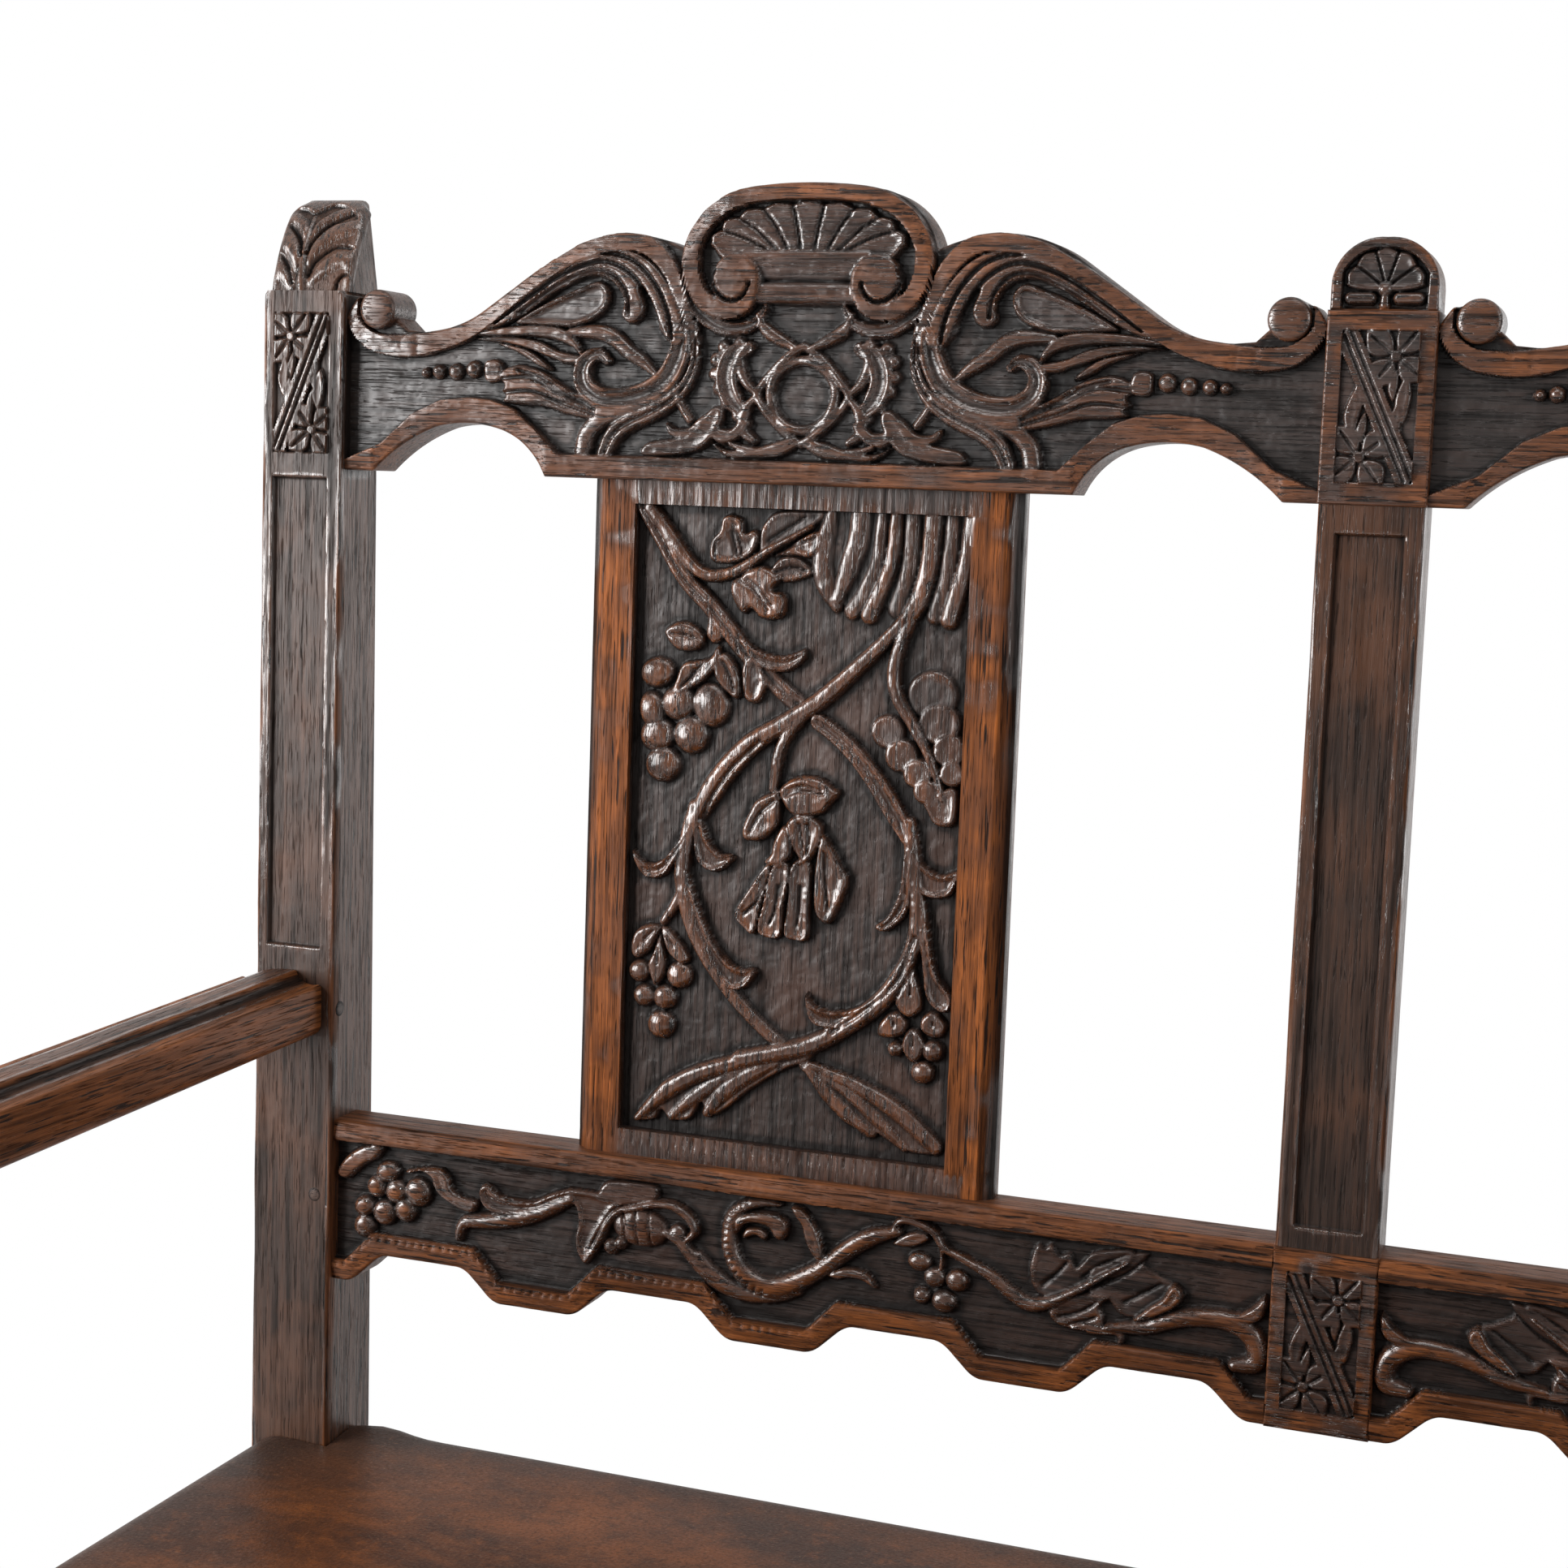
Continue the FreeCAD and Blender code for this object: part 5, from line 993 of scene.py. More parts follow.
# %% Crest bay
def relief_levels(wood, edge, arris, seed, ground_dirt_and_shade=0.42):
    """Takes the arris off a carved face and gives its wear and hollow: worn where high, and dark where low
    from dirt and painted shade.
    """
    wood.tooled(seed)
    wear, hollow = wood.worn_and_hollow()
    uneven = np.clip(0.6 + 0.35 * lattice_noise(wood.x, wood.z, 21, seed), 0, 1)
    high = smooth_step(4.4, 6.0, wood.height) * uneven
    rim = np.exp(-(edge / 2.4) ** 2) * np.clip(0.7 + 0.5 * lattice_noise(wood.x, wood.z, 13, seed + 1), 0, 1)
    # Painted shade: the sunk ground is darkened further, for dirt and for the shade between the relief.
    low = ground_dirt_and_shade * (1 - smooth_step(0.5, 2.2, wood.height))
    rubbed_round = 1.3 * (1 - smooth_step(0, 9, edge)) * smooth_step(4.5, 6, wood.height)
    wood.height = wood.height - arris_drop(edge, arris) - rubbed_round
    wood.height += 0.3 * lattice_noise(wood.x / 3, wood.z, 7, seed + 5) * smooth_step(4.5, 6, wood.height)
    handled = np.maximum(0.35 * wear, 0.12 * smooth_step(2.6, 4.2, wood.height))
    return np.clip(np.maximum(handled, np.maximum(high, rim)), 0, 1), np.clip(hollow + low, 0, 1)


def crest_bay():
    """Left bay of the crest as a closed board."""
    v = graded((-BAY_HALF, BAY_HALF, 0.95))
    low, high = outline_at(CREST_UNDER, v), outline_at(CREST_TOP, v)
    x, z = between(v, low, high, 148)
    wood = Carving(x, z)
    for mirror in (1, -1):
        carve_acanthus(wood, mirror)
        carve_fronds(wood, mirror)
        carve_side_leaf(wood, mirror)
    carve_dome(wood)
    carve_strapwork(wood)
    band = np.interp(np.abs(v), [0, 127, 140, 152, 164, 177, 192, 208, 226, 246.35],
                     [975.7, 975.7, 988, 997.5, 1001.5, 1002.5, 1001, 994, 978.5, 970])
    wood.height = np.maximum(wood.height, RELIEF * (1 - smooth_step(-0.5, 0.5, z - band[None, :])))
    edge = edge_distance(x, z, low, high)
    levels = relief_levels(wood, edge, 1.7, 21)
    return board_shell(x - BAY, RAIL_FRONT + RELIEF - wood.height, z, RAIL_BACK, *levels)


crest = make_piece("crest_bay_left", crest_bay(), oak_level, ["crest_rail"])
mirrored_piece("crest_bay_right", crest, ["crest_rail"])

# %% [markdown]
# ## Knobs, plaques and cap
# Turned knobs sit in the eyes of the end scrolls, a small plaque with a slanting band covers the joint between
# the bays, and a round-topped cap stands on it. A knob is a profile turned about its middle. Plaque and cap
# are two more carved boards, made with the same tools as the bays.

# %% Scroll knobs
def turned_knobs(places, around=48):
    """Round knobs in the eyes of the end scrolls: a profile of radius and depth, turned."""
    profile = np.array([(9.9, RAIL_BACK - 0.4), (9.9, 224), (9.9, 216), (9.9, 210), (9.7, 208.6),
                        (9.0, 207.6), (7.4, 207.0), (5.0, 206.7), (2.5, 206.6), (0.4, 206.6)])
    turn = np.linspace(0, 2 * math.pi, around, endpoint=False)
    ring = np.stack([profile[:, :1] * np.cos(turn), np.broadcast_to(profile[:, 1:], (len(profile), around)),
                     profile[:, :1] * np.sin(turn)], -1).reshape(-1, 3)
    points = np.vstack([ring + (x, 0, z) for x, z in places])
    faces = []
    for number in range(len(places)):
        faces += tube_faces(len(profile), around, number * len(ring), flip=True)
    return points, faces


KNOB_OUT, KNOB_LEVEL = 229.3, 1045.3
points, faces = turned_knobs([(side * BAY + end * KNOB_OUT, KNOB_LEVEL) for side in (-1, 1)
                              for end in (-1, 1)])
knob_wear = np.clip(0.42 + 0.18 * lattice_noise(points[:, 0], points[:, 2], 9, 6), 0, 1)
make_piece("scroll_knobs", (points, faces, knob_wear, None), oak_level, ["crest_rail"])


# %% Small plaques
PLAQUE_HALF, PLAQUE_FIELD, PLAQUE_TOP, SLAT_PITCH = 24, 17, 1049.5, 3.4


def carve_flower(wood, centre, size, turn=0.0):
    """Flower of four broad pointed petals on the diagonals round a small bead."""
    for quarter in range(4):
        angle = math.pi / 4 + turn + quarter * math.pi / 2
        away = np.array([math.cos(angle), math.sin(angle)])
        aside = np.array([-away[1], away[0]])
        petal = [centre + size * (far * away + wide * aside) for far, wide in
                 ((0.12, 0), (0.38, 0.33), (0.68, 0.37), (1, 0.06), (1, -0.06), (0.68, -0.37), (0.38, -0.33))]
        wood.leaf(petal, 2.5, 1.7, 0.2, ((centre + 0.2 * size * away, centre + 0.85 * size * away),))
    wood.dome(centre, 2.6, 3.4)


def carve_plaque(wood, centre, half_wide, half_high, lean):
    """Plaque field: a slanting band of fine ridges, a flower in each free corner and small leaves between."""
    middle = np.array(centre)
    reach = np.array([lean * half_wide * 0.86, half_high * 0.94])
    across = np.array([reach[1], -reach[0]]) / np.hypot(*reach)
    for way in (-1, 1):
        spot = middle + way * np.array([-lean * half_wide * 0.40, half_high * 0.66])
        carve_flower(wood, spot, 16.5, way * 0.12)
        leaf = middle + way * np.array([-lean * half_wide * 0.64, half_high * 0.10])
        for aside, down, high, wide in ((0, 0, 11, 3.6), (2.8, -9, 9, 3), (4.6, 6, 7, 2.4)):
            tip = leaf + (aside * lean * way, down * way)
            wood.leaf(tip + np.array([(1, high), (wide, 1.5), (0.4, -high), (-wide, -1)]), 2.3, 1.2, 0.3)
    for step in (-1, 0, 1):
        shift = middle + across * step * SLAT_PITCH
        wood.ridge((shift - reach, shift + reach), 1.9, 2.3, across_flat, False)
    for step in (-0.5, 0.5):
        shift = middle + across * step * SLAT_PITCH
        wood.groove((shift - reach, shift + reach), 0.9, 1.5)


def plaque_board(low, high, front, field_low, field_high, depth):
    """Plain frame round a sunk plaque field, as a board with rounded arrises."""
    half, field_half = PLAQUE_HALF, PLAQUE_FIELD
    u = graded((-half, -half + 1.6, 0.4), (-half + 1.6, half - 1.6, 0.55), (half - 1.6, half, 0.4))
    rise = graded((low, low + 1.6, 0.4), (low + 1.6, high - 1.6, 0.55), (high - 1.6, high, 0.4))
    x, z = np.meshgrid(u, rise)
    wood = Carving(x, z)
    carve_plaque(wood, (0, (field_low + field_high) / 2), field_half, (field_high - field_low) / 2, -1)
    sunk = np.minimum(field_half - np.abs(x), np.minimum(z - field_low, field_high - z))
    wood.height = np.where(sunk > 0, np.minimum(wood.height, 2.2) - depth * smooth_step(0, 0.6, sunk), 0)
    wood.tooled(31, 0.12)
    edge = np.minimum(half - np.abs(x), np.minimum(z - low, high - z))
    wear, hollow = wood.worn_and_hollow(3)
    frame_wear = np.where(sunk > 0, 0, np.clip(0.40 + 0.5 * lattice_noise(x, z, 8, 9), 0, 1))
    wear = np.clip(np.maximum(0.4 * wear, np.maximum(frame_wear, 0.7 * np.exp(-(edge / 1.4) ** 2))), 0, 1)
    y = front - wood.height + arris_drop(edge, 1.2)
    # Painted shade: the plaque's hollows are darkened a fifth more.
    return board_shell(x, y, z, RAIL_BACK, wear, np.clip(1.2 * hollow, 0, 1))


plaque = plaque_board(CREST_LOW, PLAQUE_TOP, RAIL_FRONT - 1.5, 974, 1041, 1.9)
make_piece("crest_plaque", plaque, oak_level, ["crest_rail"])


# %% Cap over the middle plaque
CAP_HALF, CAP_RELIEF, CAP_HUB = 23.4, 5.0, 1059.4


def crest_cap():
    """Round-topped cap: a plain rim, a fan of five lobes and two bars with a small arch between them."""
    u = graded((-CAP_HALF, -21.6, 0.35), (-21.6, 21.6, 0.55), (21.6, CAP_HALF, 0.35))
    top = np.vstack([arc((0, 1081.3), (16.6, 1075.6), (23.3, 1062)), [(CAP_HALF, 1060)]])
    high = outline_at(top, u)
    low = np.full_like(u, PLAQUE_TOP)
    x, z = between(u, low, high, 60)
    wood = Carving(x, z)
    edge = edge_distance(x, z, low, high)
    rim = np.minimum(edge_distance(x, z, low - 4.2, high), CAP_HALF - np.abs(x))
    fan = np.radians(np.linspace(-88, 88, 31))
    reach = 17.4 * (1 + 0.035 * np.cos(10 * fan * 90 / 88))
    lobes = np.stack([reach * np.sin(fan), CAP_HUB + reach * np.cos(fan)], -1)
    wood.leaf(np.vstack([lobes, [(8, 1057.8), (-8, 1057.8)]]), 3.6, 1.6, 0.7)
    for turn in np.radians((-54, -18, 18, 54)):
        tip = np.array((17 * math.sin(turn), CAP_HUB + 17 * math.cos(turn)))
        wood.groove((0.2 * tip + (0, 847.5), 0.6 * tip + (0, 424), tip), 0.7, 1.5)
    for side in (-1, 1):
        wood.ridge(((side * 6.2, 1054.8), (side * 14.8, 1054.8)), 2.9, 4.6, across_full, False)
    wood.ridge(((0, 1051.6), (0, 1057)), (2.6, 1.8), 3.8, across_full, False)
    wood.dome((0, 1058.6), 3.4, 4.8)
    wood.height = np.maximum(wood.height, CAP_RELIEF * (1 - smooth_step(4.4, 5.2, rim)))
    levels = relief_levels(wood, np.minimum(rim, edge), 1.4, 27, 0.3)
    return board_shell(x, RAIL_FRONT + CAP_RELIEF - wood.height, z, RAIL_BACK, *levels)


make_piece("crest_cap", crest_cap(), oak_level, ["crest_rail"])

# %% [markdown]
# ## The lower rail
# The rail under the panels has a stepped lower edge with a flat band along it, nicked with the corner of a
# chisel. A vine runs along the sunk ground: grapes at the end, long leaves, a notched scroll in the middle and
# a curled end by the plaque. It is made like the crest, between a stepped line and a straight one.

# %% Outline of the lower rail
LOWER_TOP, LOWER_BAND, STEP_FLAT, STEP_TIP, STEP_PITCH = 625.0, 614.0, 555.0, 538.7, 129.2
OUTER_SHEET, MIDDLE_SHEET, INNER_SHEET = (((-BAY_HALF + shift, 635), 7) for shift in (-3.3, 206.7, 406.7))


def stepped(v, flat_half, tip_half, flat_level, tip_level):
    """Stepped line: flats about the odd half pitches, tips about the whole ones, straight slopes between."""
    wave = np.abs((np.asarray(v) / STEP_PITCH) % 1 - 0.5) * STEP_PITCH
    return np.interp(wave, [flat_half, STEP_PITCH / 2 - tip_half], [flat_level, tip_level])


def softened(v, line, reach):
    """Rounds the corners of a line: the mean of the line over a short reach on both sides."""
    shifts = np.linspace(-reach, reach, 9)
    return np.mean([np.interp(v + shift, v, line) for shift in shifts], axis=0)


# %% Vine of the lower rail
def carve_lower_vine(wood):
    """Outer third of the vine: curled leaf, grapes, ribbon leaf, long forked leaf, folded leaf and the
    ribbed pod."""
    at = drawing(*OUTER_SHEET)
    wood.leaf(at((32, 262), (62, 212), (108, 172), (160, 146), (214, 142), (228, 162), (200, 200),
                 (156, 226), (112, 264), (78, 290), (44, 286)), 5.6, 2.8)
    for x, y, radius, squash in ((240, 245, 46, 0.8), (197, 305, 38, 1), (278, 314, 44, 0.95),
                                 (366, 305, 50, 1), (148, 384, 42, 0.85), (230, 398, 46, 0.95),
                                 (316, 378, 42, 1), (148, 458, 42, 0.95)):
        wood.dome(at((x, y))[0], radius / 6.2, 5.8, squash, 0.3)
    wood.leaf(at((318, 226), (400, 206), (462, 205), (494, 235), (504, 268), (545, 292), (606, 304),
                 (612, 322), (596, 350), (556, 350), (500, 330), (452, 300), (428, 268), (420, 244),
                 (380, 226), (330, 238)), 5, 2, 0.8)
    wood.leaf(at((622, 302), (616, 262), (634, 238), (662, 240), (674, 258), (712, 274), (772, 280),
                 (836, 270), (886, 245), (930, 225), (985, 210), (990, 242), (930, 275), (860, 310),
                 (780, 335), (700, 345), (650, 332)), 5.2, 1.8, 2)
    wood.ridge(at((534, 452), (542, 415), (568, 387), (640, 376), (760, 352), (870, 308), (985, 248)),
               (2.4, 4, 4.8, 4.8, 4.8, 4.2, 3), (4.6, 5.2, 5.6, 5.6, 5.4))
    wood.leaf(at((1085, 206), (1118, 166), (1200, 154), (1290, 153), (1314, 170), (1313, 206), (1290, 222),
                 (1230, 238), (1160, 250), (1085, 246)), 3.6, 1.8)
    wood.leaf(at((975, 214), (1085, 212), (1182, 238), (1148, 268), (1104, 340), (1074, 400), (1058, 468),
                 (1036, 478), (1018, 456), (1004, 430), (1000, 380), (1010, 330), (1000, 280), (978, 255)),
              4.6, 1.8, 1.2)
    wood.ridge(at((1048, 462), (1090, 392), (1122, 322), (1162, 272), (1230, 248), (1300, 226), (1372, 224),
                  (1430, 254), (1458, 300), (1432, 336)), (1.6, 2.6, 2.6, 2.4, 2.4, 2.4, 2.6, 3, 3, 2),
               (5, 5.2, 5.4, 5.4, 5.2))
    wood.dome(at((1248, 318))[0], 15.6, 5.9, 0.64, -0.05)
    for x in (1192, 1240, 1290):
        wood.groove(at((x - 8, 262), (x, 316), (x + 6, 376)), 0.8, 1.1)
    for x, y, radius in ((1138, 402, 30), (1176, 384, 24), (1392, 322, 34)):
        wood.dome(at((x, y))[0], radius / 6.6, 4.4)
    wood.ridge(at((1345, 322), (1402, 350), (1446, 392), (1496, 436), (1552, 468)), (2.2, 3.4, 4, 4.4, 4.8),
               (4.4, 5, 5.2, 4.8))


def carve_lower_scroll(wood):
    """Middle third: the notched scroll with its curled leaf, the stem that leaves it, its offshoot,
    grapes and vine leaves."""
    at = drawing(*MIDDLE_SHEET)
    wood.ridge(at((0, 402), (70, 464), (150, 496), (240, 504), (320, 494), (388, 470)),
               (4.8, 5.6, 4.8, 4, 2.8, 1), (4.8, 4.8, 4.4, 3.8, 3))
    scroll = at((480, 352), (400, 414), (320, 455), (240, 462), (168, 426), (128, 362), (117, 290),
                (132, 226), (178, 184), (240, 168), (304, 166))
    wood.ridge(scroll, (4.4, 5.2, 5.8, 6, 5.8, 5.4, 5, 4.6, 3.8, 2.8, 1.2), (5.6, 5.8, 5.8, 5.6, 5.4, 5, 4))
    rim = bend(scroll)
    step = np.diff(rim, axis=0)
    outward = np.stack([step[:, 1], -step[:, 0]], -1) / np.hypot(*step.T)[:, None]
    for spot, away in zip(rim[34:100:4], outward[34:100:4]):
        wood.groove((spot - 0.6 * away, spot - 2.6 * away, spot - 4.6 * away), 0.7, 1)
    wood.leaf(at((136, 250), (152, 224), (202, 202), (262, 196), (312, 205), (335, 232), (332, 272),
                 (312, 294), (284, 282), (262, 252), (215, 244), (172, 256), (150, 288)), 5.6, 2.6)
    wood.leaf(at((164, 304), (178, 266), (225, 258), (260, 275), (250, 302), (214, 288), (186, 300)), 3.8, 1.8)
    wood.leaf(at((342, 166), (380, 164), (412, 190), (446, 240), (467, 300), (468, 338), (440, 342),
                 (414, 310), (395, 270), (384, 230), (360, 200)), 5.4, 2.2, 0.8)
    wood.ridge(at((300, 462), (400, 414), (480, 356), (560, 288), (640, 236), (728, 204)),
               (3.8, 4.8, 5, 5, 4.8, 3), (5.4, 5.8, 5.8, 5.6, 5.2))
    wood.ridge(at((716, 218), (722, 186), (745, 162), (800, 164), (860, 190), (896, 236), (960, 264),
                  (1060, 308), (1130, 356), (1192, 388), (1240, 384), (1310, 350), (1410, 284), (1520, 206)),
               (1.6, 2.4, 2.6, 2.4, 2.4, 2.6, 3.6, 4, 4, 3.4, 2.6, 2, 1.6, 1.2),
               (4.6, 5.2, 5.2, 5.2, 5.2, 5, 4.8, 4.6))
    wood.leaf(at((712, 246), (760, 206), (820, 190), (846, 214), (806, 244), (750, 256)), 3.8, 1.8, 0.4)
    wood.leaf(at((486, 388), (530, 358), (582, 350), (632, 364), (664, 408), (652, 412), (610, 392),
                 (560, 390), (520, 402)), 5, 1.8)
    wood.ridge(at((888, 240), (890, 280), (888, 315)), 1.5, 3.6)
    for x, y, radius, squash in ((812, 298, 42, 0.78), (868, 345, 40, 0.9), (946, 346, 40, 0.95),
                                 (824, 414, 30, 1), (903, 424, 44, 0.9)):
        wood.dome(at((x, y))[0], radius / 6.7, 5.2, squash, 0)
    wood.leaf(at((1195, 268), (1205, 206), (1222, 180), (1244, 190), (1268, 174), (1294, 208), (1334, 196),
                 (1352, 244), (1396, 192), (1440, 174), (1540, 156), (1540, 200), (1480, 238), (1400, 292),
                 (1320, 346), (1240, 354), (1204, 320)), 2.3, 1.4, 0.4,
              (at((1240, 320), (1290, 270), (1320, 230)), at((1380, 270), (1440, 220), (1520, 180))))
    wood.leaf(at((1268, 402), (1318, 356), (1372, 330), (1446, 318), (1472, 330), (1442, 362), (1454, 402),
                 (1450, 450), (1396, 456), (1340, 454), (1290, 440)), 3.2, 1.8, 0.4,
              (at((1300, 420), (1370, 392), (1430, 350)), at((1340, 440), (1390, 420), (1430, 400))))


def carve_lower_end(wood):
    """Inner third: leaves along the stem and the curled end beside the plaque."""
    at = drawing(*INNER_SHEET)
    wood.leaf(at((0, 250), (60, 210), (130, 172), (192, 160), (182, 200), (240, 234), (280, 252), (266, 300),
                 (222, 350), (170, 384), (110, 380), (60, 334), (0, 322)), 2.1, 1.4, 0.4,
              (at((10, 300), (110, 250), (180, 190)), at((120, 340), (180, 300), (240, 260))))
    wood.ridge(at((70, 430), (190, 412), (300, 368), (390, 350), (470, 350), (535, 380), (566, 430),
                  (556, 480), (496, 494)), (2, 3.6, 4.4, 4.6, 4.8, 5.2, 5.6, 5.4, 3.6),
               (4.4, 5, 5.6, 5.6, 5.4, 5.2))
    wood.leaf(at((296, 346), (400, 322), (490, 318), (545, 288), (584, 246), (588, 300), (556, 342),
                 (480, 352), (380, 354)), 5.4, 2, 0.8)
    wood.leaf(at((150, 394), (205, 336), (246, 304), (268, 266), (286, 250), (312, 266), (316, 300),
                 (290, 332), (250, 358), (200, 384)), 5.6, 2, 1)
    wood.leaf(at((0, 438), (40, 425), (100, 428), (128, 440), (126, 476), (104, 484), (98, 456), (40, 462),
                 (0, 460)), 3.4, 1.6)


# %% Lower rail bay
def lower_bay():
    """Left bay of the lower rail as a closed board."""
    v = graded((-BAY_HALF, BAY_HALF, 0.95))
    low = stepped(v, 24.5, 23.0, STEP_FLAT, STEP_TIP)
    low = np.where(np.abs(v) > 235.4, STEP_TIP, low)
    low = softened(v, low, 4.2)
    high = np.full_like(v, LOWER_TOP)
    x, z = between(v, low, high, 98)
    wood = Carving(x, z)
    carve_lower_vine(wood)
    carve_lower_scroll(wood)
    carve_lower_end(wood)
    band = softened(v, stepped(v, 30.0, 19.5, STEP_FLAT + 11, STEP_TIP + 11.3), 1.2)
    above = z - band[None, :]
    nick = smooth_step(0.1, 0.7, np.sin(1.2 * x + 1.4 * lattice_noise(x, z, 9, 2)))
    nick = 0.8 * nick * np.exp(-((above + 1.6) / 1.7) ** 2) * (1 - smooth_step(-20, 40, x))
    wood.height = np.maximum(wood.height, (RELIEF - nick) * (1 - smooth_step(-0.5, 0.6, above)))
    wood.height = np.maximum(wood.height, RELIEF * smooth_step(-0.5, 0.5, z - LOWER_BAND))
    edge = edge_distance(x, z, low, high)
    wear, hollow = relief_levels(wood, edge, 1.8, 33)
    wear = np.where((above < 0.4) | (z > LOWER_BAND), np.maximum(wear, 0.56), wear)
    return board_shell(x - BAY, RAIL_FRONT + RELIEF - wood.height, z, RAIL_BACK, wear, hollow)


lower = make_piece("lower_bay_left", lower_bay(), oak_lower, ["lower_back_rail"])
mirrored_piece("lower_bay_right", lower, ["lower_back_rail"])
plaque = plaque_board(STEP_TIP, LOWER_TOP, RAIL_FRONT, 549, 614, 1.5)
make_piece("lower_plaque", plaque, oak_lower, ["lower_back_rail"])

# %% [markdown]
# ## Posts
# A post is a stack of rings: each row of the grid runs once round the square section. Its front carries the
# sunk fields and the small plaque, its arrises are rubbed round, and its back leans in a little above the
# seat. A box with a bevel would be quicker, but its arrises would be the same all the way up.

# %% Ring-built uprights
SIDE_LINES, SIDE_WEAR = 7, 0.44


def ring_upright(centre, half, front, back_at, rows, carve, arris=1.7):
    """Upright from rings: front lines with the carving's depth, then one side, the back and the other side.

    Gives points, faces, wear and hollow. back_at gives the back's depth at a level.
    """
    u = graded((-half, -half + 2.4, 0.4), (-half + 2.4, half - 2.4, 0.6), (half - 2.4, half, 0.4))
    x, z = np.meshgrid(u, rows)
    wood = Carving(x, z)
    carve(wood)
    wood.tooled(51, 0.09)
    rub = arris * (1 + 0.5 * lattice_noise(np.zeros_like(x), z, 37, 7))
    edge = half - np.abs(x)
    wear, hollow = wood.worn_and_hollow(3)
    uneven = np.clip(0.62 + 0.75 * lattice_noise(x, z, 31, 17), 0, 1)
    wear = np.maximum(np.maximum(0.4 * wear, wood.handled), np.exp(-(edge / 2.2) ** 2) * uneven)
    wear = np.clip(wear, 0, 1)
    y = front - wood.height + arris_drop(edge, rub)
    back = back_at(rows)

    def side_run(place, start):
        """Lines down one side, evenly spaced from the front's depth to the back's."""
        steps = np.linspace(0, 1, SIDE_LINES + 2)[1:-1]
        depth = start[:, None] + (back - start)[:, None] * steps
        return np.stack([np.full_like(depth, place), depth], -1)

    back_run = np.stack(np.broadcast_arrays(np.linspace(half, -half, SIDE_LINES), back[:, None]), -1)
    ring = np.concatenate([np.stack([x, y], -1), side_run(half, y[:, -1]), back_run,
                           side_run(-half, y[:, 0])[:, ::-1]], axis=1)
    count = ring.shape[1]
    level = np.broadcast_to(rows[:, None, None], (len(rows), count, 1))
    points = np.concatenate([ring, level], -1).reshape(-1, 3) + (centre, 0, 0)
    rest = np.zeros((len(rows), count - x.shape[1]))
    wear = np.concatenate([wear, SIDE_WEAR + rest], axis=1).ravel()
    return points, tube_faces(len(rows), count), wear, np.concatenate([hollow, rest], axis=1).ravel()


def sink_field(wood, left, right, low, high, depth):
    """Sinks a plain field with a soft edge."""
    inside = np.minimum(np.minimum(wood.x - left, right - wood.x), np.minimum(wood.z - low, high - wood.z))
    wood.height -= depth * smooth_step(-0.2, 0.9, inside)


# %% Posts
POST_CENTRE, POST_HALF, POST_FRONT, POST_TOP = 539.7, 23.0, 204.0, 1054.0
POST_BACK, POST_TOP_BACK, LEAN_START = 250.0, 239.0, 450.0


def carve_post(wood):
    """Front of the left post: the plaque near the top and the long plain field below it."""
    plaque = Carving(wood.x, wood.z)
    middle, half_wide, half_high = (-1.15, 1007.5), 15.85, 35.5
    carve_plaque(plaque, middle, half_wide, half_high, 1)
    inside = (np.abs(wood.x - middle[0]) < half_wide) & (np.abs(wood.z - middle[1]) < half_high)
    wood.height = np.where(inside, np.minimum(plaque.height, 2.3), 0)
    wood.handled = 0.06 * inside * smooth_step(0.9, 1.9, plaque.height)
    sink_field(wood, -17, 14.7, 972, 1043, 1.9)
    sink_field(wood, -17, 14.7, 715.8, 960, 2.5)


def post_back(level):
    """Depth of a post's back: upright to the seat, then leaning in to the top."""
    return np.interp(level, [LEAN_START, POST_TOP], [POST_BACK, POST_TOP_BACK])


post_rows = graded((0, 440, 22), (440, 712, 4), (712, 719, 0.5), (719, 957, 3), (957, 1045, 0.6),
                   (1045, 1052, 1.4), (1052, POST_TOP, 0.5))
points, faces, wear, hollow = ring_upright(-POST_CENTRE, POST_HALF, POST_FRONT, post_back, post_rows,
                                           carve_post)
points[:, 0] += 0.06 * smooth_step(1050.5, POST_TOP, points[:, 2]) ** 2 * (-POST_CENTRE - points[:, 0])
# Painted shade: the post's inner side above the crest's lower edge, behind its front, loses its wear and is
# darkened as a hollow.
inner = (points[:, 0] > POST_HALF - POST_CENTRE - 0.5) & (points[:, 1] < RAIL_BACK)
shaded = inner * (points[:, 1] > POST_FRONT + 3) * smooth_step(958, 968, points[:, 2])
wear, hollow = wear * (1 - shaded), np.maximum(hollow, 0.9 * shaded)
post = make_piece("post_left", (points, faces, wear, hollow), oak_upright, ["back_post_left"])
mirrored_piece("post_right", post, ["back_post_right"])

# %% [markdown]
# ## Finials
# Each post ends in a carved leaf that leans back. It is a board bent along a profile: the carving is worked
# out on the flat, along the profile's length, and then raised square to it, as a carver follows a sawn curve.

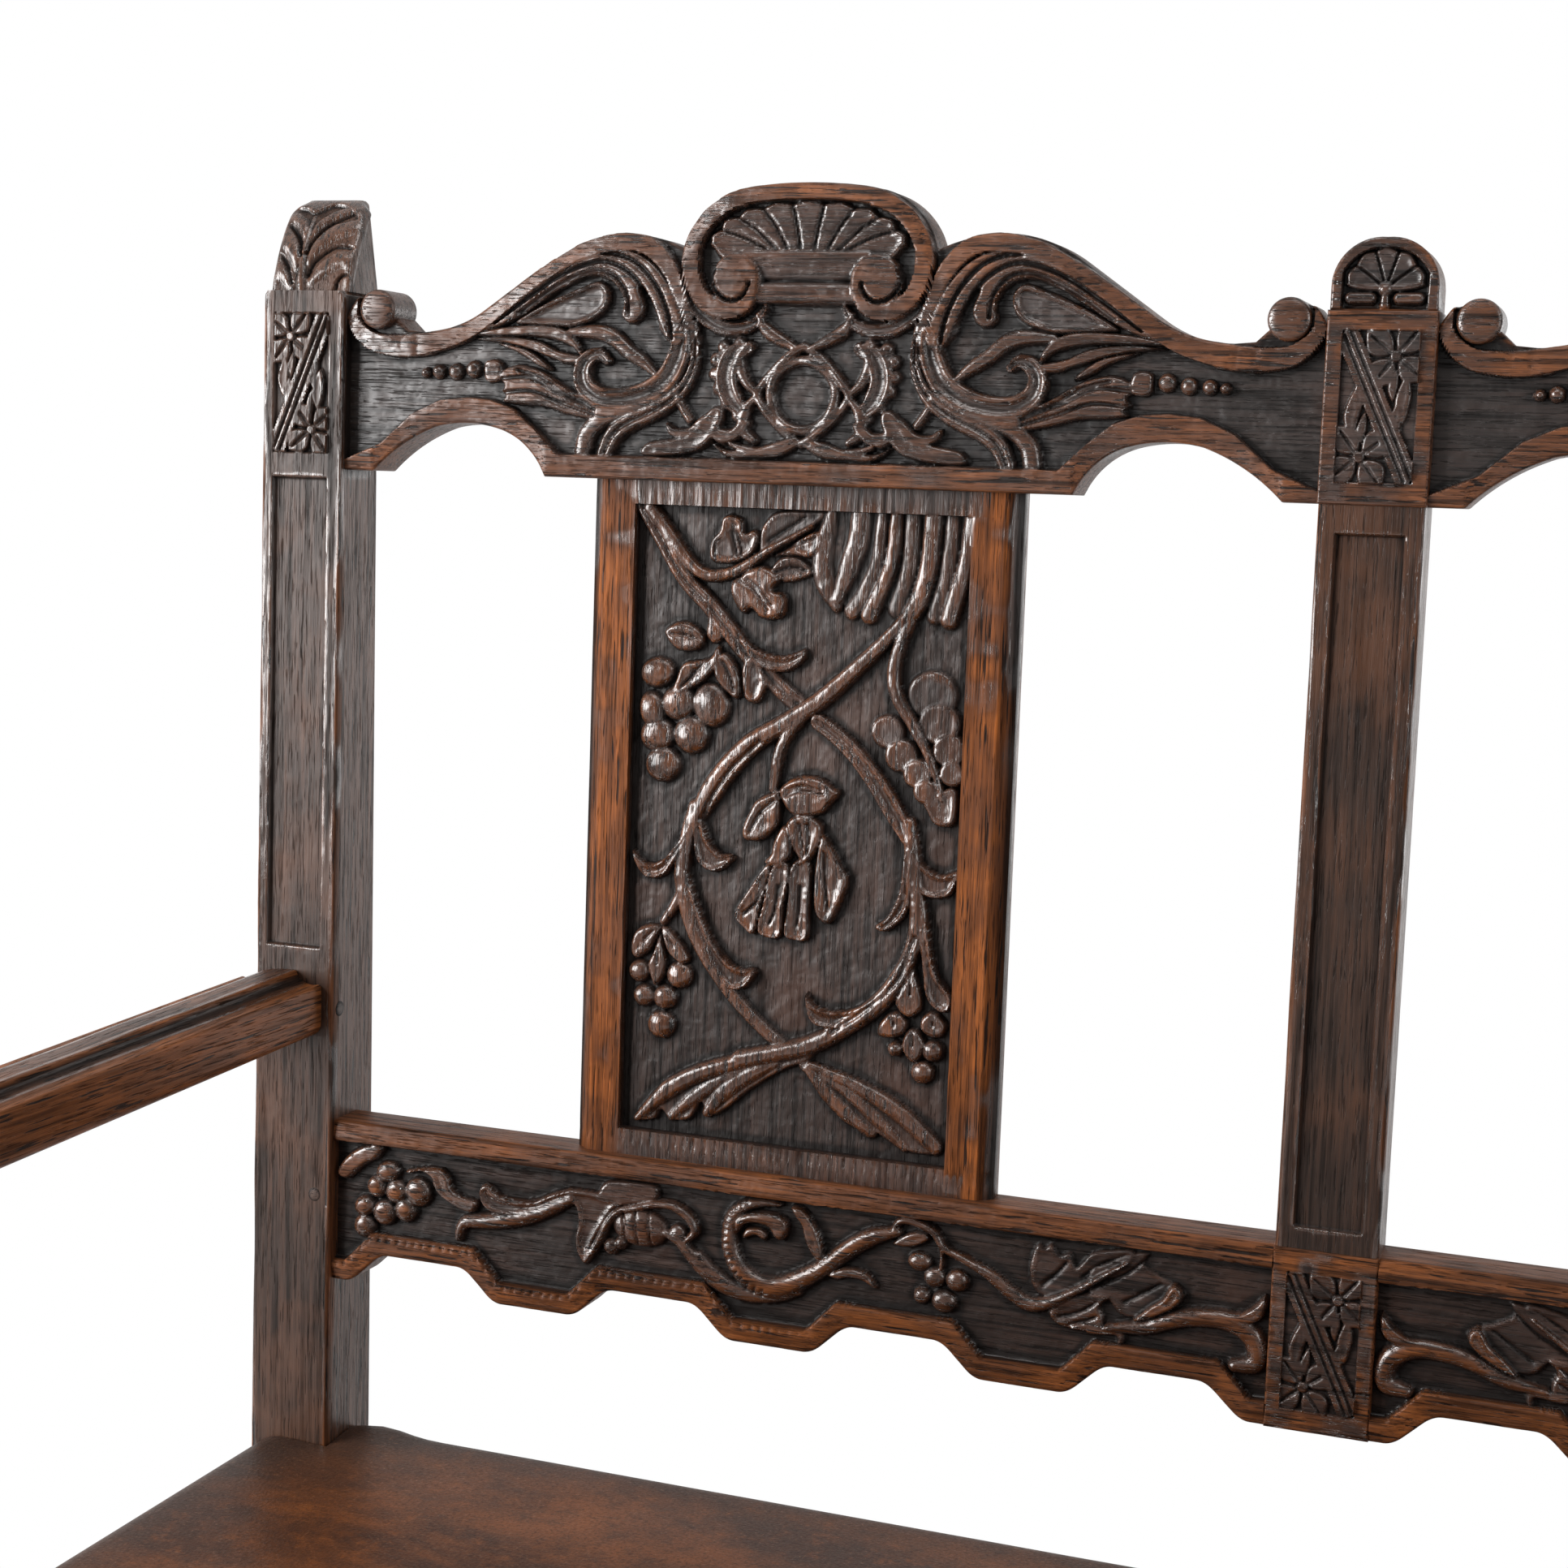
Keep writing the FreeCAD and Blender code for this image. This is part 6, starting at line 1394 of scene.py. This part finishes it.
# %% Finials
def carve_finial(wood):
    """Acanthus leaf of a finial: rounded fronds parted by curved grooves, a midrib, bulbs at the foot and
    a lip at the top."""
    wood.height += 2.0
    for points, half in ((((-8.5, 30), (-12, 38), (-18, 43)), (2, 3.6, 4.2)),
                         (((-9.5, 12), (-12, 20), (-17, 27), (-23, 31)), (2.4, 4.8, 5.8, 5.8)),
                         (((-11, 2), (-16, 9), (-22, 13)), (3, 5, 5)),
                         (((-5.5, 30), (-2, 38), (6, 45), (14, 48)), (1.8, 3.6, 4, 3.2)),
                         (((-3.5, 16), (0, 25), (8, 33), (20, 37)), (2.4, 5, 6.2, 6.2)),
                         (((0, 5), (6, 12), (14, 17), (23, 16)), (3, 5.6, 6, 5.4))):
        wood.ridge(points, half, (2.8, 3.6, 3.8, 3.4))
    wood.ridge(((-5.4, 0), (-6.6, 9.6), (-7.4, 20.9), (-7.5, 33.2), (-7.4, 43.6)), (2.6, 2.2, 1.8, 1.4, 0.8),
               (3.4, 3.4, 3.2, 2.8), across_full)
    wood.leaf(((-23.5, 39), (-22.2, 45.5), (-18.9, 48.2), (-13.4, 47.4), (-8.1, 44.5), (-3.1, 47.4),
               (1.6, 50.8), (8.4, 49.5), (16.2, 44), (23.5, 37), (25, 60), (0, 62), (-25, 60)), 5.4, 3.4)
    for points in (((-22.8, 38.9), (-16.3, 34.7), (-10.7, 26.9), (-8.7, 19.5)),
                   ((-22.3, 20.9), (-17.6, 16.7), (-13.5, 9.6), (-11.4, 4.3)),
                   ((-5.9, 20.9), (-3.9, 27.7), (1.3, 35.5), (8.4, 40.8), (14.6, 44.5)),
                   ((-2.5, 8.3), (-0.2, 15.2), (5.5, 20.9), (12.1, 24.6), (21.6, 23.4)),
                   ((14, -1), (15.4, 6), (19, 9), (24, 8))):
        wood.groove(points, 1.1, 2)


def finial():
    """Finial of the left post: a leaf-carved front that leans back, flat sides and a flat back."""
    profile = bend([(5.6, POST_TOP), (7.6, 1062.5), (11.6, 1074), (15.4, 1082), (19.6, 1089.5), (25, 1096.4),
                    (29.5, 1100.4), (32, 1102)], 14)
    run = np.hypot(*np.diff(profile, axis=0).T)
    length = np.concatenate([[0], np.cumsum(run)])
    rows = np.linspace(0, length[-1], 84)
    depth, level = np.interp(rows, length, profile[:, 0]), np.interp(rows, length, profile[:, 1])
    lean = np.gradient(depth, rows), np.gradient(level, rows)
    u = graded((-1, -0.93, 0.012), (-0.93, 0.93, 0.03), (0.93, 1, 0.012))
    share = rows / length[-1]
    half = 23.2 - 6.0 * smooth_step(0.76, 1.0, share) ** 2
    x = u[None, :] * half[:, None]
    s = np.broadcast_to(rows[:, None], x.shape)
    wood = Carving(x.copy(), s.copy())
    carve_finial(wood)
    plain = smooth_step(-6.0, -0.5, np.abs(x) - half[:, None])
    wood.height = wood.height * (1 - plain) + 2.6 * plain
    wood.tooled(61, 0.04)
    wear, hollow = wood.worn_and_hollow(3)
    lift = wood.height - 2.6 - arris_drop(half[:, None] - np.abs(x), 3.0)
    y = POST_FRONT + depth[:, None] - lift * lean[1][:, None]
    z = level[:, None] + np.minimum(lift, 0.4) * lean[0][:, None]
    z[0] = POST_TOP
    wear = np.maximum(0.45 * wear, 0.27 * smooth_step(1.6, 3.0, wood.height))
    # Painted shade: the finial's grooves are darkened half as much again.
    return board_shell(x - POST_CENTRE, y, z, POST_TOP_BACK, wear, np.clip(1.5 * hollow, 0, 1), SIDE_WEAR)


leaf = make_piece("finial_left", finial(), oak_upright, ["back_post_left"])
mirrored_piece("finial_right", leaf, ["back_post_right"])

# %% [markdown]
# ## Muntin
# The upright between the panels is made from rings like the posts, with one long sunk field.

# %% Muntin
MUNTIN_HALF, MUNTIN_FRONT = 23.5, 207.5


def carve_muntin(wood):
    """Long plain field down the muntin's front."""
    sink_field(wood, -15.5, 15.5, 634.8, 951.6, 2.5)


def muntin_back(level):
    """Depth of the muntin's back, the same at every level."""
    return np.full_like(level, RAIL_BACK)


muntin_rows = graded((LOWER_TOP, 632, 1.5), (632, 637, 0.5), (637, 949, 3), (949, 954, 0.5),
                     (954, CREST_LOW, 1.5))
muntin = ring_upright(0, MUNTIN_HALF, MUNTIN_FRONT, muntin_back, muntin_rows, carve_muntin, 2.2)
make_piece("muntin", muntin, oak_upright, ["centre_muntin"])

# %% [markdown]
# ## Arms
# An arm is one moulded section carried along a line: down a gentle slope from the post, then round in a roll
# at the front. The section has a flat-topped rib in its middle and a hollow on each side, and its grain stands
# open after long handling. A bevelled curve would sweep it too, but arrays also let the top be worn unevenly.

# %% Arms
ARM_CENTRE, ARM_HALF, ARM_MID = 547.8, 24.5, 686.4
ARM_SLOPE, ARM_TURN, ARM_ROLL = math.radians(2.1), -200.25, 34.0


def arm_section():
    """Half section of an arm from the middle of its top to the middle of its underside, as (out, up)."""
    cove = arc((10.6, 14.2), (15.0, 11.0), (22.6, 10.5), 12)
    shoulder = arc((22.6, 10.5), (24.1, 9.9), (24.5, 8.4), 5)
    under = arc((24.5, -10), (22.4, -14.9), (17.5, -17), 10)
    return np.vstack([[(0, 17.2), (3, 17.2), (6, 17.15), (8.4, 17.0), (9.5, 16.7), (10.1, 16.1),
                       (10.3, 15.2)], cove, shoulder[1:], [(24.5, 5), (24.5, 1), (24.5, -3), (24.5, -7)],
                      under, [(12, -17), (6, -17), (0, -17)]])


def arm_path():
    """Line of an arm's middle as (y, z): a straight run from the post, then an arc of the roll."""
    run = np.linspace(POST_FRONT, ARM_TURN, 110)
    straight = np.stack([run, ARM_MID - (POST_FRONT - run) * math.tan(ARM_SLOPE)], -1)
    hub = straight[-1] + ARM_ROLL * np.array([math.sin(ARM_SLOPE), -math.cos(ARM_SLOPE)])
    turns = math.pi / 2 + ARM_SLOPE + np.linspace(0, math.radians(115), 44)[1:]
    return np.vstack([straight, hub + ARM_ROLL * np.stack([np.cos(turns), np.sin(turns)], -1)])


def arm_body():
    """Left arm: the section swept along the path, its upper side roughened by open grain and dips."""
    half = arm_section()
    section = np.vstack([half, (half * (-1, 1))[-2:0:-1]])
    path = arm_path()
    tangent = np.gradient(path, axis=0)
    tangent /= np.hypot(*tangent.T)[:, None]
    up = np.stack([-tangent[:, 1], tangent[:, 0]], -1) * -1
    out = np.broadcast_to(section[:, 0], (len(path), len(section)))
    rise = np.broadcast_to(section[:, 1], out.shape)
    place = np.broadcast_to(np.cumsum(np.hypot(*np.gradient(path, axis=0).T))[:, None], out.shape)
    worn_top = smooth_step(14, 17, rise)
    dips = 0.35 + 0.35 * lattice_noise(out, place, 46, 3) + 0.004 * (out - 10) ** 2 * (out < 10)
    rise = rise - worn_top * dips
    y = path[:, :1] + rise * up[:, :1]
    z = path[:, 1:] + rise * up[:, 1:]
    points = np.stack([out - ARM_CENTRE, y, z], -1).reshape(-1, 3)
    outer = np.exp(-((np.abs(out) - 24.2) / 0.9) ** 2) * smooth_step(6, 9, rise)
    arris = np.exp(-((np.abs(out) - 9.6) / 1.4) ** 2) + outer
    side = 0.95 * smooth_step(14.5, 18, np.abs(out))
    wear = np.clip(np.maximum(arris, side) * (0.88 + 0.25 * lattice_noise(out + rise, place, 33, 5)), 0, 1)
    # Painted shade: the cove under the top's edge is darkened as a hollow.
    cove = smooth_step(9.9, 10.6, np.abs(out)) * (1 - smooth_step(12.5, 16, np.abs(out)))
    hollow = cove * smooth_step(9, 10.4, rise) * (1 - worn_top)
    return points, tube_faces(*out.shape, flip=True), wear.ravel(), hollow.ravel()


arm = make_piece("arm_left_moulded", arm_body(), oak_forward, ["arm_left"], 50)
mirrored_piece("arm_right_moulded", arm, ["arm_right"])


# %% Arm rolls
def drum(centre, radius, half, around=64):
    """Short round drum across the bench: rounded at its rim, with faces that rise slightly to the middle."""
    inward = np.linspace(0.9, 0.08, 7)
    cap = np.stack([radius * inward, half + 0.5 * (1 - inward ** 2)], -1)
    rim = np.array([(radius, 0.0), (radius, 0.55 * half), (radius, half - 1.2), (radius * 0.985, half - 0.35),
                    (radius * 0.95, half)])
    side = np.vstack([rim, cap])
    profile = np.vstack([side[::-1] * (1, -1), side[1:]])
    turn = np.linspace(0, 2 * math.pi, around, endpoint=False)
    x = np.broadcast_to(profile[:, 1:], (len(profile), around))
    points = np.stack([x, profile[:, :1] * np.cos(turn), profile[:, :1] * np.sin(turn)], -1).reshape(-1, 3)
    wear = np.broadcast_to(np.exp(-((np.abs(profile[:, 1:]) - half) / 1.5) ** 2) * 0.7, (len(profile), around))
    return points + centre, tube_faces(len(profile), around), wear.ravel(), None


ROLL_RADIUS = 17.0
roll = drum((-ARM_CENTRE, *arm_path()[-1]), ROLL_RADIUS, ARM_HALF + 0.5)
roll = make_piece("arm_roll_left", roll, oak_forward, ["arm_left"])
mirrored_piece("arm_roll_right", roll, ["arm_right"])

# %% [markdown]
# ## The leather seat
# The hide is stretched over the stuffing, folded down over the rails and cut tightly round the posts. A cloth
# simulation could drape it, but a hide drawn tight hardly folds, and a shape in code keeps the cuts exact. It
# is one sheet: a grid over the seat that falls in a quarter circle at the edges, with a skirt below, and then
# given thickness.

# %% Leather sheet
SEAT_HALF, SEAT_FRONT, SEAT_REAR, SEAT_TOP, SEAT_HEM, SEAT_ROUND = 562.0, -212.0, 246.0, 450.0, 372.0, 18.0
NOTCH_X, NOTCH_Y, SKIRT_ROWS = 515.7, 203.0, 11


def folded(start, stop, step):
    """Line places across the seat: even in the middle, closer by a cosine where each edge rounds over."""
    turn = SEAT_ROUND * (1 - np.cos(np.linspace(0, math.pi / 2, 10)))
    middle = graded((start + SEAT_ROUND, stop - SEAT_ROUND, step))
    return np.unique(np.round(np.concatenate([start + turn, middle, stop - turn]), 3))


def seat_surface(x, y):
    """Level of the hide: a slight crown and soft waves, a quarter-circle fall at the edges and a dip at
    each post."""
    in_x, in_y = SEAT_HALF - np.abs(x), np.minimum(y - SEAT_FRONT, SEAT_REAR - y)
    crown = 3.0 * smooth_step(0, 160, in_x) * smooth_step(0, 120, in_y)
    waves = 0.8 * lattice_noise(x, y, 130, 3) + 0.35 * lattice_noise(x, y, 41, 9)
    fall = arris_drop(np.minimum(in_x, in_y), SEAT_ROUND)
    tuck = 1.6 * np.exp(-((np.abs(x) - NOTCH_X) / 14) ** 2 - ((NOTCH_Y - y) / 12) ** 2)
    swell = 3.5 * np.exp(-((np.abs(x) - 498) / 17) ** 2 - ((y - 238) / 24) ** 2)
    return SEAT_TOP - 0.6 + crown + waves * smooth_step(0, 40, np.minimum(in_x, in_y)) - fall - tuck + swell


def seat_sheet():
    """Points and faces of the hide's outer side, from the top grid and a skirt hung from its rim."""
    across = np.unique(np.append(folded(-SEAT_HALF, SEAT_HALF, 9), (-NOTCH_X, NOTCH_X)))
    deep = np.unique(np.append(folded(SEAT_FRONT, SEAT_REAR, 9), NOTCH_Y))
    x, y = np.meshgrid(across, deep)
    gone = (np.abs(x[:-1, :-1] + x[:-1, 1:]) / 2 > NOTCH_X) & ((y[:-1, :-1] + y[1:, :-1]) / 2 > NOTCH_Y)
    top = np.stack([x, y, seat_surface(x, y)], -1)
    corner = np.arange(x.size).reshape(x.shape)
    quads = quads_of(corner)[~gone.ravel()]
    left, right = np.searchsorted(across, (-NOTCH_X, NOTCH_X))
    step = np.searchsorted(deep, NOTCH_Y)
    rim = np.concatenate([corner[0, :-1], corner[:step, -1], corner[step, :right:-1], corner[step:-1, right],
                          corner[-1, right:left:-1], corner[:step:-1, left], corner[step, left:0:-1],
                          corner[step:0:-1, 0]])
    edge = top.reshape(-1, 3)[rim]
    run = np.concatenate([[0], np.cumsum(np.hypot(*np.diff(edge[:, :2], axis=0).T))])
    drops = np.linspace(0, 1, SKIRT_ROWS + 1)[1:, None]
    hung = np.repeat(edge[None], SKIRT_ROWS, axis=0)
    hung[..., 2] = edge[None, :, 2] + drops * (SEAT_HEM - edge[None, :, 2])
    hung[..., 0] *= 1 - 0.0016 * np.sin(drops * math.pi) * (1 + 0.5 * np.cos(run / 24 * 2 * math.pi))
    points = np.vstack([top.reshape(-1, 3), hung.reshape(-1, 3)])
    ring = np.vstack([rim, x.size + np.arange(SKIRT_ROWS * len(rim)).reshape(SKIRT_ROWS, -1)])
    skirt = quads_of(np.concatenate([ring, ring[:, :1]], axis=1))[:, [0, 3, 2, 1]]
    faces = np.vstack([quads, skirt])
    kept, numbers = np.unique(faces, return_inverse=True)
    return points[kept], numbers.reshape(-1, 4)


# %% Leather finish
def leather_finish():
    """Old brown hide: rubbed orange-brown middle, edges and post surroundings darkened grey-brown by painted
    shade, fine scratches and pebbled grain.
    """
    finish, add, here = new_finish("worn_leather")
    noise, ramp, mix, times, plus = finish_sums(add)
    drawn = add("ShaderNodeMapping", {"Vector": here, "Scale": (7.0, 16.0, 16.0)}).outputs[0]
    slanted = add("ShaderNodeMapping",
                  {"Vector": here, "Rotation": (0, 0, 0.6), "Scale": (900, 60, 60)}).outputs[0]
    cloud = noise(drawn, 1.0, 7.0, 0.62, 0.6)
    stain = noise(drawn, 1.9, 4.0, 0.5, 0.9)
    fleck = noise(here, 520.0, 4.0, 0.75)
    mottle = noise(here, 62.0, 7.0, 0.72)
    pebble = add("ShaderNodeTexVoronoi", {"Vector": here, "Scale": 620.0}).outputs["Distance"]
    scratch = noise(slanted, 1.0, 2.0)
    rubbed, painted_edge_shade = (add("ShaderNodeAttribute", attribute_name=label).outputs["Fac"]
                     for label in ("wear", "hollow"))
    colour = mix(ramp(cloud, 0.34, 0.64), (0.046, 0.0155, 0.0060), (0.104, 0.0320, 0.0092))
    colour = mix(times(rubbed, ramp(cloud, 0.40, 0.66, 0.0, 0.95)), colour, (0.205, 0.062, 0.0140))
    colour = mix(ramp(stain, 0.48, 0.76, 0.0, 0.32), colour, (0.036, 0.0170, 0.0105))
    colour = mix(ramp(mottle, 0.50, 0.66, 0.0, 0.6), colour, (0.030, 0.0115, 0.0052))
    colour = mix(ramp(mottle, 0.46, 0.34, 0.0, 0.55), colour, (0.210, 0.0640, 0.0145))
    # Painted shade: darker grey-brown near the seat's edges and round the posts.
    colour = mix(times(painted_edge_shade, 0.75), colour, (0.034, 0.022, 0.017))
    colour = mix(ramp(fleck, 0.50, 0.66, 0.0, 0.55), colour, (0.022, 0.010, 0.0065))
    colour = mix(ramp(fleck, 0.40, 0.30, 0.0, 0.4), colour, (0.30, 0.13, 0.055))
    colour = mix(ramp(scratch, 0.72, 0.76, 0.0, 0.35), colour, (0.24, 0.12, 0.06))
    rough = ramp(fleck, 0.3, 0.7, 0.36, 0.52)
    height = plus(times(pebble, 0.6), fleck)
    close_finish(add, height, 0.35, 0.0004,
                 {"Base Color": colour, "Roughness": rough, "Specular IOR Level": 0.09})
    return finish


# %% Leather seat
points, faces = seat_sheet()
x, y, _ = points.T
gap = np.minimum(SEAT_HALF - np.abs(x), np.minimum(y - SEAT_FRONT, SEAT_REAR - y))
post_gap = np.hypot(np.abs(x) - 530, y - 210)
rubbed = smooth_step(4, 60, gap) * (0.75 + 0.35 * lattice_noise(x, y, 160, 4))
# Painted shade: the hide darkens towards its edges and round the posts.
edge_and_post_shade = np.clip(np.exp(-(gap / 26) ** 2) + np.exp(-(post_gap / 70) ** 2), 0, 1)
leather = make_piece("leather_seat", (points, faces, rubbed, edge_and_post_shade), leather_finish(), ["leather_cover"],
                     70)
hide = leather.modifiers.new("hide_thickness", "SOLIDIFY")
hide.thickness = 0.002
hide.offset = -1

# %% [markdown]
# ## Nails and pegs
# Brass nails hold the hide's lower edge, and oak pegs lock the tenons. Many equal heads could be copied one by
# one, but one array places them all, and each has only a few dozen faces.

# %% Nails
NAIL_LEVEL, NAIL_RADIUS, NAIL_RISE, NAIL_PITCH = 378.0, 4.5, 2.2, 24.0
LONG_NAILS, SIDE_NAILS, SIDE_MIDDLE = 42, 15, 18.5


def stud_heads(places, outward, radius, rise, around=12):
    """Equal domed heads: each stands on its place, rises in its outward direction and is closed behind."""
    turn = np.linspace(0, 2 * math.pi, around, endpoint=False)
    rings = np.array([(1.0, -0.25), (1.0, 0.12), (0.86, 0.55), (0.55, 0.88), (0.2, 1.0)])
    places, outward = np.asarray(places, float), np.asarray(outward, float)
    up = np.broadcast_to([0.0, 0, 1], outward.shape)
    aside = np.cross(outward, up)
    wide, high = rings[:, 0] * radius, rings[:, 1] * rise
    circle = np.cos(turn)[None, :, None] * aside[:, None, :] + np.sin(turn)[None, :, None] * up[:, None, :]
    points = places[:, None, None] + wide[None, :, None, None] * circle[:, None]
    points = points + high[None, :, None, None] * outward[:, None, None]
    corner = np.arange(points[..., 0].size).reshape(points.shape[:3])
    loop = np.concatenate([corner, corner[:, :, :1]], axis=2)
    quads = np.stack([loop[:, :-1, :-1], loop[:, 1:, :-1], loop[:, 1:, 1:], loop[:, :-1, 1:]],
                     -1).reshape(-1, 4)
    faces = [*quads, *corner[:, 0], *corner[:, -1, ::-1]]
    shade = np.broadcast_to(rings[None, :, 1:], points.shape[:3])
    return points.reshape(-1, 3), faces, shade.ravel()


def nail_places():
    """Places and outward directions of the nails along the front, the sides and the back of the seat."""
    front = (np.arange(LONG_NAILS) - (LONG_NAILS - 1) / 2) * NAIL_PITCH
    sides = SIDE_MIDDLE + (np.arange(SIDE_NAILS) - (SIDE_NAILS - 1) / 2) * NAIL_PITCH
    runs = [(np.stack([front, 0 * front + SEAT_FRONT], -1), (0, -1, 0)),
            (np.stack([front, 0 * front + SEAT_REAR], -1), (0, 1, 0)),
            (np.stack([0 * sides - SEAT_HALF, sides], -1), (-1, 0, 0)),
            (np.stack([0 * sides + SEAT_HALF, sides], -1), (1, 0, 0))]
    flat = np.vstack([run for run, _ in runs])
    outward = np.vstack([np.broadcast_to(away, (len(run), 3)) for run, away in runs])
    return np.column_stack([flat, np.full(len(flat), NAIL_LEVEL)]), outward


def metal_finish(name, colour, rough):
    """Aged metal: brown tarnish in random patches, with brighter metal between them."""
    finish, add, here = new_finish(name)
    noise, _, mix, _, _ = finish_sums(add)
    patch = noise(here, 160.0, 4.0)
    tone = mix(patch, tuple(0.35 * part for part in colour), colour)
    close_finish(add, patch, 0.2, 0.0003, {"Base Color": tone, "Metallic": 1.0, "Roughness": rough})
    return finish


places, outward = nail_places()
points, faces, _ = stud_heads(places, outward, NAIL_RADIUS, NAIL_RISE)
brass = metal_finish("aged_brass", (0.34, 0.25, 0.12), 0.38)
make_piece("nail_heads", (points, faces, None, None), brass, ["cover_nails"])

# %% Pegs
PEG_RADIUS, PEG_RISE = 4.0, 0.5
peg_oak = oak_finish("peg_end_grain", "y", (0.016, 0.010, 0.008), (0.060, 0.032, 0.022), (0.14, 0.06, 0.03))
arm_sites = [(side * 516.6, 211.5, 683.7) for side in (-1, 1)]
lower_sites = [(side * 525.7, 204.2, 584.4) for side in (-1, 1)]
crest_sites = [(side * 530, 239.4, level) for side in (-1, 1) for level in (989, 1015)]
for label, sites, away in (("arm_pegs", arm_sites, None), ("lower_rail_pegs", lower_sites, (0, -1, 0)),
                           ("crest_pegs", crest_sites, (0, 1, 0))):
    aim = [(-np.sign(site[0]), 0, 0) if away is None else away for site in sites]
    points, faces, shade = stud_heads(sites, aim, PEG_RADIUS, PEG_RISE, 20)
    # Painted shade: the low rings of each peg head are darkened as a hollow.
    shape = points, faces, None, np.where(shade < 0.6, 1.0, 0.0)
    make_piece(f"{label}_ends", shape, peg_oak, [label])

# %% [markdown]
# ## The frame below the seat
# Rails, stretchers, braces and legs already have their right shapes in the fixed frame, so they only take a
# finish whose grain runs along each piece. Straps, cloth and stuffing under the hide get plain woven looks.

# %% Finishes for the pieces kept as they are
def woven_finish(name, colour, pitch):
    """Plain weave: two sets of threads, each a wave across the cloth, over and under each other."""
    finish, add, here = new_finish(name)
    noise, _, mix, times, _ = finish_sums(add)
    scale = 1000 / pitch / (2 * math.pi)
    warp, weft = (add("ShaderNodeTexWave", {"Vector": here, "Scale": scale, "Distortion": 1.5, "Detail": 2.0},
                      bands_direction=axis).outputs["Fac"] for axis in ("X", "Y"))
    cloth = add("ShaderNodeMath", {0: warp, 1: weft}, operation="MAXIMUM").outputs[0]
    shade = times(cloth, noise(here, 40.0, 5.0))
    tone = mix(shade, tuple(0.35 * part for part in colour), tuple(1.3 * part for part in colour))
    close_finish(add, cloth, 0.6, 0.0006, {"Base Color": tone, "Roughness": 0.9})
    return finish


oak_seat = oak_finish("oak_of_the_seat_frame", "x", (0.012, 0.0070, 0.0050), (0.055, 0.0220, 0.0105),
                      sheen=0.25)
raw_oak = oak_finish("raw_oak", "x", (0.10, 0.062, 0.036), (0.22, 0.145, 0.085), (0.26, 0.17, 0.10), 0.6)
jute = woven_finish("jute_webbing", (0.30, 0.22, 0.14), 3.0)
hessian = woven_finish("hessian", (0.36, 0.28, 0.18), 1.6)
felt = woven_finish("stuffing_felt", (0.40, 0.33, 0.25), 5.0)
corners = [f"corner_brace_{end}_{side}" for end in ("front", "back") for side in ("left", "right")]
kept = {oak_upright: ["front_leg_left", "front_leg_right"],
        oak_seat: ["seat_rail_front", "seat_rail_back", "stretcher_centre"],
        oak_forward: ["seat_rail_left", "seat_rail_right", "stretcher_left", "stretcher_right"],
        raw_oak: ["seat_cross_brace", *corners],
        jute: ["webbing_across", "webbing_along"], hessian: ["hessian_base"], felt: ["seat_stuffing"]}
for finish, names in kept.items():
    for name in names:
        node = nodes[name]
        node.material_slots[0].link = "OBJECT"
        node.material_slots[0].material = finish
print("kept pieces:", sum(len(names) for names in kept.values()))
